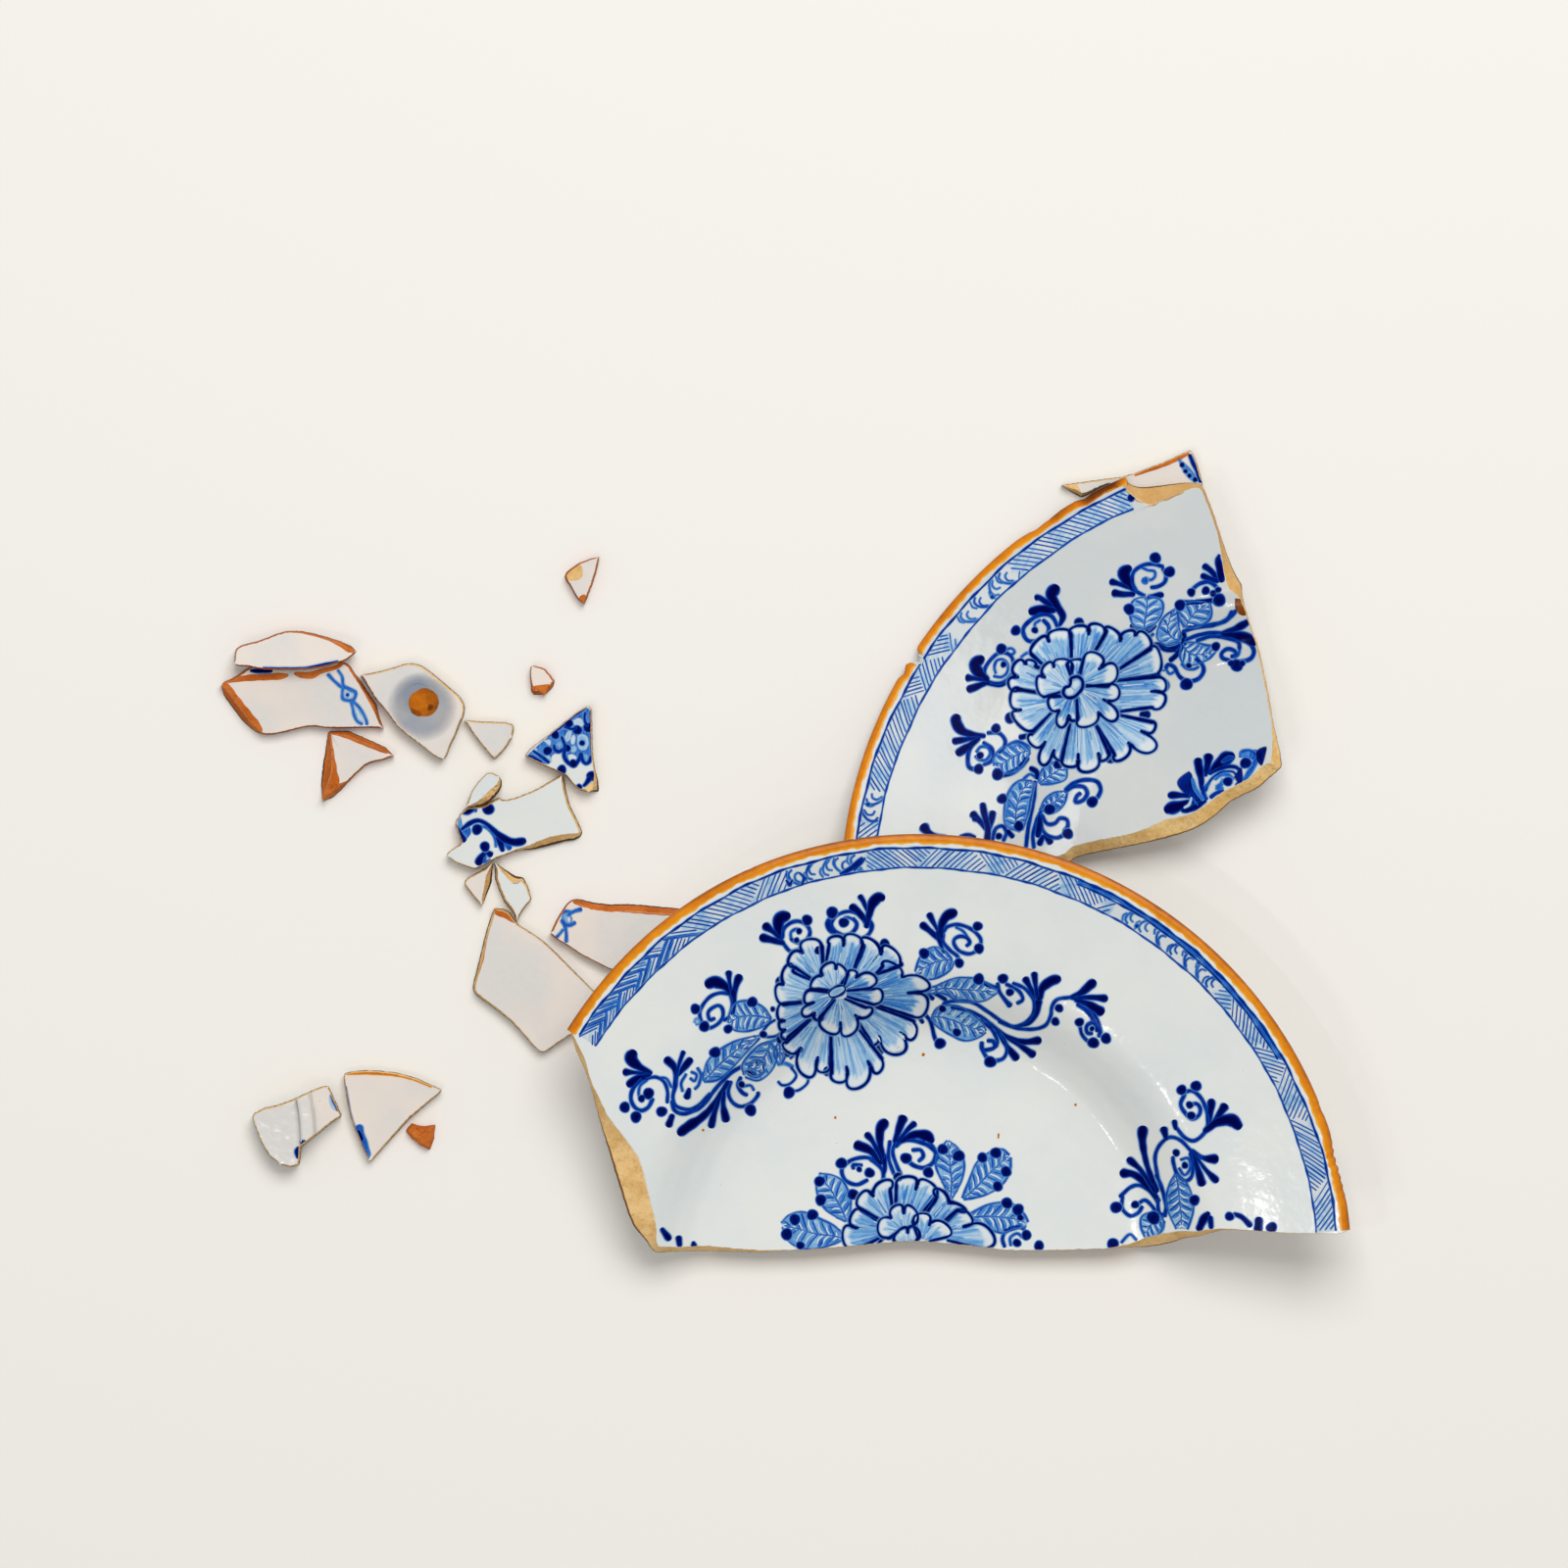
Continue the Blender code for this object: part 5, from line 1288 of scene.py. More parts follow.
half_flowers = Painting(41)
for blue, roots, marks in [
    (0.36, [(14.6, -42.4), (24.6, -43)], [(15.6, -36.6), (18, -30.4), (21.2, -34), (25, -29.8), (27, -37)]),
    (0.28, [(14, -42.6), (10.4, -46)], [(13.8, -38), (9, -31.4), (6.8, -36.6), (1.8, -38), (6.6, -43.4)]),
    (0.24, [(10.4, -46.4), (8.4, -53.6)],
     [(6.4, -44.6), (0.8, -41), (0, -47.6), (-3, -51.2), (3.4, -54.2)]),
    (0.36, [(8.2, -54), (9.8, -59.6)],
     [(3, -54.6), (-2.4, -57.4), (0.4, -60.6), (-1.8, -62.4), (0.6, -63.8), (-0.6, -67), (3.4, -65.2)]),
    (0.26, [(9.8, -60.2), (16.8, -63.6)],
     [(3.2, -66.4), (0.4, -71.2), (5.8, -70.8), (7.4, -80.6), (12.2, -73.8), (14, -79.4), (16.6, -73)]),
    (0.25, [(16.8, -63.8), (26, -62.8)],
     [(17, -75), (19.4, -83), (22.4, -77.2), (26.2, -85.2), (30, -75.2), (34.6, -79), (32.4, -71)]),
    (0.26, [(31.4, -55.2), (27, -61.6)],
     [(42.6, -59.4), (47.2, -66.2), (41.4, -65), (40.6, -73), (33.8, -66.4), (32.4, -69.6), (30.4, -67.4)]),
    (0.42, [(31, -46), (31.4, -54.4)],
     [(33, -43.8), (39, -40), (42.2, -45), (51.4, -46.6), (44.2, -50.8), (51.4, -56.2), (41, -57.6)]),
    (0.30, [(25, -43), (31.4, -44.6)], [(27.2, -37.6), (30, -31), (34.4, -37), (38.6, -34.6), (41.4, -41)]),
    (0.32, [(39.2, -130), (35.8, -133)],
     [(38.6, -125.6), (36.6, -118), (32.2, -124), (27, -123.6), (30, -129.8)]),
    (0.38, [(40, -130.4), (48.4, -131)],
     [(40.2, -124), (44, -116.8), (47.2, -121.6), (52.4, -118.8), (52.8, -126.2)]),
    (0.38, [(50, -131.4), (56.6, -133.6)],
     [(53, -127), (55.4, -121.2), (58.8, -126.6), (65, -128.4), (60.2, -130.6)]),
    (0.31, [(57, -134.4), (58.4, -139.6)],
     [(60.4, -130.8), (66.8, -130.6), (64.2, -134.8), (74.6, -136.8), (70, -142.5)]),
    (0.36, [(35.4, -133.8), (36, -138)],
     [(30.4, -130.6), (24.2, -130.4), (26.6, -135.2), (21, -137.6), (26, -143)]),
]:
    half_flowers.petal(roots, marks, 4, blue)
for blue, roots, marks in [
    (0.24, [(19.8, -48.4), (16.6, -49.8)],
     [(21.2, -46.6), (21, -41.2), (18.6, -42.4), (15.4, -40.2), (13.6, -44.4), (9.6, -47.6),
      (14.6, -49.6)]),
    (0.48, [(21.6, -48), (22.4, -50)],
     [(22.2, -46), (24.8, -42.6), (25.6, -45.4), (32.4, -44.6), (28, -49.4)]),
    (0.44, [(22.4, -50), (22.4, -52)], [(28.4, -49.6), (35.4, -51.6), (29.6, -54.2)]),
    (0.28, [(21.6, -52.8), (18.4, -53)],
     [(26.4, -54.8), (31.4, -58), (25.4, -58.6), (23.8, -66), (20.2, -61.2), (15.6, -65), (14.8, -57.4)]),
    (0.38, [(16.6, -50.6), (17.8, -52.6)],
     [(12.4, -49.9), (7.2, -52.4), (10.9, -54), (6.4, -58.2), (11.2, -57.8), (12, -60.6), (14.8, -57.4)]),
    (0.26, [(44, -135.8), (41.4, -136.2)],
     [(46, -134.4), (46.4, -128), (43, -130.2), (40, -127.2), (38.6, -131.8), (33.6, -135), (39, -138)]),
    (0.34, [(48, -138.6), (52, -140)],
     [(47, -135.4), (49.6, -130), (52, -134.4), (59, -134.6), (55.4, -139.2)]),
    (0.22, [(42.6, -142.5), (45.6, -142.5)],
     [(40.4, -140.6), (41.6, -135.8), (44.4, -137.2), (46.8, -134.8), (47.4, -140)]),
]:
    half_flowers.petal(roots, marks, 9, blue, 0.98)
half_flowers.line([(38.6, -137.6), (36, -138.6), (33.4, -141.4)], 1.2, 0.95, 8)
half_flowers.line([(17, -51.2, 3.8), (19, -50.2, 4.2), (21, -49.2, 3.8)], tone=0.95, layer=13)
half_flowers.line([(17, -51.2, 2.0), (19, -50.2, 2.4), (21, -49.2, 2.0)], tone=0.24, layer=14, bleed=0.4)
half_flowers.dots(
    (36, -33.3, 1.9), (27.2, -37.3, 1.3), (-1.5, -46.5, 1.6), (34.2, -71.2, 1.9), (41.4, -71.5, 1.5),
    (15.7, -79, 1.8), (-1, -67.5, 1.6), (12.4, -35.4, 1.6), (41, -117, 1.7),
)

half_sprigs = Painting(42)
half_sprigs.drops(
    [(-1, -30.5, 2.4), (-2, -27, 3.4), (-1.5, -24, 4.6), (1.5, -22.9, 3.2)],
    [(-1.5, -31, 1.4), (-4, -28.7, 1.8), (-6.8, -26.6, 3.2)],
    [(0, -33, 1.6), (-4, -31.8, 2.4), (-8, -30.8, 3.2)],
    [(29.5, -27, 2.2), (30.4, -23, 2.4), (31.6, -18.8, 3.6), (33.6, -16.6, 4.2), (35.4, -16.6, 3.0)],
    [(29.3, -25, 1.8), (26.5, -21.6, 2.6), (24.2, -19.8, 3.0)],
    [(30, -22, 1.0), (28.4, -18, 1.8), (27.2, -16.1, 2.4)],
    [(-17.8, -52.5, 2), (-20.5, -48.7, 2.8), (-24.5, -46.8, 4.2), (-27.4, -47.6, 3.6)],
    [(-19, -50, 1.2), (-19.6, -46, 1.6), (-19.8, -43.3, 2.6)],
    [(-18, -51, 2), (-17, -47.5, 2.4), (-16, -44.8, 3.2)],
    [(-18.2, -50, 2.6), (-17.8, -54, 1.6), (-18, -58, 0.8)],
    [(-47.5, -79.5, 1.5), (-52, -77, 2.6), (-54.8, -74.2, 4.2), (-53.8, -71.8, 3)],
    [(-48, -79.8, 1.2), (-53, -79.2, 1.4), (-57, -79, 2.9)],
    [(-48, -80, 1.5), (-53, -81.8, 3.2), (-55.6, -83.6, 2.8)],
    [(-38.5, -80, 1.6), (-39.5, -77, 2.4), (-42, -74.5, 3.2)],
    [(-38.3, -80, 1.2), (-37.5, -76, 1.4), (-36, -71.8, 1.9)],
    [(-38, -80, 1.6), (-35.5, -77, 2.4), (-33.5, -74.6, 2.8)],
    [(-20, -82.5, 1.6), (-24.5, -90, 2.2), (-29, -95, 2.6), (-34, -98.4, 3.6), (-37.4, -101, 3)],
    [(-23.3, -89, 1.4), (-25, -94, 2), (-26.1, -98.6, 2.8)],
    [(-21.5, -86, 1.6), (-21.8, -91, 2), (-20.8, -96.3, 3.6)], [(-33.9, -85, 1.3), (-34.8, -88.1, 3)],
    [(-40, -94.6, 2.2), (-41.3, -98.2, 2.7)], [(-43.8, -135.4, 1.8), (-41.2, -139, 2.6)],
    [(-37.8, -138.4, 2.2), (-37.4, -141.4, 2.0)], [(-32.5, -140.2, 1.2), (-32.3, -141.6, 2.4)],
    [(56.3, -31, 1.8), (56.2, -27, 2.6), (58, -23.4, 3.8), (61, -21.8, 3.8)],
    [(55.5, -29, 1.2), (53.5, -25.5, 1.6), (52, -22.6, 2.6)],
    [(55.5, -31.5, 1.8), (52, -28.3, 2.2), (49.4, -26.2, 2.8)],
    [(55.2, -29, 2.4), (56, -33, 1.6), (57.3, -36.5, 0.8)],
    [(91.3, -53, 2.4), (92.5, -49, 3), (95.5, -46.5, 3.8), (98.4, -45.6, 3)],
    [(90.7, -52, 1.6), (90, -47.5, 1.6), (89.6, -43.8, 2.6)],
    [(90.3, -52.5, 1.8), (88, -48.5, 1.8), (86.4, -45.6, 2.6)],
    [(91.2, -53.5, 2.8), (90.5, -58, 1.8), (88, -61.5, 1.4), (84, -62.8, 1.1)],
    [(102.5, -52.5, 1.6), (106.5, -50.5, 2.6), (109.5, -48, 3.8), (110.8, -46.8, 3.4)],
    [(103, -52.6, 1.4), (110, -52.3, 2), (115.2, -52.7, 3)],
    [(104, -53, 1.4), (109, -54.8, 2.6), (113.6, -57.5, 4)],
    [(74, -62, 1.2), (80, -66.5, 1.6), (86, -68.3, 2), (91.6, -67.8, 2.8)],
    [(80, -67, 1.2), (85, -70, 1.8), (89.4, -73, 3.2)], [(76, -64, 1.2), (80, -70, 2), (83.3, -74.2, 3.6)],
    [(35.5, -110, 2), (34.5, -105, 2.4), (34.5, -100, 3.6), (36.2, -97.2, 4)],
    [(35, -110.5, 1.6), (32, -104.5, 1.8), (29.7, -101.6, 2.6)],
    [(35, -112, 1.8), (31, -107.5, 2.6), (26, -105.4, 3.6)],
    [(35.7, -109, 2.2), (36.2, -113.5, 1.6), (35.8, -116, 1)],
    [(39.8, -104.5, 1.8), (41.5, -99, 2.6), (42.8, -95.7, 3.6)],
    [(41, -104, 1.4), (44.5, -99.8, 1.8), (46.8, -97.8, 2.8)],
    [(42, -104, 2), (47, -101.7, 3), (51.2, -102.3, 4.2), (53, -104, 3)],
    [(152, -97, 1.8), (152.8, -92, 2.6), (153, -89.3, 3)],
    [(152.5, -99, 1.6), (155.5, -94.5, 2), (157.8, -91.2, 3.5)],
    [(150.5, -100.3, 1.8), (155, -97, 2.8), (160, -96.2, 4), (163, -98.6, 3)],
    [(140.3, -99.5, 1.4), (139.8, -96.8, 2.6)], [(137, -103, 1.6), (136, -99.4, 3)],
    [(146, -107, 1.2), (150, -109.7, 1.6), (154.6, -110.2, 3.8)],
    [(147, -108.5, 1), (151, -114, 1.6), (154.8, -117.9, 3)],
    [(146.5, -108.5, 1.2), (148.2, -114, 2.2), (149.7, -119.1, 3.4)],
    [(133.5, -122, 2.4), (130, -112, 1.8), (128.5, -104, 2.6), (128.6, -99.4, 3.8)],
    [(133, -122, 2), (128, -114.5, 1.8), (123.8, -110.6, 3)],
    [(134.5, -125.5, 1.6), (129.5, -119, 3), (125.5, -116, 2.6), (121.4, -115.5, 3.6)],
    [(170, -131.5, 2.6), (169.7, -135.6, 3.0)], [(161, -129.8, 1.4), (164, -131, 1.8), (167, -134, 2)],
    [(148.6, -135.4, 2.6), (150.4, -131.6, 3.0), (152, -129.6, 2.0)],
    [(153, -134.8, 1.8), (152.6, -131, 2.0)],
)
half_sprigs.strokes(
    [(-1, -31.5), (0.5, -34), (2.5, -35.8), (6, -35), (9, -33.5)],
    [(-0.5, -31), (-0.2, -28), (2, -25.8), (5, -25), (8, -26.3), (9.3, -29), (8, -31.8), (5, -32.6),
     (2.5, -31.5)],
    [(29.8, -24, 1.8), (31.3, -26.6, 1.8), (30.8, -29), (28.6, -31), (25.6, -31.8)],
    [(29, -25.6), (27.5, -22.9), (24, -21.6), (21, -21.9), (18.3, -23.5), (17, -26), (18.3, -28.5),
     (20.6, -29.8)],
    [(16.7, -23.6, 1.2), (15.7, -26, 2.0), (17, -28.4, 1.8), (20, -29.9, 1.2)],
    [(20, -30.1), (23, -29.9), (25.4, -28), (26, -25.8), (24.6, -24)],
    [(-19, -51.2), (-23, -50.7), (-27, -52.5), (-30, -57), (-29.5, -61), (-27, -63.2), (-24, -62),
     (-22, -59.5), (-22, -56.5), (-23.5, -55.2), (-26, -56.3), (-27.2, -58), (-26.5, -60.3),
     (-24.8, -59.8)],
    [(-19, -51.5), (-18.5, -55), (-19.5, -59), (-21.5, -60.5)],
    [(-51, -81.5), (-54, -85), (-54.8, -88.5), (-53.5, -91.5), (-51, -92.8), (-48.5, -91.5), (-47, -88.5)],
    [(-49.5, -81.5), (-46, -80.8), (-43, -82.5), (-41.7, -86), (-41.8, -90)],
    [(-38.5, -79, 2.2), (-39, -84, 1.8), (-39.8, -88), (-38.8, -91), (-36, -92.3), (-33, -92.3),
     (-30, -90.5), (-26.5, -86.8)],
    [(-40.2, -89.5), (-39.2, -92.7), (-36.5, -94), (-33, -93.3), (-29, -91), (-24, -84.5), (-19, -79.5),
     (-15, -77)],
    [(-19, -82.5), (-20, -86.5), (-18.5, -90), (-15.5, -91.6), (-12, -90.5), (-9.5, -87.8), (-9.3, -86.5)],
    [(-15.5, -81), (-16.5, -84), (-15, -86.5), (-13.2, -87.5)],
    [(57, -29), (58.5, -27), (62, -26.2), (66, -27.3), (69, -29.5), (70.5, -32), (69.5, -35), (66.5, -36.7),
     (63, -35.8), (61, -33.5), (61, -31.5), (63, -30.4), (65.5, -31), (66.5, -32.7), (65.3, -33.9)],
    [(57, -29.5), (57, -32.5), (59.5, -35.5), (62, -37.5), (62.5, -39.5)],
    [(76.5, -47.2), (77, -50), (79, -53), (81, -55.3, 2.2)],
    [(82, -47.2), (86, -49), (89, -52.5), (89.7, -56), (88.5, -59.5), (85.5, -62), (82, -62.8), (78, -61),
     (73, -57.5), (67, -54), (60, -53.8), (57, -54.8)],
    [(79.5, -47.5), (84, -50), (85.5, -53), (83.5, -54.5)],
    [(77, -61), (83, -63.3), (89, -63.8), (93.5, -62.5), (95.5, -59), (96, -55.5), (98, -53),
     (102.5, -52.3)],
    [(104.5, -53.5), (109, -56), (112, -60), (113.5, -65)],
    [(105, -54.8), (108.4, -57.2), (110.8, -60.6), (112.2, -64.4)],
    [(112.8, -66.4), (113, -63.4), (110.6, -61.4), (108.4, -62.6), (108.6, -65), (110.4, -65.2)],
    [(106, -62.4), (106.6, -65.4), (108.6, -67.8), (110.6, -68.4)],
    [(60, -56), (67, -57.5), (73, -61), (78, -66), (80, -70.5), (79, -74), (76.5, -75.3)],
    [(70.5, -60.5), (74.5, -64), (76.5, -68), (76, -70.3)],
    [(71, -68.5), (71, -71), (73, -71.3), (75.5, -70.3), (75, -68.2), (73, -68)],
    [(70.8, -69), (71.5, -72), (74, -75.3), (77, -75)], [(38, -104), (37.5, -110), (39.5, -116)],
    [(40, -104.5), (39, -108), (40.5, -113), (42, -116)],
    [(34.5, -112.5), (30, -110), (24.5, -110.8), (20.8, -114), (22, -118), (26, -119.7), (30, -118)],
    [(31, -110.5), (35, -114), (35.5, -118), (33, -120.5)], [(25, -114), (24.8, -112.6), (28, -112.7)],
    [(40, -106), (43, -103.8), (48, -104.2), (53, -106.5), (54.8, -110), (51, -113.5), (47, -113),
     (44, -110.8)],
    [(46, -107.3), (49, -107.3), (50, -109.5), (48.3, -111.3)], [(52, -104.5), (54.5, -108), (53.5, -112)],
    [(142.5, -86.5), (146, -85.8), (149, -88), (151, -92), (151.8, -97), (150.5, -100.8), (147, -103.6),
     (143.5, -102.5), (140.5, -99)],
    [(143.5, -87), (142, -90.5), (143.5, -93.5), (146, -95.8), (148.5, -94.5), (149, -92), (147.5, -90.3),
     (145.5, -91)],
    [(134, -117), (133, -110), (134.5, -105.5), (138, -102.5), (142, -103.5), (146, -107.5), (149.5, -110)],
    [(145.5, -108), (146.5, -113), (145.8, -116.8), (143.5, -118), (140.8, -115.5), (139.6, -112),
     (139.3, -109.5)],
    [(134, -126), (132, -122.5), (128, -120), (124.5, -120.5), (120.5, -124)],
    [(121.5, -124), (121.3, -128), (124, -130.8), (127, -129.8), (128.5, -127.5)],
    [(127, -126.5), (129.5, -125.2), (132, -127.3), (133.5, -129.8)],
    [(133.5, -116), (135.5, -121), (137, -127), (136.5, -131)],
    [(134, -125), (134.5, -129.5), (136.5, -130.5)],
    [(86.4, -135.6), (83.5, -134.7), (80, -136), (78.4, -139), (79.2, -142)], width=1.3, tone=0.80,
)
half_sprigs.strokes(
    [(2.5, -31.5), (2.5, -29), (4.5, -27.8), (5.6, -28.7)], [(24.4, -24.2), (22.8, -23.6), (21.4, -24)],
    [(-47, -86.5), (-48.5, -85.5)], [(-49, -81.8), (-51.5, -84), (-52, -87), (-51.3, -89)],
    [(-44, -81), (-42, -81.5), (-40.3, -84.5)], [(-31, -77.5), (-29.8, -80), (-30.5, -83.5), (-32, -85.2)],
    [(-33.3, -79), (-31.3, -80), (-32, -82.3), (-33.6, -81.2)], [(-35, -79.7), (-36.8, -83), (-36.3, -86)],
    [(-14.5, -84.3), (-12, -84), (-10.8, -85.8)], [(61.5, -27.2), (64, -28.5), (65.8, -30.8)],
    [(142, -110.5), (144.8, -110), (145.5, -113.5), (143.5, -116), (141.5, -113.5)],
    [(121, -140.5), (124, -137.5), (126.5, -139.5)],
    [(81.4, -141.6), (81.2, -138.8), (83.6, -137.2), (85.6, -138.6)], width=0.9, tone=0.70,
)
half_sprigs.strokes(
    [(72, -47.5), (76.3, -49)], [(49.5, -49.5), (53.5, -53)], [(54, -50.8), (58, -53.2)],
    [(50, -58), (52.5, -61), (53.8, -66), (54.5, -68)], [(48.5, -59.5), (49.8, -61.5)],
    width=1.4, tone=0.90,
)
half_leaves = Painting(44)
for one, other, veins in [
    ([(-4.5, -59.8), (-6.6, -56.6), (-9.6, -54.6), (-13, -53.5), (-17, -54.2), (-19.4, -57.6),
     (-20, -61.4)], [(-4.6, -60.8), (-8, -63), (-13, -64.4), (-17.4, -64.2), (-20, -62.2)], 7),
    ([(-29.2, -82), (-28, -76.5), (-25.5, -73), (-21, -69.8), (-16, -67.5), (-9, -66)],
     [(-28.6, -82.6), (-24, -82), (-20.5, -79.5), (-17, -76), (-12.5, -71), (-8.8, -67)], 7),
    ([(-5.5, -68.2), (-9, -69.6), (-12.5, -73), (-15, -76.6), (-14.4, -80.2)],
     [(-4.8, -68.6), (-2.4, -72), (-3.2, -76.4), (-5.6, -80), (-9.4, -82.3), (-13.8, -81)], 5),
    ([(50.5, -50), (55, -48), (60, -45.8), (64, -45.2), (70, -46), (76.5, -49.6)],
     [(50.8, -50.8), (57, -50.9), (62, -53.5), (67, -54), (72, -53.5), (76.4, -50.8)], 8),
    ([(53, -59), (56, -55.5), (62, -55.5), (67, -58), (71, -61.5), (72.5, -64.4)],
     [(52.6, -60), (55, -63), (60, -66), (65, -68), (70, -66.8), (72.4, -65)], 7),
    ([(60, -38.4), (57, -35.2), (53.6, -34.2), (50, -36), (48, -39.5), (47, -43)],
     [(60.8, -39.4), (60, -42), (56.5, -44.6), (52.5, -45.9), (49.5, -45.4), (47.2, -43.8)], 5),
    ([(59.4, -124.8), (57, -119), (54.5, -113), (55.6, -107.4), (58.5, -103.8)],
     [(60.2, -125), (63.8, -118), (64.6, -111.6), (62.4, -106.6), (59, -103.9)], 7),
    ([(64, -124.4), (66.5, -118), (69, -112), (73, -108.5), (78, -107), (80.8, -109)],
     [(64.6, -125), (72, -123.5), (78, -120), (81, -115), (81.4, -110)], 8),
    ([(65, -131.4), (68, -129.5), (73, -127), (78, -126), (82, -126.5), (86, -130), (87.6, -133)],
     [(65.2, -132), (72, -135), (78, -137), (82, -136), (87, -134.6)], 7),
    ([(23.2, -133), (24, -126), (22.8, -121.4), (20.6, -118), (17, -116.2), (12.6, -115.6)],
     [(22, -133), (15.4, -129), (12.6, -124.6), (11.6, -121), (11.8, -117)], 6),
    ([(22, -138.5), (18, -134.5), (13, -132), (7, -129.5), (2, -130.5), (-1, -133.4)],
     [(21.6, -139.4), (16, -141.6), (10, -143), (4, -141.6), (1, -139), (-0.6, -135)], 7),
    ([(140, -115.6), (137.8, -120.4), (137, -126), (138.5, -131), (140.6, -135.4)],
     [(140.6, -115.8), (144, -118.6), (146.2, -123.5), (146.6, -129), (144.6, -135.4)], 7),
    ([(136, -131.4), (132, -129.6), (128.4, -131), (128, -134.5), (129.5, -138.4)],
     [(136.4, -132.6), (135.6, -136), (132.6, -138.6), (130.4, -138.8)], 5),
]:
    half_leaves.leaf(one, other, veins=veins)
half_leaves.leaf(
    [(-12.8, -76.2), (-10, -74.7), (-7.2, -76)], [(-13, -80), (-10, -81.2), (-6.8, -79)], layer=3,
    tone=0.88, veins=2,
)
half_leaves.leaf(
    [(-2, -68.4), (-3.6, -72), (-2.4, -76)], [(-1.4, -68.4), (0.8, -72), (-0.8, -76.2)], tone=0.5, veins=2,
)
half_sprigs.strokes(
    [(-3.2, -60.4), (-5.8, -62.2), (-8.4, -65.6)], [(-8.6, -66), (-5.6, -66.6), (-2.4, -66), (-0.6, -64.4)],
    [(2.2, -74.4), (5.8, -71.2)], [(-2.2, -82.6), (-0.6, -84), (2.2, -83.4), (4.4, -80.6), (2.6, -77.6)],
    [(8.6, -80), (8.4, -83.2), (5.2, -85.8), (2.6, -85.8)], width=0.8, tone=0.82,
)
half_sprigs.strokes(
    [(-6.2, -68.8), (-2.6, -67.4), (0.4, -65.8)], [(-2.2, -76.4), (0.6, -76.2), (3.2, -77.4)], tone=0.6,
)
half_sprigs.dots(
    (-7.4, -65.6, 1.3), (-1.4, -67.4, 1.4), (5.8, -71.2, 1.2), (1.4, -72.6, 1.2), (1.8, -86.6, 2.1),
)
half_sprigs.dots(
    (5.4, -28.6, 1.1), (4.5, -31.8, 1.0), (8.3, -24.6, 1.9), (17.2, -21.9, 2.1), (21.4, -25.5, 1.8),
    (-31.7, -56.4, 1.8), (-28.5, -62.7, 1.9), (-20, -63.6, 1.6), (-11.4, -54, 1.9), (-4, -56.5, 0.9),
    (-48.5, -86.7, 2.0), (-51, -88.5, 1.3), (-57, -91.6, 1.9), (-53, -95.1, 2.0), (-43.8, -93.2, 1.9),
    (-15.2, -83.6, 1.2), (-12, -92.9, 2.1), (-24.7, -72, 2.0), (69.3, -26.8, 1.7), (69.8, -34.8, 1.8),
    (62.7, -40, 1.7), (50.2, -36.6, 1.9), (69.7, -45.8, 2.0), (80.9, -50.5, 1.4), (78.4, -45.6, 1.8),
    (98.5, -56.2, 1.5), (97.2, -61, 1.5), (105.8, -61.2, 1.6), (110.8, -68.6, 2.0), (115.3, -67, 1.9),
    (110.3, -63.5, 0.9), (56.8, -56.5, 1.3), (62, -65, 1.5), (56, -69, 2.0), (74, -75.6, 2.1),
    (27, -114.2, 1.0), (30.7, -115.4, 1.8), (20.6, -112, 2.0), (43.8, -110.2, 2.0), (57, -107, 1.9),
    (62.7, -109.4, 2.1), (51.8, -115.3, 1.9), (71.2, -110, 1.8), (76, -108.3, 2.0), (79.7, -115, 1.9),
    (76.7, -120.3, 1.8), (80, -126.3, 2.0), (84, -128.7, 2.1), (84.8, -131.5, 1.2), (87, -137.8, 1.8),
    (91.5, -141.6, 1.8), (12.8, -118.5, 1.9), (13.2, -125.2, 2.0), (24.8, -123.2, 2.0), (10.2, -130.5, 2.0),
    (3.9, -132.2, 2.0), (1, -137.5, 2.1), (5.9, -141.5, 1.5), (145.2, -90.8, 1.3), (145.8, -94.6, 1.5),
    (142.3, -85.4, 1.8), (147.5, -84, 1.9), (143.6, -112.5, 1.2), (140.5, -108, 1.3), (126, -126.8, 1.4),
    (119.2, -127.8, 2.1), (147, -125, 1.9), (132.5, -131.5, 2.4), (118, -141, 2.1), (159.5, -130.7, 1.6),
    (174.5, -134.6, 1.9), (83.6, -140.6, 1.5),
)
half_sprigs.line([(-32, -61.4), (-31.6, -60), (-30.3, -60.2), (-30.4, -61.6), (-31.6, -62)], 0.7, tone=0.5)

half_border = Painting(43)
border_band(half_border, half_placing, HALF_ANGLES, 45, open_at=[(43, 61.5), (97.6, 108.5)], heavy=(30, 68),
            braided=(117, 147))
half_border.strokes(
    [(28, -2.2, 0.9), (26.5, -4.0, 2.0), (23.6, -6.3, 1.9), (20, -8.1, 0.7)],
    [(25, -6.9, 0.6), (27.6, -4.2, 0.9), (29, -2.4, 0.6)], [(2, -12.2, 1.4), (3, -10.2, 0.6)],
    [(2, -12.2, 1.4), (0.8, -10.2, 0.6)], [(6.4, -11.6, 0.9), (7.2, -9.4, 1.1), (5.4, -7.6, 0.6)],
    tone=0.84, layer=7,
)

for painting, name in ((half_flowers, "half_flowers"), (half_sprigs, "half_sprigs"),
                       (half_leaves, "half_leaves"), (half_border, "half_border")):
    painting.drape(name, *half_top)


# ---------------------------------------------------------------------------
# The shards that lie glaze up, below and beside the half: thin pieces of the flange and
# of the well, broken all round, their walls drawn in under a sharp glazed edge.

front_glaze = glaze_material("front_glaze", (219, 223, 222), (214, 220, 221), (223, 225, 221))
# The last colour of each clay, and the number after it, give the painted shadow along the foot of the walls
# and where it starts.
red_clay = clay_material(
    "red_clay", (206, 114, 42), (184, 92, 20), (138, 64, 14), (226, 188, 150), (66, 30, 12), 0.86,
)
shard_clay = clay_material(
    "shard_clay", (240, 202, 140), (222, 178, 112), (176, 130, 76), (236, 214, 180), (84, 56, 32), 0.72,
)
FEW = (70, 20, 20, 8)


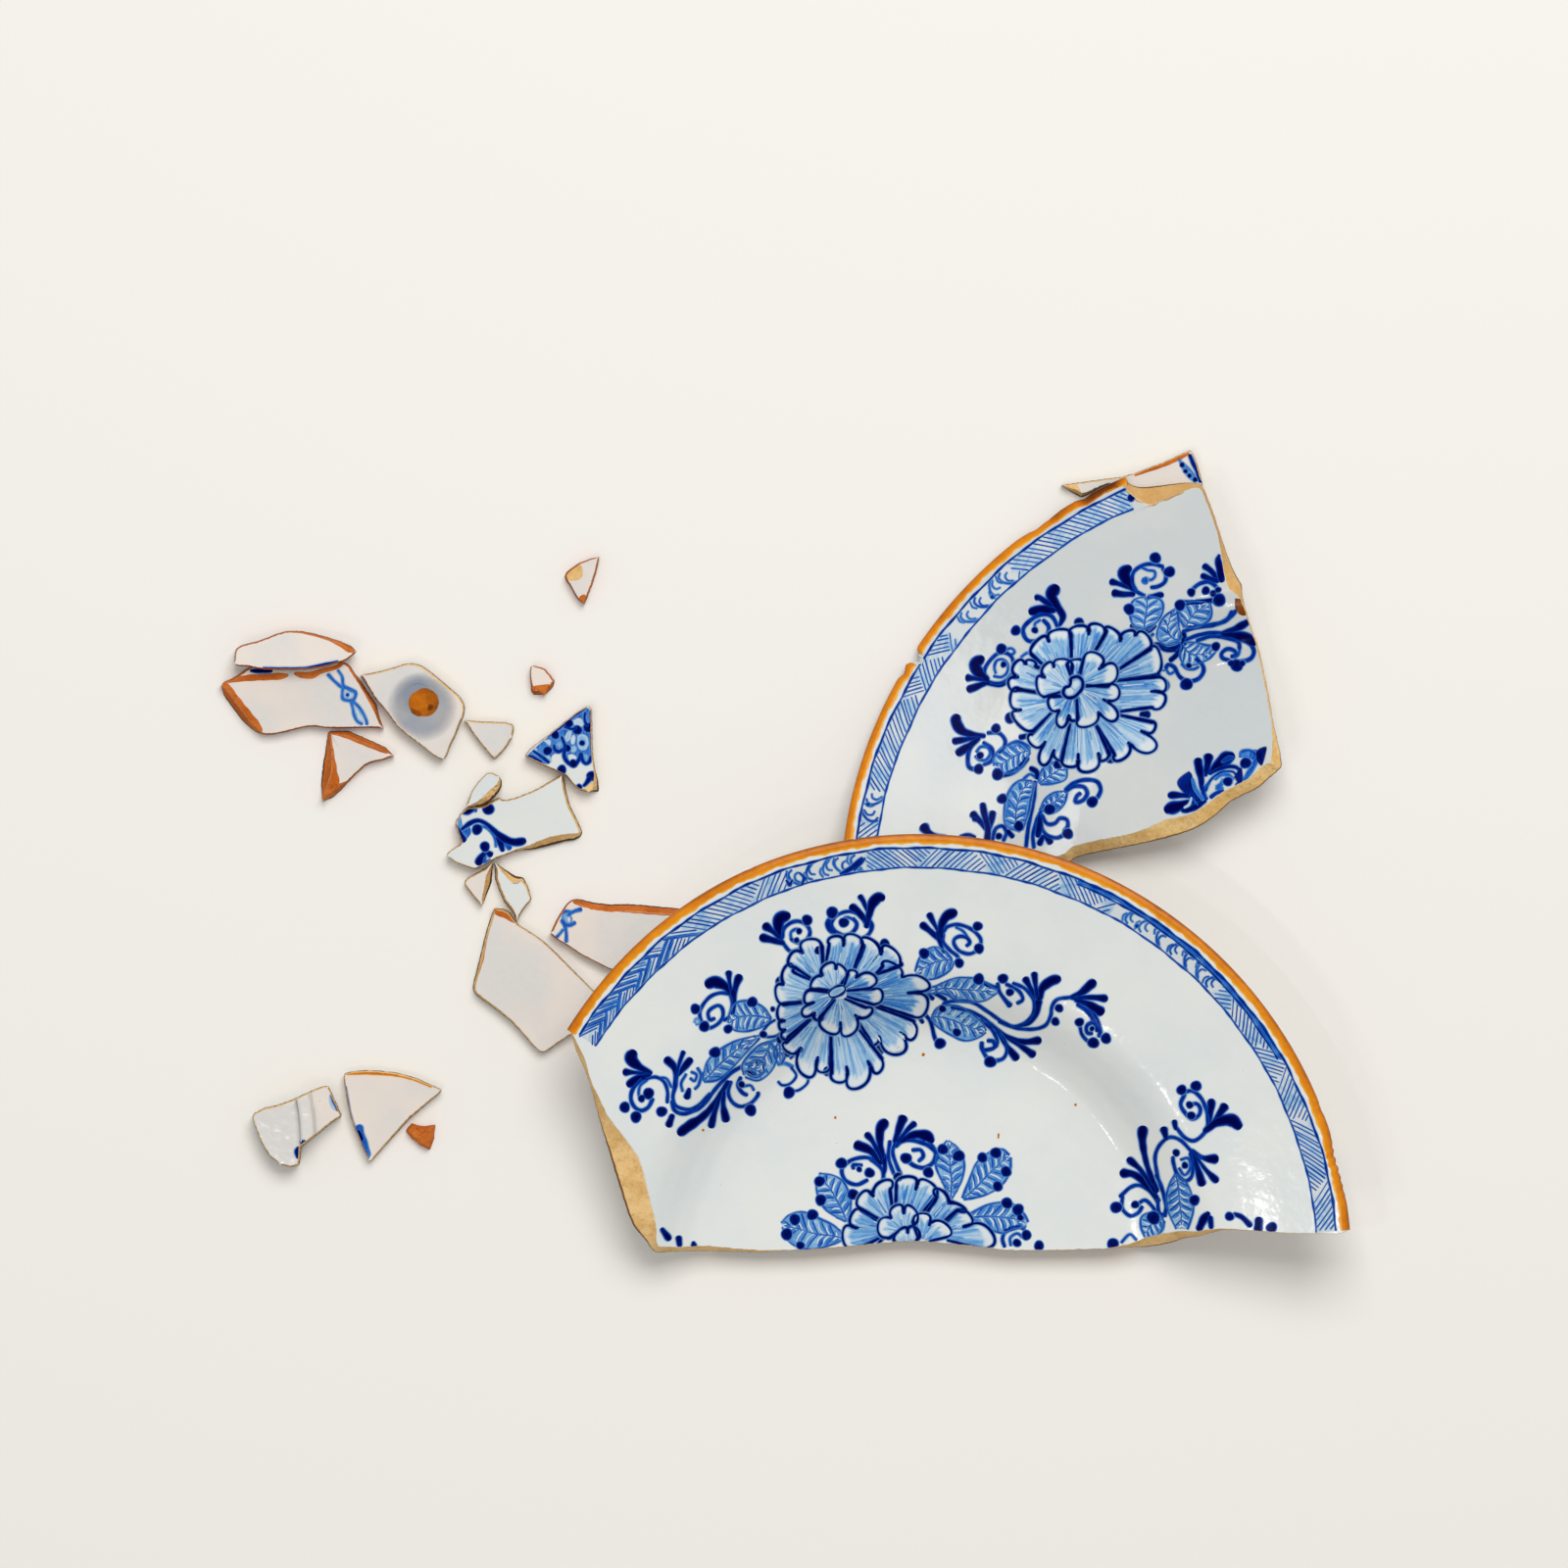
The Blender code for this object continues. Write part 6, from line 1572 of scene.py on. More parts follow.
def lying(outline, face_up, radius, bearing, lean=0.0, lean_bearing=0.0):
    """The dish turned so that its wall at a radius lies level over the outline's middle,
    glaze up or back up, and then leaned over towards a bearing."""
    points = np.array(outline)[:, :2]
    x, y = (points.min(axis=0) + points.max(axis=0)) / 2
    rise = front_height(radius + 6.0) - front_height(radius - 6.0)
    middle = (front_height(radius) + under_height(radius)) / 2
    over = turn(180.0, "X") if face_up == "back" else np.eye(4)
    leaning = turn(lean_bearing, "Z") @ turn(lean, "Y") @ turn(-lean_bearing, "Z")
    level = turn(math.degrees(math.atan2(rise, 12.0)), "Y") @ shift(-radius, 0.0, -middle)
    return shift(x, y, 0.0) @ leaning @ turn(bearing, "Z") @ over @ level


def broken_edges(side_a, side_b, count, seed, ragged=0.10):
    """The two sides of a break from tip to tip: outer points and the inner points, drawn
    in square to the edge by the broken width, both with a small waver."""
    loops = []
    for number, side in enumerate((side_a, side_b)):
        curve, at = walked(side, count)
        curve = softened(curve, 2)
        widened = np.abs(wander(seed + 10 * number, at, (0.9, 1.7, 3.1, 5.3), ragged * 2.2))
        curve[:, 2] += faded(count) * widened
        slip = faded(count) * wander(seed + 10 * number + 5, at, (1.1, 2.3, 4.7), ragged)
        loops.append((curve, slip))
    ring = np.concatenate([loops[0][0], loops[1][0][-2:0:-1]])
    slip = np.concatenate([loops[0][1], loops[1][1][-2:0:-1]])
    run = np.roll(ring, -1, axis=0)[:, :2] - np.roll(ring, 1, axis=0)[:, :2]
    run = unit(run)
    area = np.sum(ring[:, 0] * np.roll(ring[:, 1], -1) - np.roll(ring[:, 0], -1) * ring[:, 1])
    inward = np.stack([-run[:, 1], run[:, 0]], axis=1) * np.sign(area)
    outer = ring[:, :2] + inward * slip[:, None]
    inner = outer + inward * ring[:, 2:3]
    back = np.arange(2 * count - 2, count - 2, -1) % (2 * count - 2)
    first = slice(0, count)
    return (outer[first], inner[first]), (outer[back], inner[back])


def shard(
    node, outline, face_up, clay, seed, radius, bearing, lean=0.0, lean_bearing=0.0, back=under_height,
    counts=(110, 34, 34, 8), warm=False,
):
    """A piece broken all round. Its outline is cut at its two farthest points into two
    sides; each column is a loop over the top from one side to the other, down the wall,
    back underneath and up. Returns the placing, settled, and the top face's edge."""
    placing = lying(outline, face_up, radius, bearing, lean, lean_bearing)
    count, top_rows, under_rows, rows = counts
    ring = np.array(outline, float)
    apart = np.linalg.norm(ring[:, None, :2] - ring[None, :, :2], axis=2)
    tip, far = sorted(np.unravel_index(np.argmax(apart), apart.shape))
    sides = (ring[tip:far + 1], np.concatenate([ring[far:], ring[:tip + 1]])[::-1])
    (outer_a, inner_a), (outer_b, inner_b) = broken_edges(sides[0], sides[1], count, seed)
    room = np.linalg.norm(outer_a - outer_b, axis=1)[:, None] * 0.38
    for outer, inner in ((outer_a, inner_a), (outer_b, inner_b)):
        drawn = inner - outer
        wide = np.maximum(np.linalg.norm(drawn, axis=1, keepdims=True), 1e-9)
        inner[:] = outer + drawn * np.minimum(1.0, room / wide)
    upper, lower = (front_height, back) if face_up == "front" else (back, front_height)

    def standing(line, side):
        return plumb(placing, line[:, 0], line[:, 1], side)[0]

    tops = standing(inner_a, upper), standing(inner_b, upper)
    feet = standing(outer_a, lower), standing(outer_b, lower)

    at = np.concatenate([[0], np.cumsum(np.linalg.norm(np.diff(outer_a, axis=0), axis=1))])
    top = laid(tops[0], tops[1], top_rows, upper)
    down = wall_rows(tops[1], feet[1], rows, seed + 40, 0.14, at)
    under = laid(feet[1], feet[0], under_rows, lower)
    up = wall_rows(feet[0], tops[0], rows, seed + 60, 0.14, at)
    grid = np.concatenate([top, down[:, 1:-1], under, up[:, 1:-1]], axis=1)
    t = np.linspace(0, 1, rows)
    through = np.concatenate([np.zeros(top_rows), t[1:-1], np.ones(under_rows), 1 - t[1:-1]])
    parts = np.repeat([0, 2, 1, 2], [top_rows - 1, rows - 1, under_rows - 1, rows - 1])
    placed = moved(placing, *np.moveaxis(grid, -1, 0))
    settled = shift(0.0, 0.0, -placed[..., 2].min()) @ placing
    placed = moved(settled, *np.moveaxis(grid, -1, 0))
    glazes = (front_glaze, under_glaze) if face_up == "front" and not warm else (under_glaze, front_glaze)
    through = np.broadcast_to(through, grid.shape[:2])
    made = shell(node + "_body", placed, True, parts, (*glazes, clay), through=through)
    fit(made, "white_glaze" if face_up == "front" else "back_glaze", node)
    return settled, np.concatenate([placed[:, 0, :2], placed[-2:0:-1, top_rows - 1, :2]])


SPRIG = [
    (-118.3, 10.0, 0.5), (-116.2, 13.6, 0.5), (-113.8, 15.9, 0.8), (-108.0, 16.3, 0.8),
    (-104.4, 18.3, 0.8), (-102.4, 19.4, 0.8), (-100.7, 18.2, 0.4), (-96.9, 19.0, 0.5),
    (-93.2, 20.4, 0.5), (-89.4, 22.0, 0.6), (-85.7, 24.1, 0.6), (-81.9, 26.4, 0.7),
    (-79.9, 27.3, 0.8), (-78.9, 25.6, 1.0), (-78.2, 21.3, 1.0), (-76.8, 16.1, 1.0),
    (-74.4, 11.4, 1.0), (-72.4, 7.0, 1.0), (-72.8, 5.3, 1.6), (-74.9, 4.0, 2.4),
    (-78.6, 3.5, 2.6), (-82.9, 2.3, 3.0), (-87.6, 1.1, 2.6), (-91.3, 0.4, 1.6),
    (-95.1, 0.3, 0.7), (-98.8, -1.0, 0.5), (-103.5, -2.7, 0.5), (-107.3, -5.0, 0.5),
    (-110.8, -6.6, 0.5), (-112.4, -6.2, 0.5), (-118.1, -4.1, 0.5), (-120.9, -1.9, 0.5),
    (-121.3, -1.0, 0.5), (-119.0, 0.9, 0.5), (-115.7, 2.8, 0.5), (-116.7, 5.3, 0.5),
]
SPRIG_CHIP = [
    (-114.3, 15.9, 0.8), (-113.1, 19.0, 0.5), (-112.0, 21.8, 0.4), (-110.1, 24.6, 0.4),
    (-107.7, 27.2, 0.4), (-106.3, 28.2, 0.4), (-104.5, 28.0, 0.4), (-102.3, 26.9, 0.6),
    (-101.3, 25.3, 1.2), (-101.4, 23.2, 2.0), (-102.6, 20.8, 2.8), (-105.9, 17.3, 3.4),
    (-109.2, 16.1, 2.8), (-112.4, 15.8, 1.6),
]
SPLIT_RIGHT = [
    (-104.0, -3.8, 1.2), (-100.5, -6.4, 2.6), (-96.6, -8.9, 2.8), (-95.1, -9.2, 2.6),
    (-93.7, -9.4, 1.6), (-92.0, -12.6, 0.7), (-90.6, -17.4, 0.5), (-93.2, -20.4, 0.5),
    (-94.9, -23.0, 0.5), (-95.8, -25.3, 0.6), (-98.0, -21.2, 0.9), (-100.7, -18.0, 1.0),
    (-102.6, -13.5, 1.0), (-103.8, -10.1, 1.0),
]
SPLIT_LEFT = [
    (-104.6, -4.0, 1.6), (-109.4, -7.2, 0.7), (-113.5, -9.4, 0.6), (-114.8, -10.8, 0.6),
    (-114.9, -11.9, 0.6), (-112.3, -15.5, 0.6), (-109.5, -18.7, 0.6), (-108.3, -19.5, 0.8),
    (-106.8, -15.7, 1.4), (-105.0, -11.2, 2.4),
]
PAINTED = [
    (-70.1, 52.4, 0.4), (-69.0, 50.9, 0.4), (-68.9, 45.2, 0.5), (-68.8, 38.2, 0.5),
    (-68.4, 32.6, 0.5), (-67.6, 28.3, 0.6), (-66.7, 25.1, 1.6), (-66.5, 21.4, 2.6),
    (-70.2, 21.1, 1.2), (-73.5, 21.9, 0.5), (-75.8, 23.9, 0.5),
    (-78.1, 26.9, 0.5), (-83.8, 29.5, 0.6), (-88.5, 31.6, 0.6), (-92.0, 33.5, 0.5),
    (-93.1, 34.4, 0.4), (-91.3, 36.8, 0.4), (-83.3, 42.9, 0.4), (-78.6, 46.7, 0.4),
    (-73.9, 50.4, 0.4),
]
PLAIN = [
    (-114.7, 47.1, 0.5), (-109.8, 46.6, 0.6), (-100.0, 46.3, 0.6),
    (-97.3, 45.4, 0.7), (-97.0, 43.8, 0.7), (-97.6, 40.9, 0.6), (-99.1, 38.2, 0.6),
    (-101.1, 35.5, 0.6), (-104.1, 32.8, 0.6), (-107.2, 36.4, 0.5), (-110.3, 40.2, 0.5),
    (-112.5, 43.3, 0.5),
]
FAN = [
    (-158.2, -79.9, 0.4), (-156.1, -79.3, 0.5), (-151.3, -78.7, 0.6), (-145.9, -78.8, 0.6),
    (-138.9, -79.6, 0.6), (-132.4, -81.4, 0.6), (-127.0, -83.8, 0.5), (-122.9, -85.7, 0.4),
    (-123.7, -87.0, 0.5), (-128.1, -90.7, 0.6), (-134.5, -96.2, 0.7), (-141.0, -103.4, 0.7),
    (-145.9, -108.8, 0.6), (-148.3, -111.6, 0.4), (-149.1, -111.2, 0.4), (-151.3, -106.9, 0.5),
    (-154.0, -100.4, 0.5), (-155.9, -95.0, 0.5), (-157.2, -88.5, 0.5), (-158.0, -83.1, 0.5),
]
UPPER_CRUMB = [
    (-78.9, 99.1, 0.7), (-78.2, 100.2, 0.7), (-75.5, 102.4, 0.7), (-73.3, 103.7, 0.6),
    (-69.5, 105.1, 0.5), (-66.4, 105.8, 0.5), (-66.9, 102.2, 0.6),
    (-68.4, 97.0, 0.6), (-70.1, 92.5, 0.6), (-71.7, 88.5, 0.7), (-74.4, 90.6, 0.6),
    (-76.3, 94.2, 0.5), (-78.5, 97.4, 0.8),
]
SMALL_CRUMB = [
    (-91.3, 63.9, 0.4), (-91.0, 66.2, 0.4), (-90.4, 66.7, 0.4), (-87.2, 66.0, 0.5),
    (-86.1, 65.6, 0.5), (-83.8, 63.2, 0.6), (-82.3, 60.9, 0.8), (-83.1, 58.7, 1.4),
    (-84.4, 57.5, 2.2), (-85.7, 56.2, 2.4), (-89.8, 56.1, 2.0), (-90.9, 57.5, 0.9),
    (-91.1, 60.9, 0.6),
]
sprig = shard("sprig_shard", SPRIG, "front", shard_clay, 101, 126.0, 200.0)
shard("sprig_chip", SPRIG_CHIP, "front", shard_clay, 102, 128.0, 120.0, 32.0, 122.0, counts=FEW)
shard("split_shard_right", SPLIT_RIGHT, "front", shard_clay, 103, 126.0, 60.0, counts=FEW)
shard("split_shard_left", SPLIT_LEFT, "front", shard_clay, 104, 126.0, 150.0, counts=FEW, warm=True)
painted = shard("painted_shard", PAINTED, "front", shard_clay, 105, 30.0, 100.0)
shard("plain_shard", PLAIN, "front", shard_clay, 106, 120.0, 90.0, counts=FEW, warm=True)
fan = shard("fan_shard", FAN, "front", shard_clay, 107, 126.0, 95.0, warm=True)
upper_crumb = shard("upper_crumb", UPPER_CRUMB, "front", red_clay, 108, 124.0, 20.0, counts=FEW, warm=True)
small_crumb = shard(
    "small_crumb", SMALL_CRUMB, "front", red_clay, 109, 124.0, 70.0, counts=(60, 18, 18, 8), warm=True,
)


# ---------------------------------------------------------------------------
# The shards that lie back up: their undersides show a pinker, thinner glaze over the
# same earthenware, and one keeps a length of the turned foot ring.

CORNER = [
    (99.7, 131.6, 0.5), (105.0, 132.3, 0.6), (110.0, 133.0, 0.6), (116.0, 133.8, 0.6),
    (121.0, 134.4, 0.6), (126.0, 135.8, 0.5), (131.0, 137.8, 0.4), (136.0, 139.6, 0.4),
    (141.0, 142.0, 0.4), (146.1, 144.2, 0.5), (147.2, 142.4, 0.5), (148.4, 139.4, 0.5),
    (149.4, 136.0, 0.6), (150.4, 132.6, 0.6), (149.6, 129.2, 0.5), (140.0, 127.6, 0.5),
    (124.0, 128.4, 0.5), (119.8, 129.8, 0.5), (117.6, 131.9, 0.5), (114.6, 131.0, 0.6),
    (109.6, 128.2, 1.0), (107.0, 127.0, 1.4), (103.4, 128.8, 1.6), (101.0, 130.4, 0.9),
]
MARKED = [
    (-75.7, -17.2, 0.5), (-72.9, -17.3, 2.0), (-69.0, -18.4, 2.6), (-62.7, -19.2, 2.7),
    (-57.1, -19.0, 2.6), (-50.4, -19.4, 2.6), (-43.6, -20.1, 2.4), (-37.4, -20.6, 2.2),
    (-31.0, -24.5, 1.0), (-34.0, -33.0, 0.6), (-44.0, -39.5, 0.6), (-54.0, -44.0, 0.6),
    (-62.5, -42.6, 0.4), (-67.3, -40.1, 0.4), (-72.9, -37.3, 0.4), (-77.4, -34.2, 0.4),
    (-81.3, -32.0, 0.5), (-83.5, -30.3, 0.6), (-83.9, -29.3, 0.8), (-81.9, -24.8, 0.8),
    (-79.1, -20.2, 0.7), (-77.4, -18.2, 0.6),
]
LARGE_BACK = [
    (-104.1, -20.5, 0.8), (-100.5, -20.7, 1.0), (-98.4, -22.0, 1.0), (-95.6, -26.3, 0.6),
    (-90.9, -29.2, 0.5), (-86.4, -32.3, 0.5), (-81.9, -36.5, 0.5), (-74.6, -43.9, 0.5),
    (-68.1, -50.4, 0.5), (-62.0, -57.0, 0.5), (-66.0, -63.6, 0.6), (-76.3, -65.8, 0.5),
    (-83.0, -70.3, 0.5), (-85.6, -72.4, 0.5), (-87.3, -72.5, 0.5), (-89.8, -70.4, 0.5),
    (-93.7, -65.9, 0.6), (-98.2, -61.1, 0.7), (-103.9, -56.6, 0.8), (-110.6, -51.8, 0.9),
    (-111.8, -50.1, 1.0), (-111.9, -48.4, 1.1), (-110.6, -43.3, 1.2), (-108.9, -36.6, 1.2),
    (-107.3, -29.8, 1.2), (-105.6, -24.2, 1.2),
]
SPOT = [
    (-152.0, 63.3, 0.6), (-147.7, 64.1, 0.7), (-143.7, 65.0, 0.7), (-139.3, 66.3, 0.7),
    (-135.7, 67.5, 0.7), (-133.0, 67.5, 0.8), (-130.4, 66.8, 0.8), (-127.2, 64.7, 0.8),
    (-123.2, 61.4, 0.8), (-119.2, 58.0, 0.8), (-116.5, 55.6, 0.8), (-114.9, 53.1, 0.7),
    (-114.5, 51.1, 0.6), (-115.3, 47.6, 0.6), (-116.2, 46.2, 0.6), (-117.6, 42.2, 0.6),
    (-119.9, 37.7, 0.5), (-121.0, 34.4, 0.5), (-122.2, 32.9, 0.5), (-123.7, 33.1, 0.5),
    (-125.9, 34.3, 0.5), (-130.8, 38.2, 0.5), (-136.2, 42.2, 0.5), (-139.6, 45.4, 0.5),
    (-141.3, 48.0, 0.5), (-144.4, 52.0, 0.5), (-146.2, 53.8, 0.5), (-149.2, 58.6, 0.5),
]
RIBBON = [
    (-202.2, 59.8, 0.8), (-201.3, 60.9, 0.7), (-198.5, 61.9, 1.0), (-191.4, 66.6, 0.8),
    (-182.0, 66.8, 0.8), (-172.0, 67.0, 0.8), (-160.0, 68.4, 0.8), (-157.2, 67.6, 0.8),
    (-155.6, 66.4, 0.9), (-154.2, 63.8, 1.0), (-152.9, 62.4, 1.1), (-150.0, 57.9, 1.1),
    (-146.4, 52.8, 1.1), (-145.4, 48.3, 1.0), (-143.8, 44.0, 0.8), (-150.1, 44.3, 0.5),
    (-156.7, 44.1, 0.5), (-163.7, 44.1, 0.5), (-169.4, 44.8, 0.5), (-173.6, 44.2, 0.5),
    (-177.8, 43.0, 0.5), (-182.5, 42.0, 0.5), (-186.0, 41.6, 0.6), (-188.1, 42.1, 0.8),
    (-190.0, 42.9, 1.4), (-194.2, 46.4, 1.9), (-197.5, 50.7, 2.1), (-200.6, 54.9, 2.1),
    (-201.5, 56.5, 1.8), (-201.8, 57.7, 1.4),
]
LENS = [
    (-197.3, 71.3, 0.6), (-196.8, 72.7, 0.6), (-194.7, 74.1, 0.6), (-190.0, 75.2, 0.6),
    (-187.2, 76.1, 0.6), (-182.0, 78.2, 0.6), (-179.2, 79.0, 0.6), (-175.9, 79.2, 0.7),
    (-172.2, 78.9, 0.8), (-168.4, 78.1, 0.9), (-163.7, 76.8, 0.9), (-159.0, 75.3, 0.9),
    (-155.3, 73.6, 1.2), (-153.4, 71.6, 0.6), (-155.8, 69.4, 0.5),
    (-157.9, 68.2, 0.5), (-163.7, 66.4, 0.5), (-169.4, 65.3, 0.5), (-175.9, 65.0, 0.5),
    (-182.5, 65.0, 0.5), (-187.2, 65.2, 0.5), (-192.8, 66.3, 0.5), (-196.4, 66.4, 0.5),
    (-197.3, 67.3, 0.5),
]
WEDGE = [
    (-163.7, 43.1, 1.0), (-156.7, 43.3, 1.6), (-149.7, 40.3, 1.6), (-143.1, 37.3, 1.4),
    (-140.0, 34.1, 0.7), (-143.5, 32.8, 0.6), (-148.7, 31.6, 0.6),
    (-150.6, 30.5, 0.6), (-153.4, 27.9, 0.6), (-156.2, 25.1, 0.7), (-159.0, 22.0, 1.4),
    (-161.9, 19.4, 1.8), (-165.9, 17.7, 2.4), (-166.3, 24.4, 3.4),
    (-165.6, 31.4, 3.4), (-164.9, 35.1, 2.6), (-164.4, 38.9, 1.6),
]
FOOT_RING = [
    (-191.1, -95.5, 0.5), (-190.4, -94.2, 0.6), (-186.7, -92.2, 0.6), (-182.1, -91.2, 0.6),
    (-176.7, -89.3, 0.6), (-172.3, -87.2, 0.6), (-168.0, -85.3, 0.6), (-165.3, -84.3, 0.6),
    (-163.6, -84.5, 0.6), (-162.4, -86.9, 0.5), (-160.5, -91.2, 0.5), (-158.8, -95.1, 0.5),
    (-162.6, -97.7, 0.6), (-166.4, -100.9, 0.7), (-170.2, -103.9, 0.8), (-173.4, -106.3, 0.8),
    (-173.5, -109.6, 0.7), (-174.2, -112.9, 0.7), (-177.2, -113.6, 0.7), (-181.0, -112.5, 0.6),
    (-184.8, -109.6, 0.6), (-187.5, -105.2, 0.6), (-189.6, -99.9, 0.5),
]
FOOT = [(72.4, 3.4), (72.9, 0.5), (73.8, 0.0), (76.6, 0.0), (77.6, 0.5), (78.2, 3.6)]
footed_height = smooth_height([point for point in UNDER if not 72 < point[0] < 79] + FOOT)
corner = shard("corner_shard", CORNER, "back", shard_clay, 111, 130.0, 120.0)
marked = shard("marked_shard", MARKED, "back", red_clay, 112, 126.0, 80.0)
large_back = shard("large_back_shard", LARGE_BACK, "back", shard_clay, 113, 126.0, 215.0)
spot = shard("spot_shard", SPOT, "back", shard_clay, 114, 36.0, 120.0)
ribbon = shard("ribbon_shard", RIBBON, "back", red_clay, 115, 128.0, 100.0)
lens = shard("lens_shard", LENS, "back", red_clay, 116, 128.0, 95.0, 24.0, 92.0)
wedge = shard("wedge_shard", WEDGE, "back", red_clay, 117, 122.0, 30.0)
footed = shard(
    "foot_ring_shard", FOOT_RING, "back", shard_clay, 118, 71.0, 4.0, back=footed_height,
    counts=(130, 110, 34, 8),
)


# ---------------------------------------------------------------------------
# What else the shards carry: bits of the blue painting that the breaks cut off, a spot
# of iron in a grey halo, and places where the glaze has flaked off the clay.

def stain_material():
    """A grey-blue smoke stain in the glaze, thicker and thinner in clouds."""
    made, place = material("smoke_stain", (152, 164, 180))
    cloud = place.noise(120.0, 3.0, 0.55)
    smoky = (place.carried("tone") + (cloud - 0.5) * 0.6).step(0.2, 0.8)
    color = smoky.mix((182, 182, 182), (140, 156, 182))
    cover = place.carried("cover") * (0.56 + cloud * 0.3)
    return join(made, Base_Color=color, Alpha=cover, Roughness=0.12, Specular_IOR_Level=0.15)


smoke_stain = stain_material()

sprig_painting = Painting(41)
sprig_painting.blot(
    [(-117.4, 12.4), (-116.4, 13.4), (-115.6, 10), (-115, 7.6), (-116.6, 8.6)], (0.42, 0.5), 0,
)
sprig_painting.blot([(-116, 8), (-113.6, 9.6), (-112.4, 7), (-113.4, 5), (-115, 3.6)], (0.62, 0.66), 0)
sprig_painting.drops(
    [(-118.2, 9.8, 1.2), (-117, 7, 2.2), (-115.7, 4.8, 2.8), (-114.8, 3.9, 2.4)],
    [(-116, 14.2, 1.6), (-113.8, 14.4, 2.6), (-112, 15, 2.2)],
    [(-115.8, 7.8, 1.0), (-113.4, 9.6, 1.6), (-111, 10.8, 1.7), (-109, 10.8, 1.4), (-106.6, 9.6, 1.5),
     (-104.4, 7.6, 1.8), (-102.6, 6, 2.3), (-100, 4.2, 2.8), (-97, 3.2, 2.6), (-94.6, 3.4, 3.0),
     (-93.2, 3.8, 2.4)],
    [(-103, 5.6, 1.8), (-101.7, 2.6, 2.4), (-101, 0.2, 1.8)],
    [(-107.4, -0.6, 1.4), (-108.9, -2.4, 2.4), (-109.8, -4.4, 2.7)],
    [(-106.6, -0.4, 1.4), (-105.2, -1.4, 2.2)],
)
sprig_painting.strokes(
    [(-109, 9.2, 0.6), (-106.6, 8.2, 0.9), (-104.6, 6.2, 0.9), (-103.7, 4, 0.8), (-103.5, 1.4, 0.7)],
    [(-101.2, 3.6, 1.2), (-99.6, 2.2, 1.3), (-98.4, 1, 2.0)],
    [(-107.4, -1.6, 1.4), (-108, -4, 1.6)],
    [(-107, -4.2, 1.4), (-105.4, -3.2, 1.0)],
    [(-111.6, 14.8, 1.4), (-110.4, 14.6, 1.2)],
    tone=0.66, layer=1,
)
sprig_painting.dots((-110.2, 7.8, 1.9), (-106.2, 15.3, 2.2), (-107.4, 1.6, 1.8))
sprig_painting.drape("sprig_painting", *sprig)

petals = Painting(42)
petals.blot([(-92, 34.6), (-88, 38.2), (-83.6, 41.8), (-80, 44.4), (-77.2, 41), (-79, 36.6), (-83, 34.6),
             (-84.4, 31.6), (-87.6, 31.6), (-90.4, 32.8)], (0.50, 0.56))
petals.blot([(-79, 45.4), (-74, 49.4), (-70.2, 51.2), (-69.2, 46), (-69.2, 38), (-69.6, 32.4), (-72, 31.2),
             (-74, 33), (-76, 30.8), (-79, 33), (-79.6, 38), (-78.6, 42)], (0.52, 0.62))
for patch, tones in (
    ([(-76, 46.6), (-73.8, 47.8), (-71.8, 46.6), (-72.4, 44.8), (-74.8, 44.9)], (0.22, 0.12)),
    ([(-78.8, 41), (-77.6, 43), (-76.2, 43.4), (-76.6, 40.6), (-78, 39.2)], (0.26, 0.2)),
    ([(-76.6, 40.6), (-75.6, 41.8), (-74.8, 40.8), (-75.4, 38.4), (-76.4, 38.6)], (0.1, 0.16)),
    ([(-74.2, 41.4), (-72.4, 42), (-70.6, 41), (-70.2, 38.2), (-71.4, 36.4), (-73.4, 36.6), (-74.2, 39)],
     (0.4, 0.2)),
    ([(-76.8, 37.6), (-74.8, 37.8), (-74.6, 36), (-76.2, 35.4)], (0.24, 0.3)),
    ([(-77.6, 34.4), (-76, 34.8), (-74.4, 33.6), (-75.4, 32.2), (-77, 32.2)], (0.03, 0.08)),
    ([(-72, 34.6), (-70.6, 35), (-70.2, 33), (-71.2, 32)], (0.3, 0.46)),
    ([(-86.4, 39.8), (-84, 40), (-83.8, 38), (-84.8, 38.2)], (0.14, 0.2)),
    ([(-82.2, 38.4), (-80.4, 39.6), (-79.4, 38), (-80.6, 36.8)], (0.34, 0.44)),
    ([(-90.6, 36.4), (-89, 37.2), (-88.6, 35.8), (-89.8, 35.4)], (0.16, 0.2)),
    ([(-86, 35), (-84, 34), (-83.4, 32), (-85, 32.2)], (0.3, 0.2)),
):
    petals.blot(patch, tones, 2, soft=0.25)
petals.strokes(
    [(-79.8, 41, 1.0), (-78.6, 37.4, 1.2), (-79, 34.4, 1.4), (-77.6, 31.8, 1.4), (-75.5, 31, 1.6),
     (-73.8, 32.6, 1.3), (-73, 35, 1.4)],
    [(-72.6, 35, 1.0), (-72.4, 32.8, 1.2), (-71.2, 31.4, 1.2), (-69.8, 32.2, 1.2), (-69.3, 34, 1.2)],
    [(-82.6, 38, 1.0), (-82.2, 36.4, 1.2), (-80.8, 35.7, 1.3), (-79.2, 36.6, 1.2)],
    [(-90, 36, 0.9), (-86.6, 33.6, 1.3), (-84.4, 31.8, 1.2)],
    [(-91.6, 33.8, 2.2), (-90, 33.2, 1.8), (-87, 32, 1.0)],
    [(-78.8, 44.6, 1.0), (-76.2, 43.8, 1.0), (-74.6, 44.2, 1.2)],
    [(-71.4, 49.6, 1.0), (-71.6, 47, 0.9), (-70.6, 45, 1.2)],
    [(-69.3, 50.4, 1.0), (-69.2, 46, 1.2), (-69.1, 39, 1.0), (-68.9, 33, 0.8)],
    [(-85, 41.2, 0.8), (-80, 44.6, 0.8), (-75.4, 48.6, 1.0), (-71.4, 51.4, 1.0)], tone=0.84, layer=5,
)
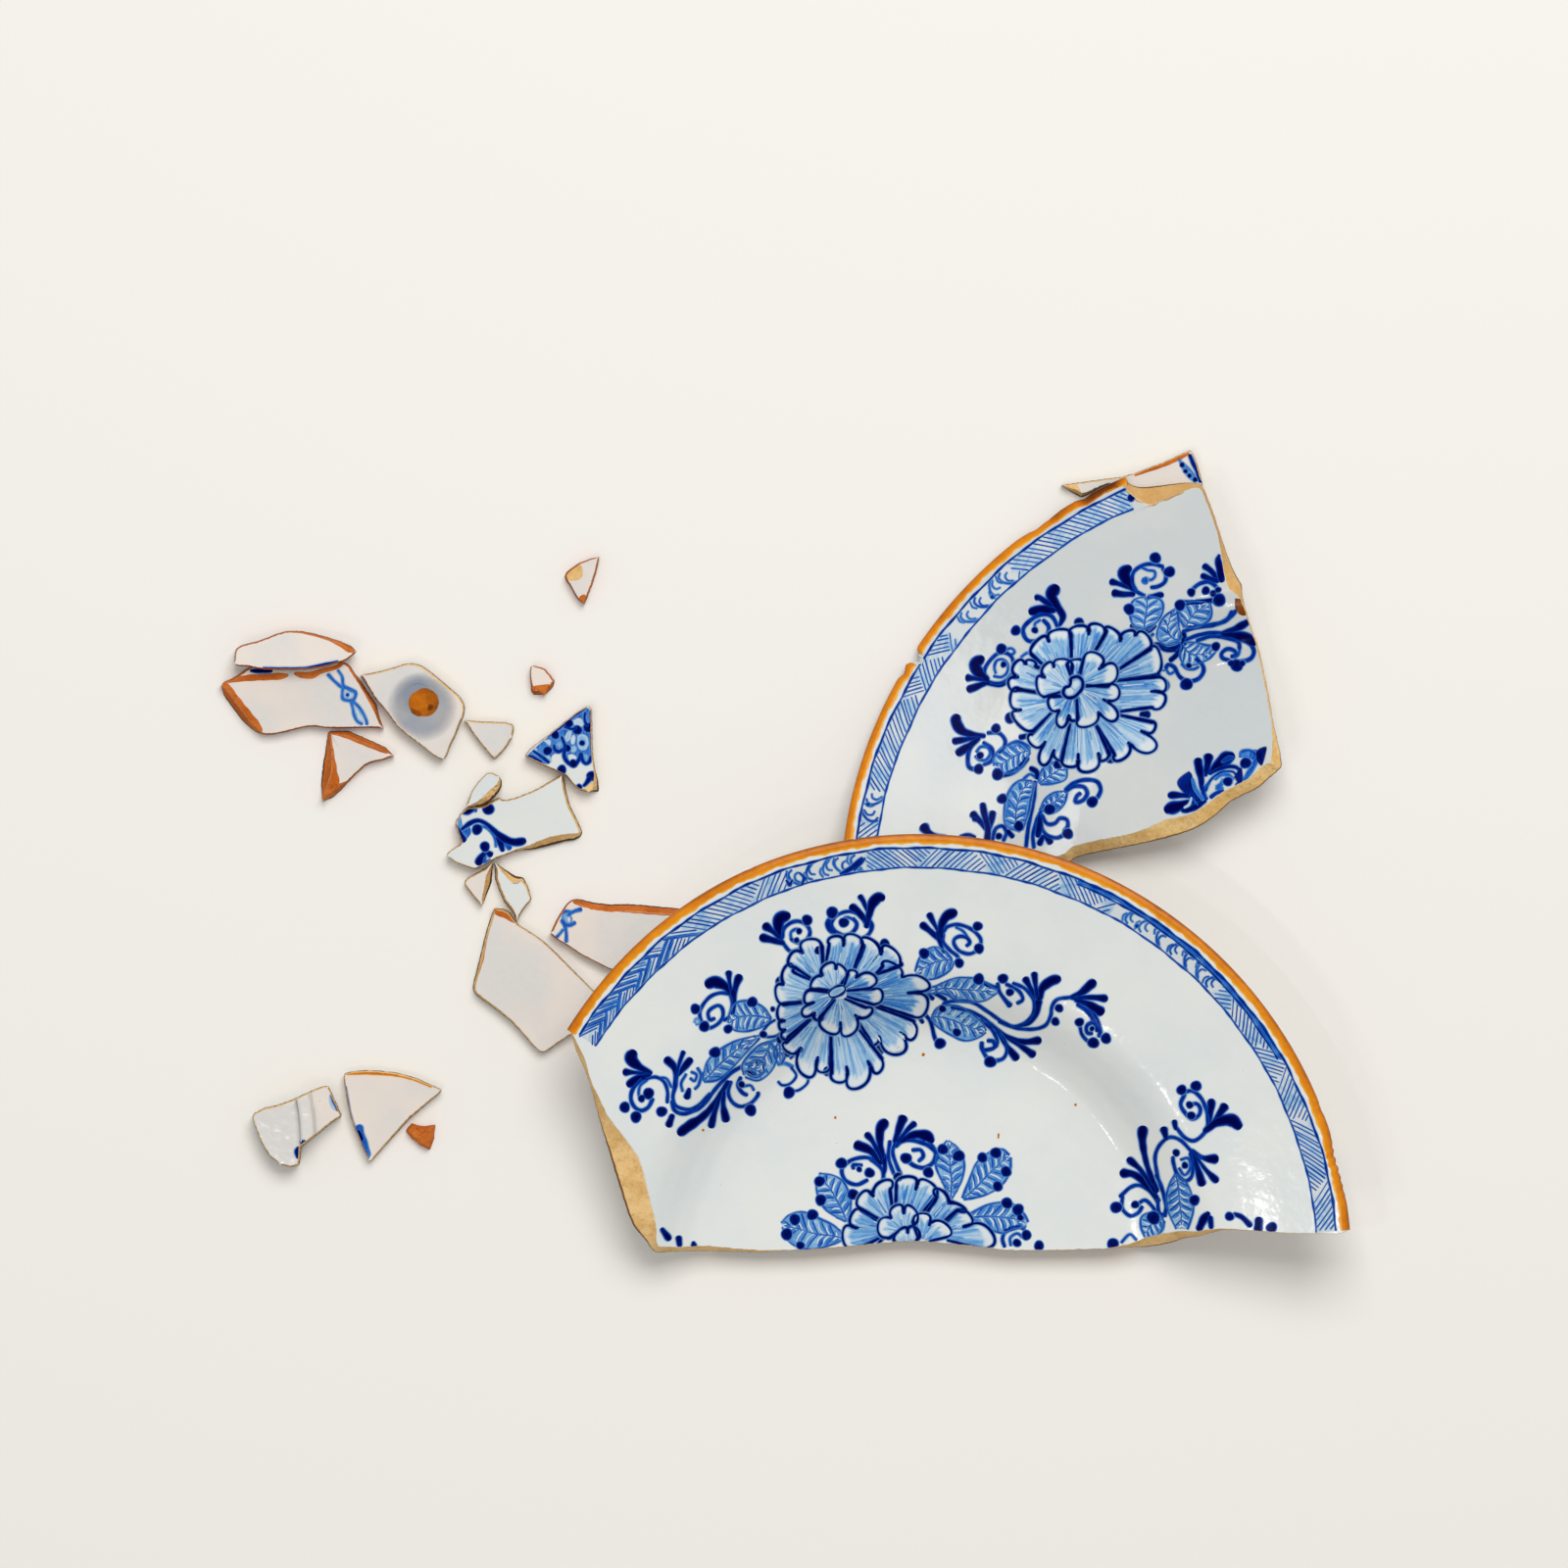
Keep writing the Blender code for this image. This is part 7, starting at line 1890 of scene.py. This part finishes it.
petals.dots(
    (-84.9, 36, 1.6), (-82.1, 41.7, 1.5), (-77.2, 45.8, 1.5), (-74.2, 43.5, 1.7), (-70.2, 44.4, 1.8),
    (-78, 37, 1.4), (-75.6, 31.4, 1.5), (-79.8, 29.2, 1.7), (-69, 27, 1.8), (-73.6, 22.9, 1.2),
    (-72.5, 38.8, 1.0),
)
petals.strokes([(-69.6, 26.4, 2.0), (-71, 24.4, 1.4), (-72, 23.4, 1.0)], tone=0.90, layer=5)
petals.drape("petal_painting", *painted)

ribbons = Painting(43)
ribbons.strokes(
    [(-163.8, 63.5, 1.1), (-161.4, 61, 0.9), (-159.2, 59.2, 1.1), (-157, 58.6, 1.2), (-153.6, 57, 1.1)],
    [(-160.2, 65, 0.9), (-158.7, 62.6, 0.9), (-158.4, 60.2, 1.0), (-157.6, 58.6, 1.2)],
    [(-158.4, 59, 1.0), (-158.6, 56.6, 0.9), (-158.4, 54.7, 1.1), (-156.4, 54.1, 1.0), (-154.4, 54.2, 1.1)],
    [(-153.7, 56.8, 1.1), (-154, 55.4, 0.9), (-154.8, 54, 1.1)],
    [(-155.5, 53.8, 1.0), (-154.8, 51, 0.9), (-154.4, 49, 1.0), (-153.2, 46.6, 1.0), (-151.4, 45.6, 0.9)],
    [(-154.6, 53.6, 1.0), (-152.6, 51.6, 1.0), (-151, 49.2, 0.9), (-150, 46.8, 0.9), (-149.8, 45.4, 0.8)],
    tone=0.60,
)
ribbons.blot([(-157.6, 57.6), (-155, 56.6), (-155.6, 55), (-157.8, 55.4)], (0.10, 0.2))
ribbons.blot([(-154.2, 52), (-152.4, 49.8), (-151.2, 46.8), (-152.8, 47.4), (-153.8, 49.6)], (0.10, 0.2))
ribbons.dot(-156.7, 56.1, 0.6, tone=0.74)
ribbons.line([(-191.6, 64.8, 0.8), (-188.6, 64.7, 1.5), (-184, 64.8, 1.2)], tone=1.0, layer=6)
ribbons.drape("ribbon_painting", *ribbon, side=under_height)

knots = Painting(44)
knots.strokes(
    [(-72.8, -20.9, 1.3), (-75, -21.5, 1.1), (-76.8, -22.4, 1.0), (-77.6, -23.2, 0.8)],
    [(-79.8, -22.4, 0.8), (-78.4, -21.6, 1.0), (-76.4, -22, 1.0)],
    [(-79.8, -24.8, 1.3), (-78.6, -26.4, 1.4), (-76.8, -26.6, 1.2), (-75, -25.6, 1.3)],
    [(-78.8, -26.4, 1.2), (-78.2, -29.4, 1.0), (-78.2, -32.6, 1.2)],
    [(-79.4, -28.2, 0.9), (-80.6, -29.8, 0.8), (-82, -31.2, 1.2)],
    tone=0.64,
)
knots.blot(
    [(-80, -23), (-78.6, -22), (-77, -22.6), (-76, -24.6), (-77.4, -26.6), (-79.6, -25.8)], (0.36, 0.5),
)
knots.blot([(-77.8, -23.8), (-76.8, -23.8), (-76.8, -25.4), (-77.8, -25.2)], (0.0, 0.1), 3)
knots.drape("knot_painting", *marked, side=under_height)

twigs = Painting(45)
twigs.strokes(
    [(141.8, 140.9, 1.0), (143, 138.8, 1.0), (144.2, 136.4, 1.2), (145.8, 134.4, 1.1), (147.6, 133.2, 1.4)],
    [(143.2, 139.2, 0.8), (145.2, 137.4, 0.8), (146.6, 135.6, 0.9), (147.8, 133.8, 1.0)],
    tone=0.55,
)
twigs.dots((143, 138.7, 0.9), (144.2, 136.4, 0.8), (145.6, 134.8, 0.8), (147.6, 133.4, 0.9))
twigs.drops([(145.7, 142.2, 1.4), (146.8, 139.6, 1.6), (148.2, 136.6, 1.4), (149.6, 132.6, 1.4)])
twigs.drape("twig_painting", *corner, side=under_height)

edges = Painting(46)
edges.strokes(
    [(-152.6, -98.9, 2.8), (-151.9, -101.4, 2.2), (-150.6, -105, 2.2), (-149, -109.4, 1.2)],
    tone=0.58, layer=1,
)
edges.strokes(
    [(-157.6, -84.4, 0.6), (-156.9, -89, 0.9), (-155.9, -94, 0.7), (-154.6, -98.2, 0.7),
     (-153.2, -101.4, 1.3), (-151.4, -105.8, 1.0), (-149.3, -110.3, 0.8)],
    [(-152.7, -100.6, 1.4), (-151.4, -103.6, 1.2)], tone=0.97, layer=2,
)
edges.drape("fan_painting", *fan)

browned = Painting(52)
browned.line(
    [(-157, -80, 0.8), (-150, -79.5, 1.3), (-142, -79.8, 1.4), (-134, -81.6, 1.0), (-126.5, -84.6, 0.5)],
    tone=0.62,
)
browned.drape("fan_browned_edge", *fan, paint=ochre_rim, slot="ochre_rim")

ring_marks = Painting(47)
ring_marks.drops(
    [(-173.4, -104.6, 1.6), (-172, -104.4, 1.8)],
    [(-174.3, -106.4, 1.4), (-174.7, -107.8, 2.2), (-174.5, -110, 1.4)],
)
ring_marks.blot(
    [(-163.2, -88), (-162, -88.4), (-160.8, -91.4), (-161, -93), (-162.2, -92.4), (-163.2, -90)],
    (0.3, 0.16),
)
ring_marks.strokes([(-162.6, -87.4, 0.7), (-161.4, -90.2, 1.1), (-160.1, -93.2, 0.7)], tone=0.95)
ring_marks.drape("ring_painting", *footed, side=footed_height)

lens_edge = Painting(48)
lens_edge.strokes(
    [(-187, 65.8, 0.5), (-180, 65.5, 0.9), (-172, 65.6, 1.0), (-166, 66.8, 1.0), (-160, 68.2, 0.5)],
    tone=0.96,
)
lens_edge.drape("lens_painting", *lens, side=under_height)

halo = Painting(49)
turns = np.radians(np.arange(0, 360, 30))
halo.blot(
    np.column_stack([-129.8 + 10.6 * np.cos(turns), 51.9 + 10.4 * np.sin(turns)]), (0.35, 0.45), soft=2.4,
)
halo.blot(
    np.column_stack([-131.4 + 7.0 * np.cos(turns), 56 + 6.0 * np.sin(turns)]), (0.9, 0.7), 1, 0.5, 2.0,
)
halo.drape("spot_halo", *spot, side=under_height, paint=smoke_stain)

rust = Painting(50)
uneven = 5.2 + 0.2 * np.sin(2 * turns + 1) + 0.15 * np.sin(5 * turns)
for tones, layer, soft, outline in [
    ((0.66, 0.78), 0, 0.4,
     np.column_stack([-129.4 + uneven * np.cos(turns), 53.3 + uneven * np.sin(turns)])),
    ((0.86, 0.86), 1, 0.5, [(-134.4, 51.6), (-132.8, 51), (-130, 49.4), (-131.4, 48.6), (-133.4, 49.6)]),
    ((0.9, 0.86), 1, 0.4, [(-127.6, 52.6), (-126.2, 52.4), (-126.4, 50.8), (-127.8, 50.6)]),
]:
    rust.blot(outline, tones=tones, layer=layer, soft=soft)
rust.drape("iron_spot", *spot, side=under_height, paint=ochre_rim, slot="ochre_rim", lift=0.09)

burnt = Painting(51)
burnt.line(
    [(107.6, 126.8, 0.8), (111, 128.4, 1.8), (115, 130, 2.8), (118.6, 131.4, 2.8), (121, 132.4, 2.0)],
    tone=0.80,
)
burnt.line([(112, 128.6, 0.8), (115, 129.8, 1.6), (118.4, 131, 1.4)], tone=0.98, layer=3)
burnt.blot(
    [(161.6, 90.6), (163.8, 90.2), (165.4, 86.6), (165.6, 84.6), (163.4, 84.8), (161.8, 87)], (0.88, 0.96),
)
burnt.drape(
    "burnt_spots", *quarter_top,
    paint=ochre_rim, slot="ochre_rim",
)


specks = Painting(53)
for x, y, radius in [
    (50, -73, 0.45), (46.8, -60.6, 0.4), (-29, -100, 0.35), (18.4, -95.6, 0.3), (104.6, -91, 0.3),
]:
    specks.dot(x, y, radius, tone=0.8)
specks.line([(77, -101.4, 0.4), (76.9, -103, 0.4)], tone=0.9)
specks.drape("half_rust_specks", *half_top, paint=ochre_rim, slot="ochre_rim")


def bare(name, on, clay, *patches, side=front_height):
    """Places where the glaze is gone: outlines of three points or more, and runs of
    points that carry a width."""
    losses = Painting(60 + len(patches))
    for patch in patches:
        if len(patch[0]) > 2:
            losses.line(patch, tone=0.5, bleed=0.2)
        else:
            losses.blot(patch, (0.5, 0.5), soft=0.15)
    losses.drape(name, *on, side=side, paint=clay, slot="bare_clay", first="through")


worn_clay = clay_material(
    "worn_clay", (204, 168, 110), (188, 150, 92), (146, 112, 66), (236, 214, 180), (84, 56, 32),
)
bare(
    "quarter_top_loss", quarter_top, worn_clay,
    [(121.2, 133.4), (122.2, 130), (124.2, 127.4), (127, 125.3), (129.2, 125.8), (131, 124), (133.4, 124.2),
     (135.2, 126.2), (137.2, 125.8), (140, 127.2), (142.6, 128.2), (144.6, 130), (147.4, 130.8),
     (149.6, 132), (146, 134), (139, 134.6), (130, 134)],
)
bare(
    "painted_tip", painted, buff_clay,
    [(-71.6, 22.8), (-69.4, 24.8), (-67.2, 26), (-66.4, 23.4), (-66.4, 21.3), (-70, 21.1)],
)
bare(
    "upper_crumb_loss", upper_crumb, buff_clay,
    [(-78.8, 99), (-76, 102.2), (-73.6, 103.2), (-72.4, 101), (-72.8, 98.4), (-75, 97.3), (-77.8, 97.6)],
)
bare(
    "upper_crumb_tip", upper_crumb, red_clay,
    [(-73, 91.6), (-71.6, 92), (-70.4, 90.2), (-71.6, 88.8), (-73.6, 90.4)],
)
bare(
    "small_crumb_loss", small_crumb, red_clay,
    [(-90.6, 59.2), (-87, 59.6), (-84, 59.8), (-83.2, 58.4), (-86, 56.2), (-90, 56.2)],
)
bare(
    "ribbon_band", ribbon, red_clay,
    [(-199.6, 61, 1.2), (-195, 61.9, 1.9), (-188, 62.5, 2.3), (-181, 62.8, 2.2), (-178.2, 63.2, 1.0)],
    [(-175.6, 63.8, 1.0), (-173, 63.2, 1.9), (-169.6, 63.2, 2.2), (-166.2, 64.6, 1.5), (-161, 66, 1.3),
     (-158.2, 67.7, 1.0)],
    [(-200.8, 60, 2.4), (-199.5, 57.4, 3.4), (-196.8, 53.2, 4.2), (-193.3, 48.8, 4.3), (-190.2, 45.2, 4.0),
     (-188.2, 43.2, 2.6)],
    [(-153.4, 62.8, 0.9), (-151.6, 59.6, 1.3), (-149.2, 55.4, 1.3), (-147.2, 51.6, 1.2),
     (-145.8, 48.4, 0.9)], side=under_height,
)
bare(
    "wedge_bands", wedge, red_clay,
    [(-163.4, 42, 1.2), (-163.5, 38, 2.6), (-163.5, 33, 4.2), (-163.2, 28, 5.4), (-163, 24, 6.4),
     (-163.2, 20.6, 6.0), (-164.8, 18.8, 3.0)],
    [(-162, 22.4, 3.4), (-159.4, 23, 2.6), (-157.4, 24.2, 1.4), (-156.2, 25, 0.6)],
    [(-162.6, 42.5, 0.8), (-157.5, 41.7, 1.8), (-151, 39.2, 2.0), (-145.4, 37, 1.9), (-142.4, 35.6, 1.2)],
    side=under_height,
)
bare(
    "lens_band", lens, red_clay,
    [(-172.6, 78.4, 0.5), (-168, 77.6, 1.1), (-163, 76.1, 1.3), (-158.8, 74.2, 2.0), (-156, 72.6, 2.4),
     (-154.4, 71.8, 1.2)], side=under_height,
)
bare(
    "marked_band", marked, red_clay,
    [(-75.4, -18.2, 1.2), (-70, -19.4, 2.2), (-60, -20.2, 2.8), (-50, -21, 3.0), (-40, -21.8, 2.8)],
    side=under_height,
)
bare(
    "large_back_losses", large_back, red_clay,
    [(-104.2, -21.3, 1.8), (-102.4, -22, 2.4), (-100, -22.9, 2.4), (-98, -24.3, 1.8), (-96.6, -25.5, 0.8)],
    [(-105.6, -26.5, 0.5), (-106.6, -30, 0.7), (-107.9, -34.4, 1.5), (-108.9, -38.6, 2.0),
     (-109.6, -41.6, 1.6), (-110.4, -45, 0.9), (-111.2, -48.2, 0.8)], side=under_height,
)
bare(
    "corner_loss", corner, buff_clay,
    [(99.9, 131.5), (104.4, 132.1), (106, 130), (107.2, 127.2), (104, 128), (100.8, 130.2)],
    side=under_height,
)
bare(
    "corner_strip", corner, red_clay,
    [(126, 134.9, 0.5), (131, 136.9, 1.2), (136, 138.7, 1.5), (141, 140.9, 1.7), (145.2, 142.9, 1.2)],
    side=under_height,
)


# ---------------------------------------------------------------------------
# The clay crumb: a flake of the bare body with no glaze left on it, split along the
# grain, so that its top is stepped and its sides are rough.

CLAY_CRUMB = [
    (-133.9, -97.6, 1.0), (-131.8, -98.4, 1.4), (-129.1, -98.8, 1.4), (-125.2, -98.2, 0.9),
    (-125.6, -103.1, 1.2), (-127.2, -107.4, 1.2), (-130.8, -105.8, 1.2), (-134.0, -103.1, 1.2),
    (-136.0, -100.4, 1.2),
]


def flake(node, outline, height, clay):
    """Closed rings from the outline on the table, up its rough side and in over its top,
    each ring drawn in by its own depth and wavered by sines round its turn."""
    ring, at = walked(outline + outline[:1], 97)
    ring = softened(ring, 2)[:-1, :2]
    size = len(ring)
    turns = 2 * np.pi * np.arange(size) / size
    middle = ring.mean(axis=0)
    reach = np.linalg.norm(ring - middle, axis=1)
    drawn = np.array([0.15, 0.0, 0.35, 0.55, 0.95, 1.3, 2.0, 2.9, 3.9, 4.4])
    lift = height * np.array([0.0, 0.12, 0.34, 0.60, 0.86, 0.97, 1.03, 0.95, 0.99, 0.96])
    rings = []
    for step, (depth, z) in enumerate(zip(drawn, lift)):
        push = 0.13 * np.sin(3 * turns + 1.3 * step) + 0.10 * np.sin(8 * turns + 2.1 * step)
        share = np.clip(1 - (depth + push * (step > 0)) / reach, 0.04, 1.0)
        level = z + 0.10 * np.sin(5 * turns + 1.7 * step) * (1 < step < 9)
        rings.append(np.column_stack([middle + (ring - middle) * share[:, None], level + 0 * turns]))
    rings = np.array(rings)
    number = np.arange(rings.shape[0] * size).reshape(-1, size)
    beside = np.roll(number, -1, axis=1)
    quads = np.stack([number[:-1], number[1:], beside[1:], beside[:-1]], axis=-1).reshape(-1, 4).tolist()
    mesh = bpy.data.meshes.new(node + "_body")
    faces = quads + [number[0].tolist(), number[-1, ::-1].tolist()]
    mesh.from_pydata((rings.reshape(-1, 3) * MM).tolist(), [], faces)
    carry(mesh, through=np.full(number.size, 0.5))
    mesh.materials.append(clay)
    mesh.shade_smooth()
    mesh.set_sharp_from_angle(angle=math.radians(30))
    fit(in_scene(node + "_body", mesh), "bare_clay", node)


flake("clay_crumb", CLAY_CRUMB, 3.6, red_clay)
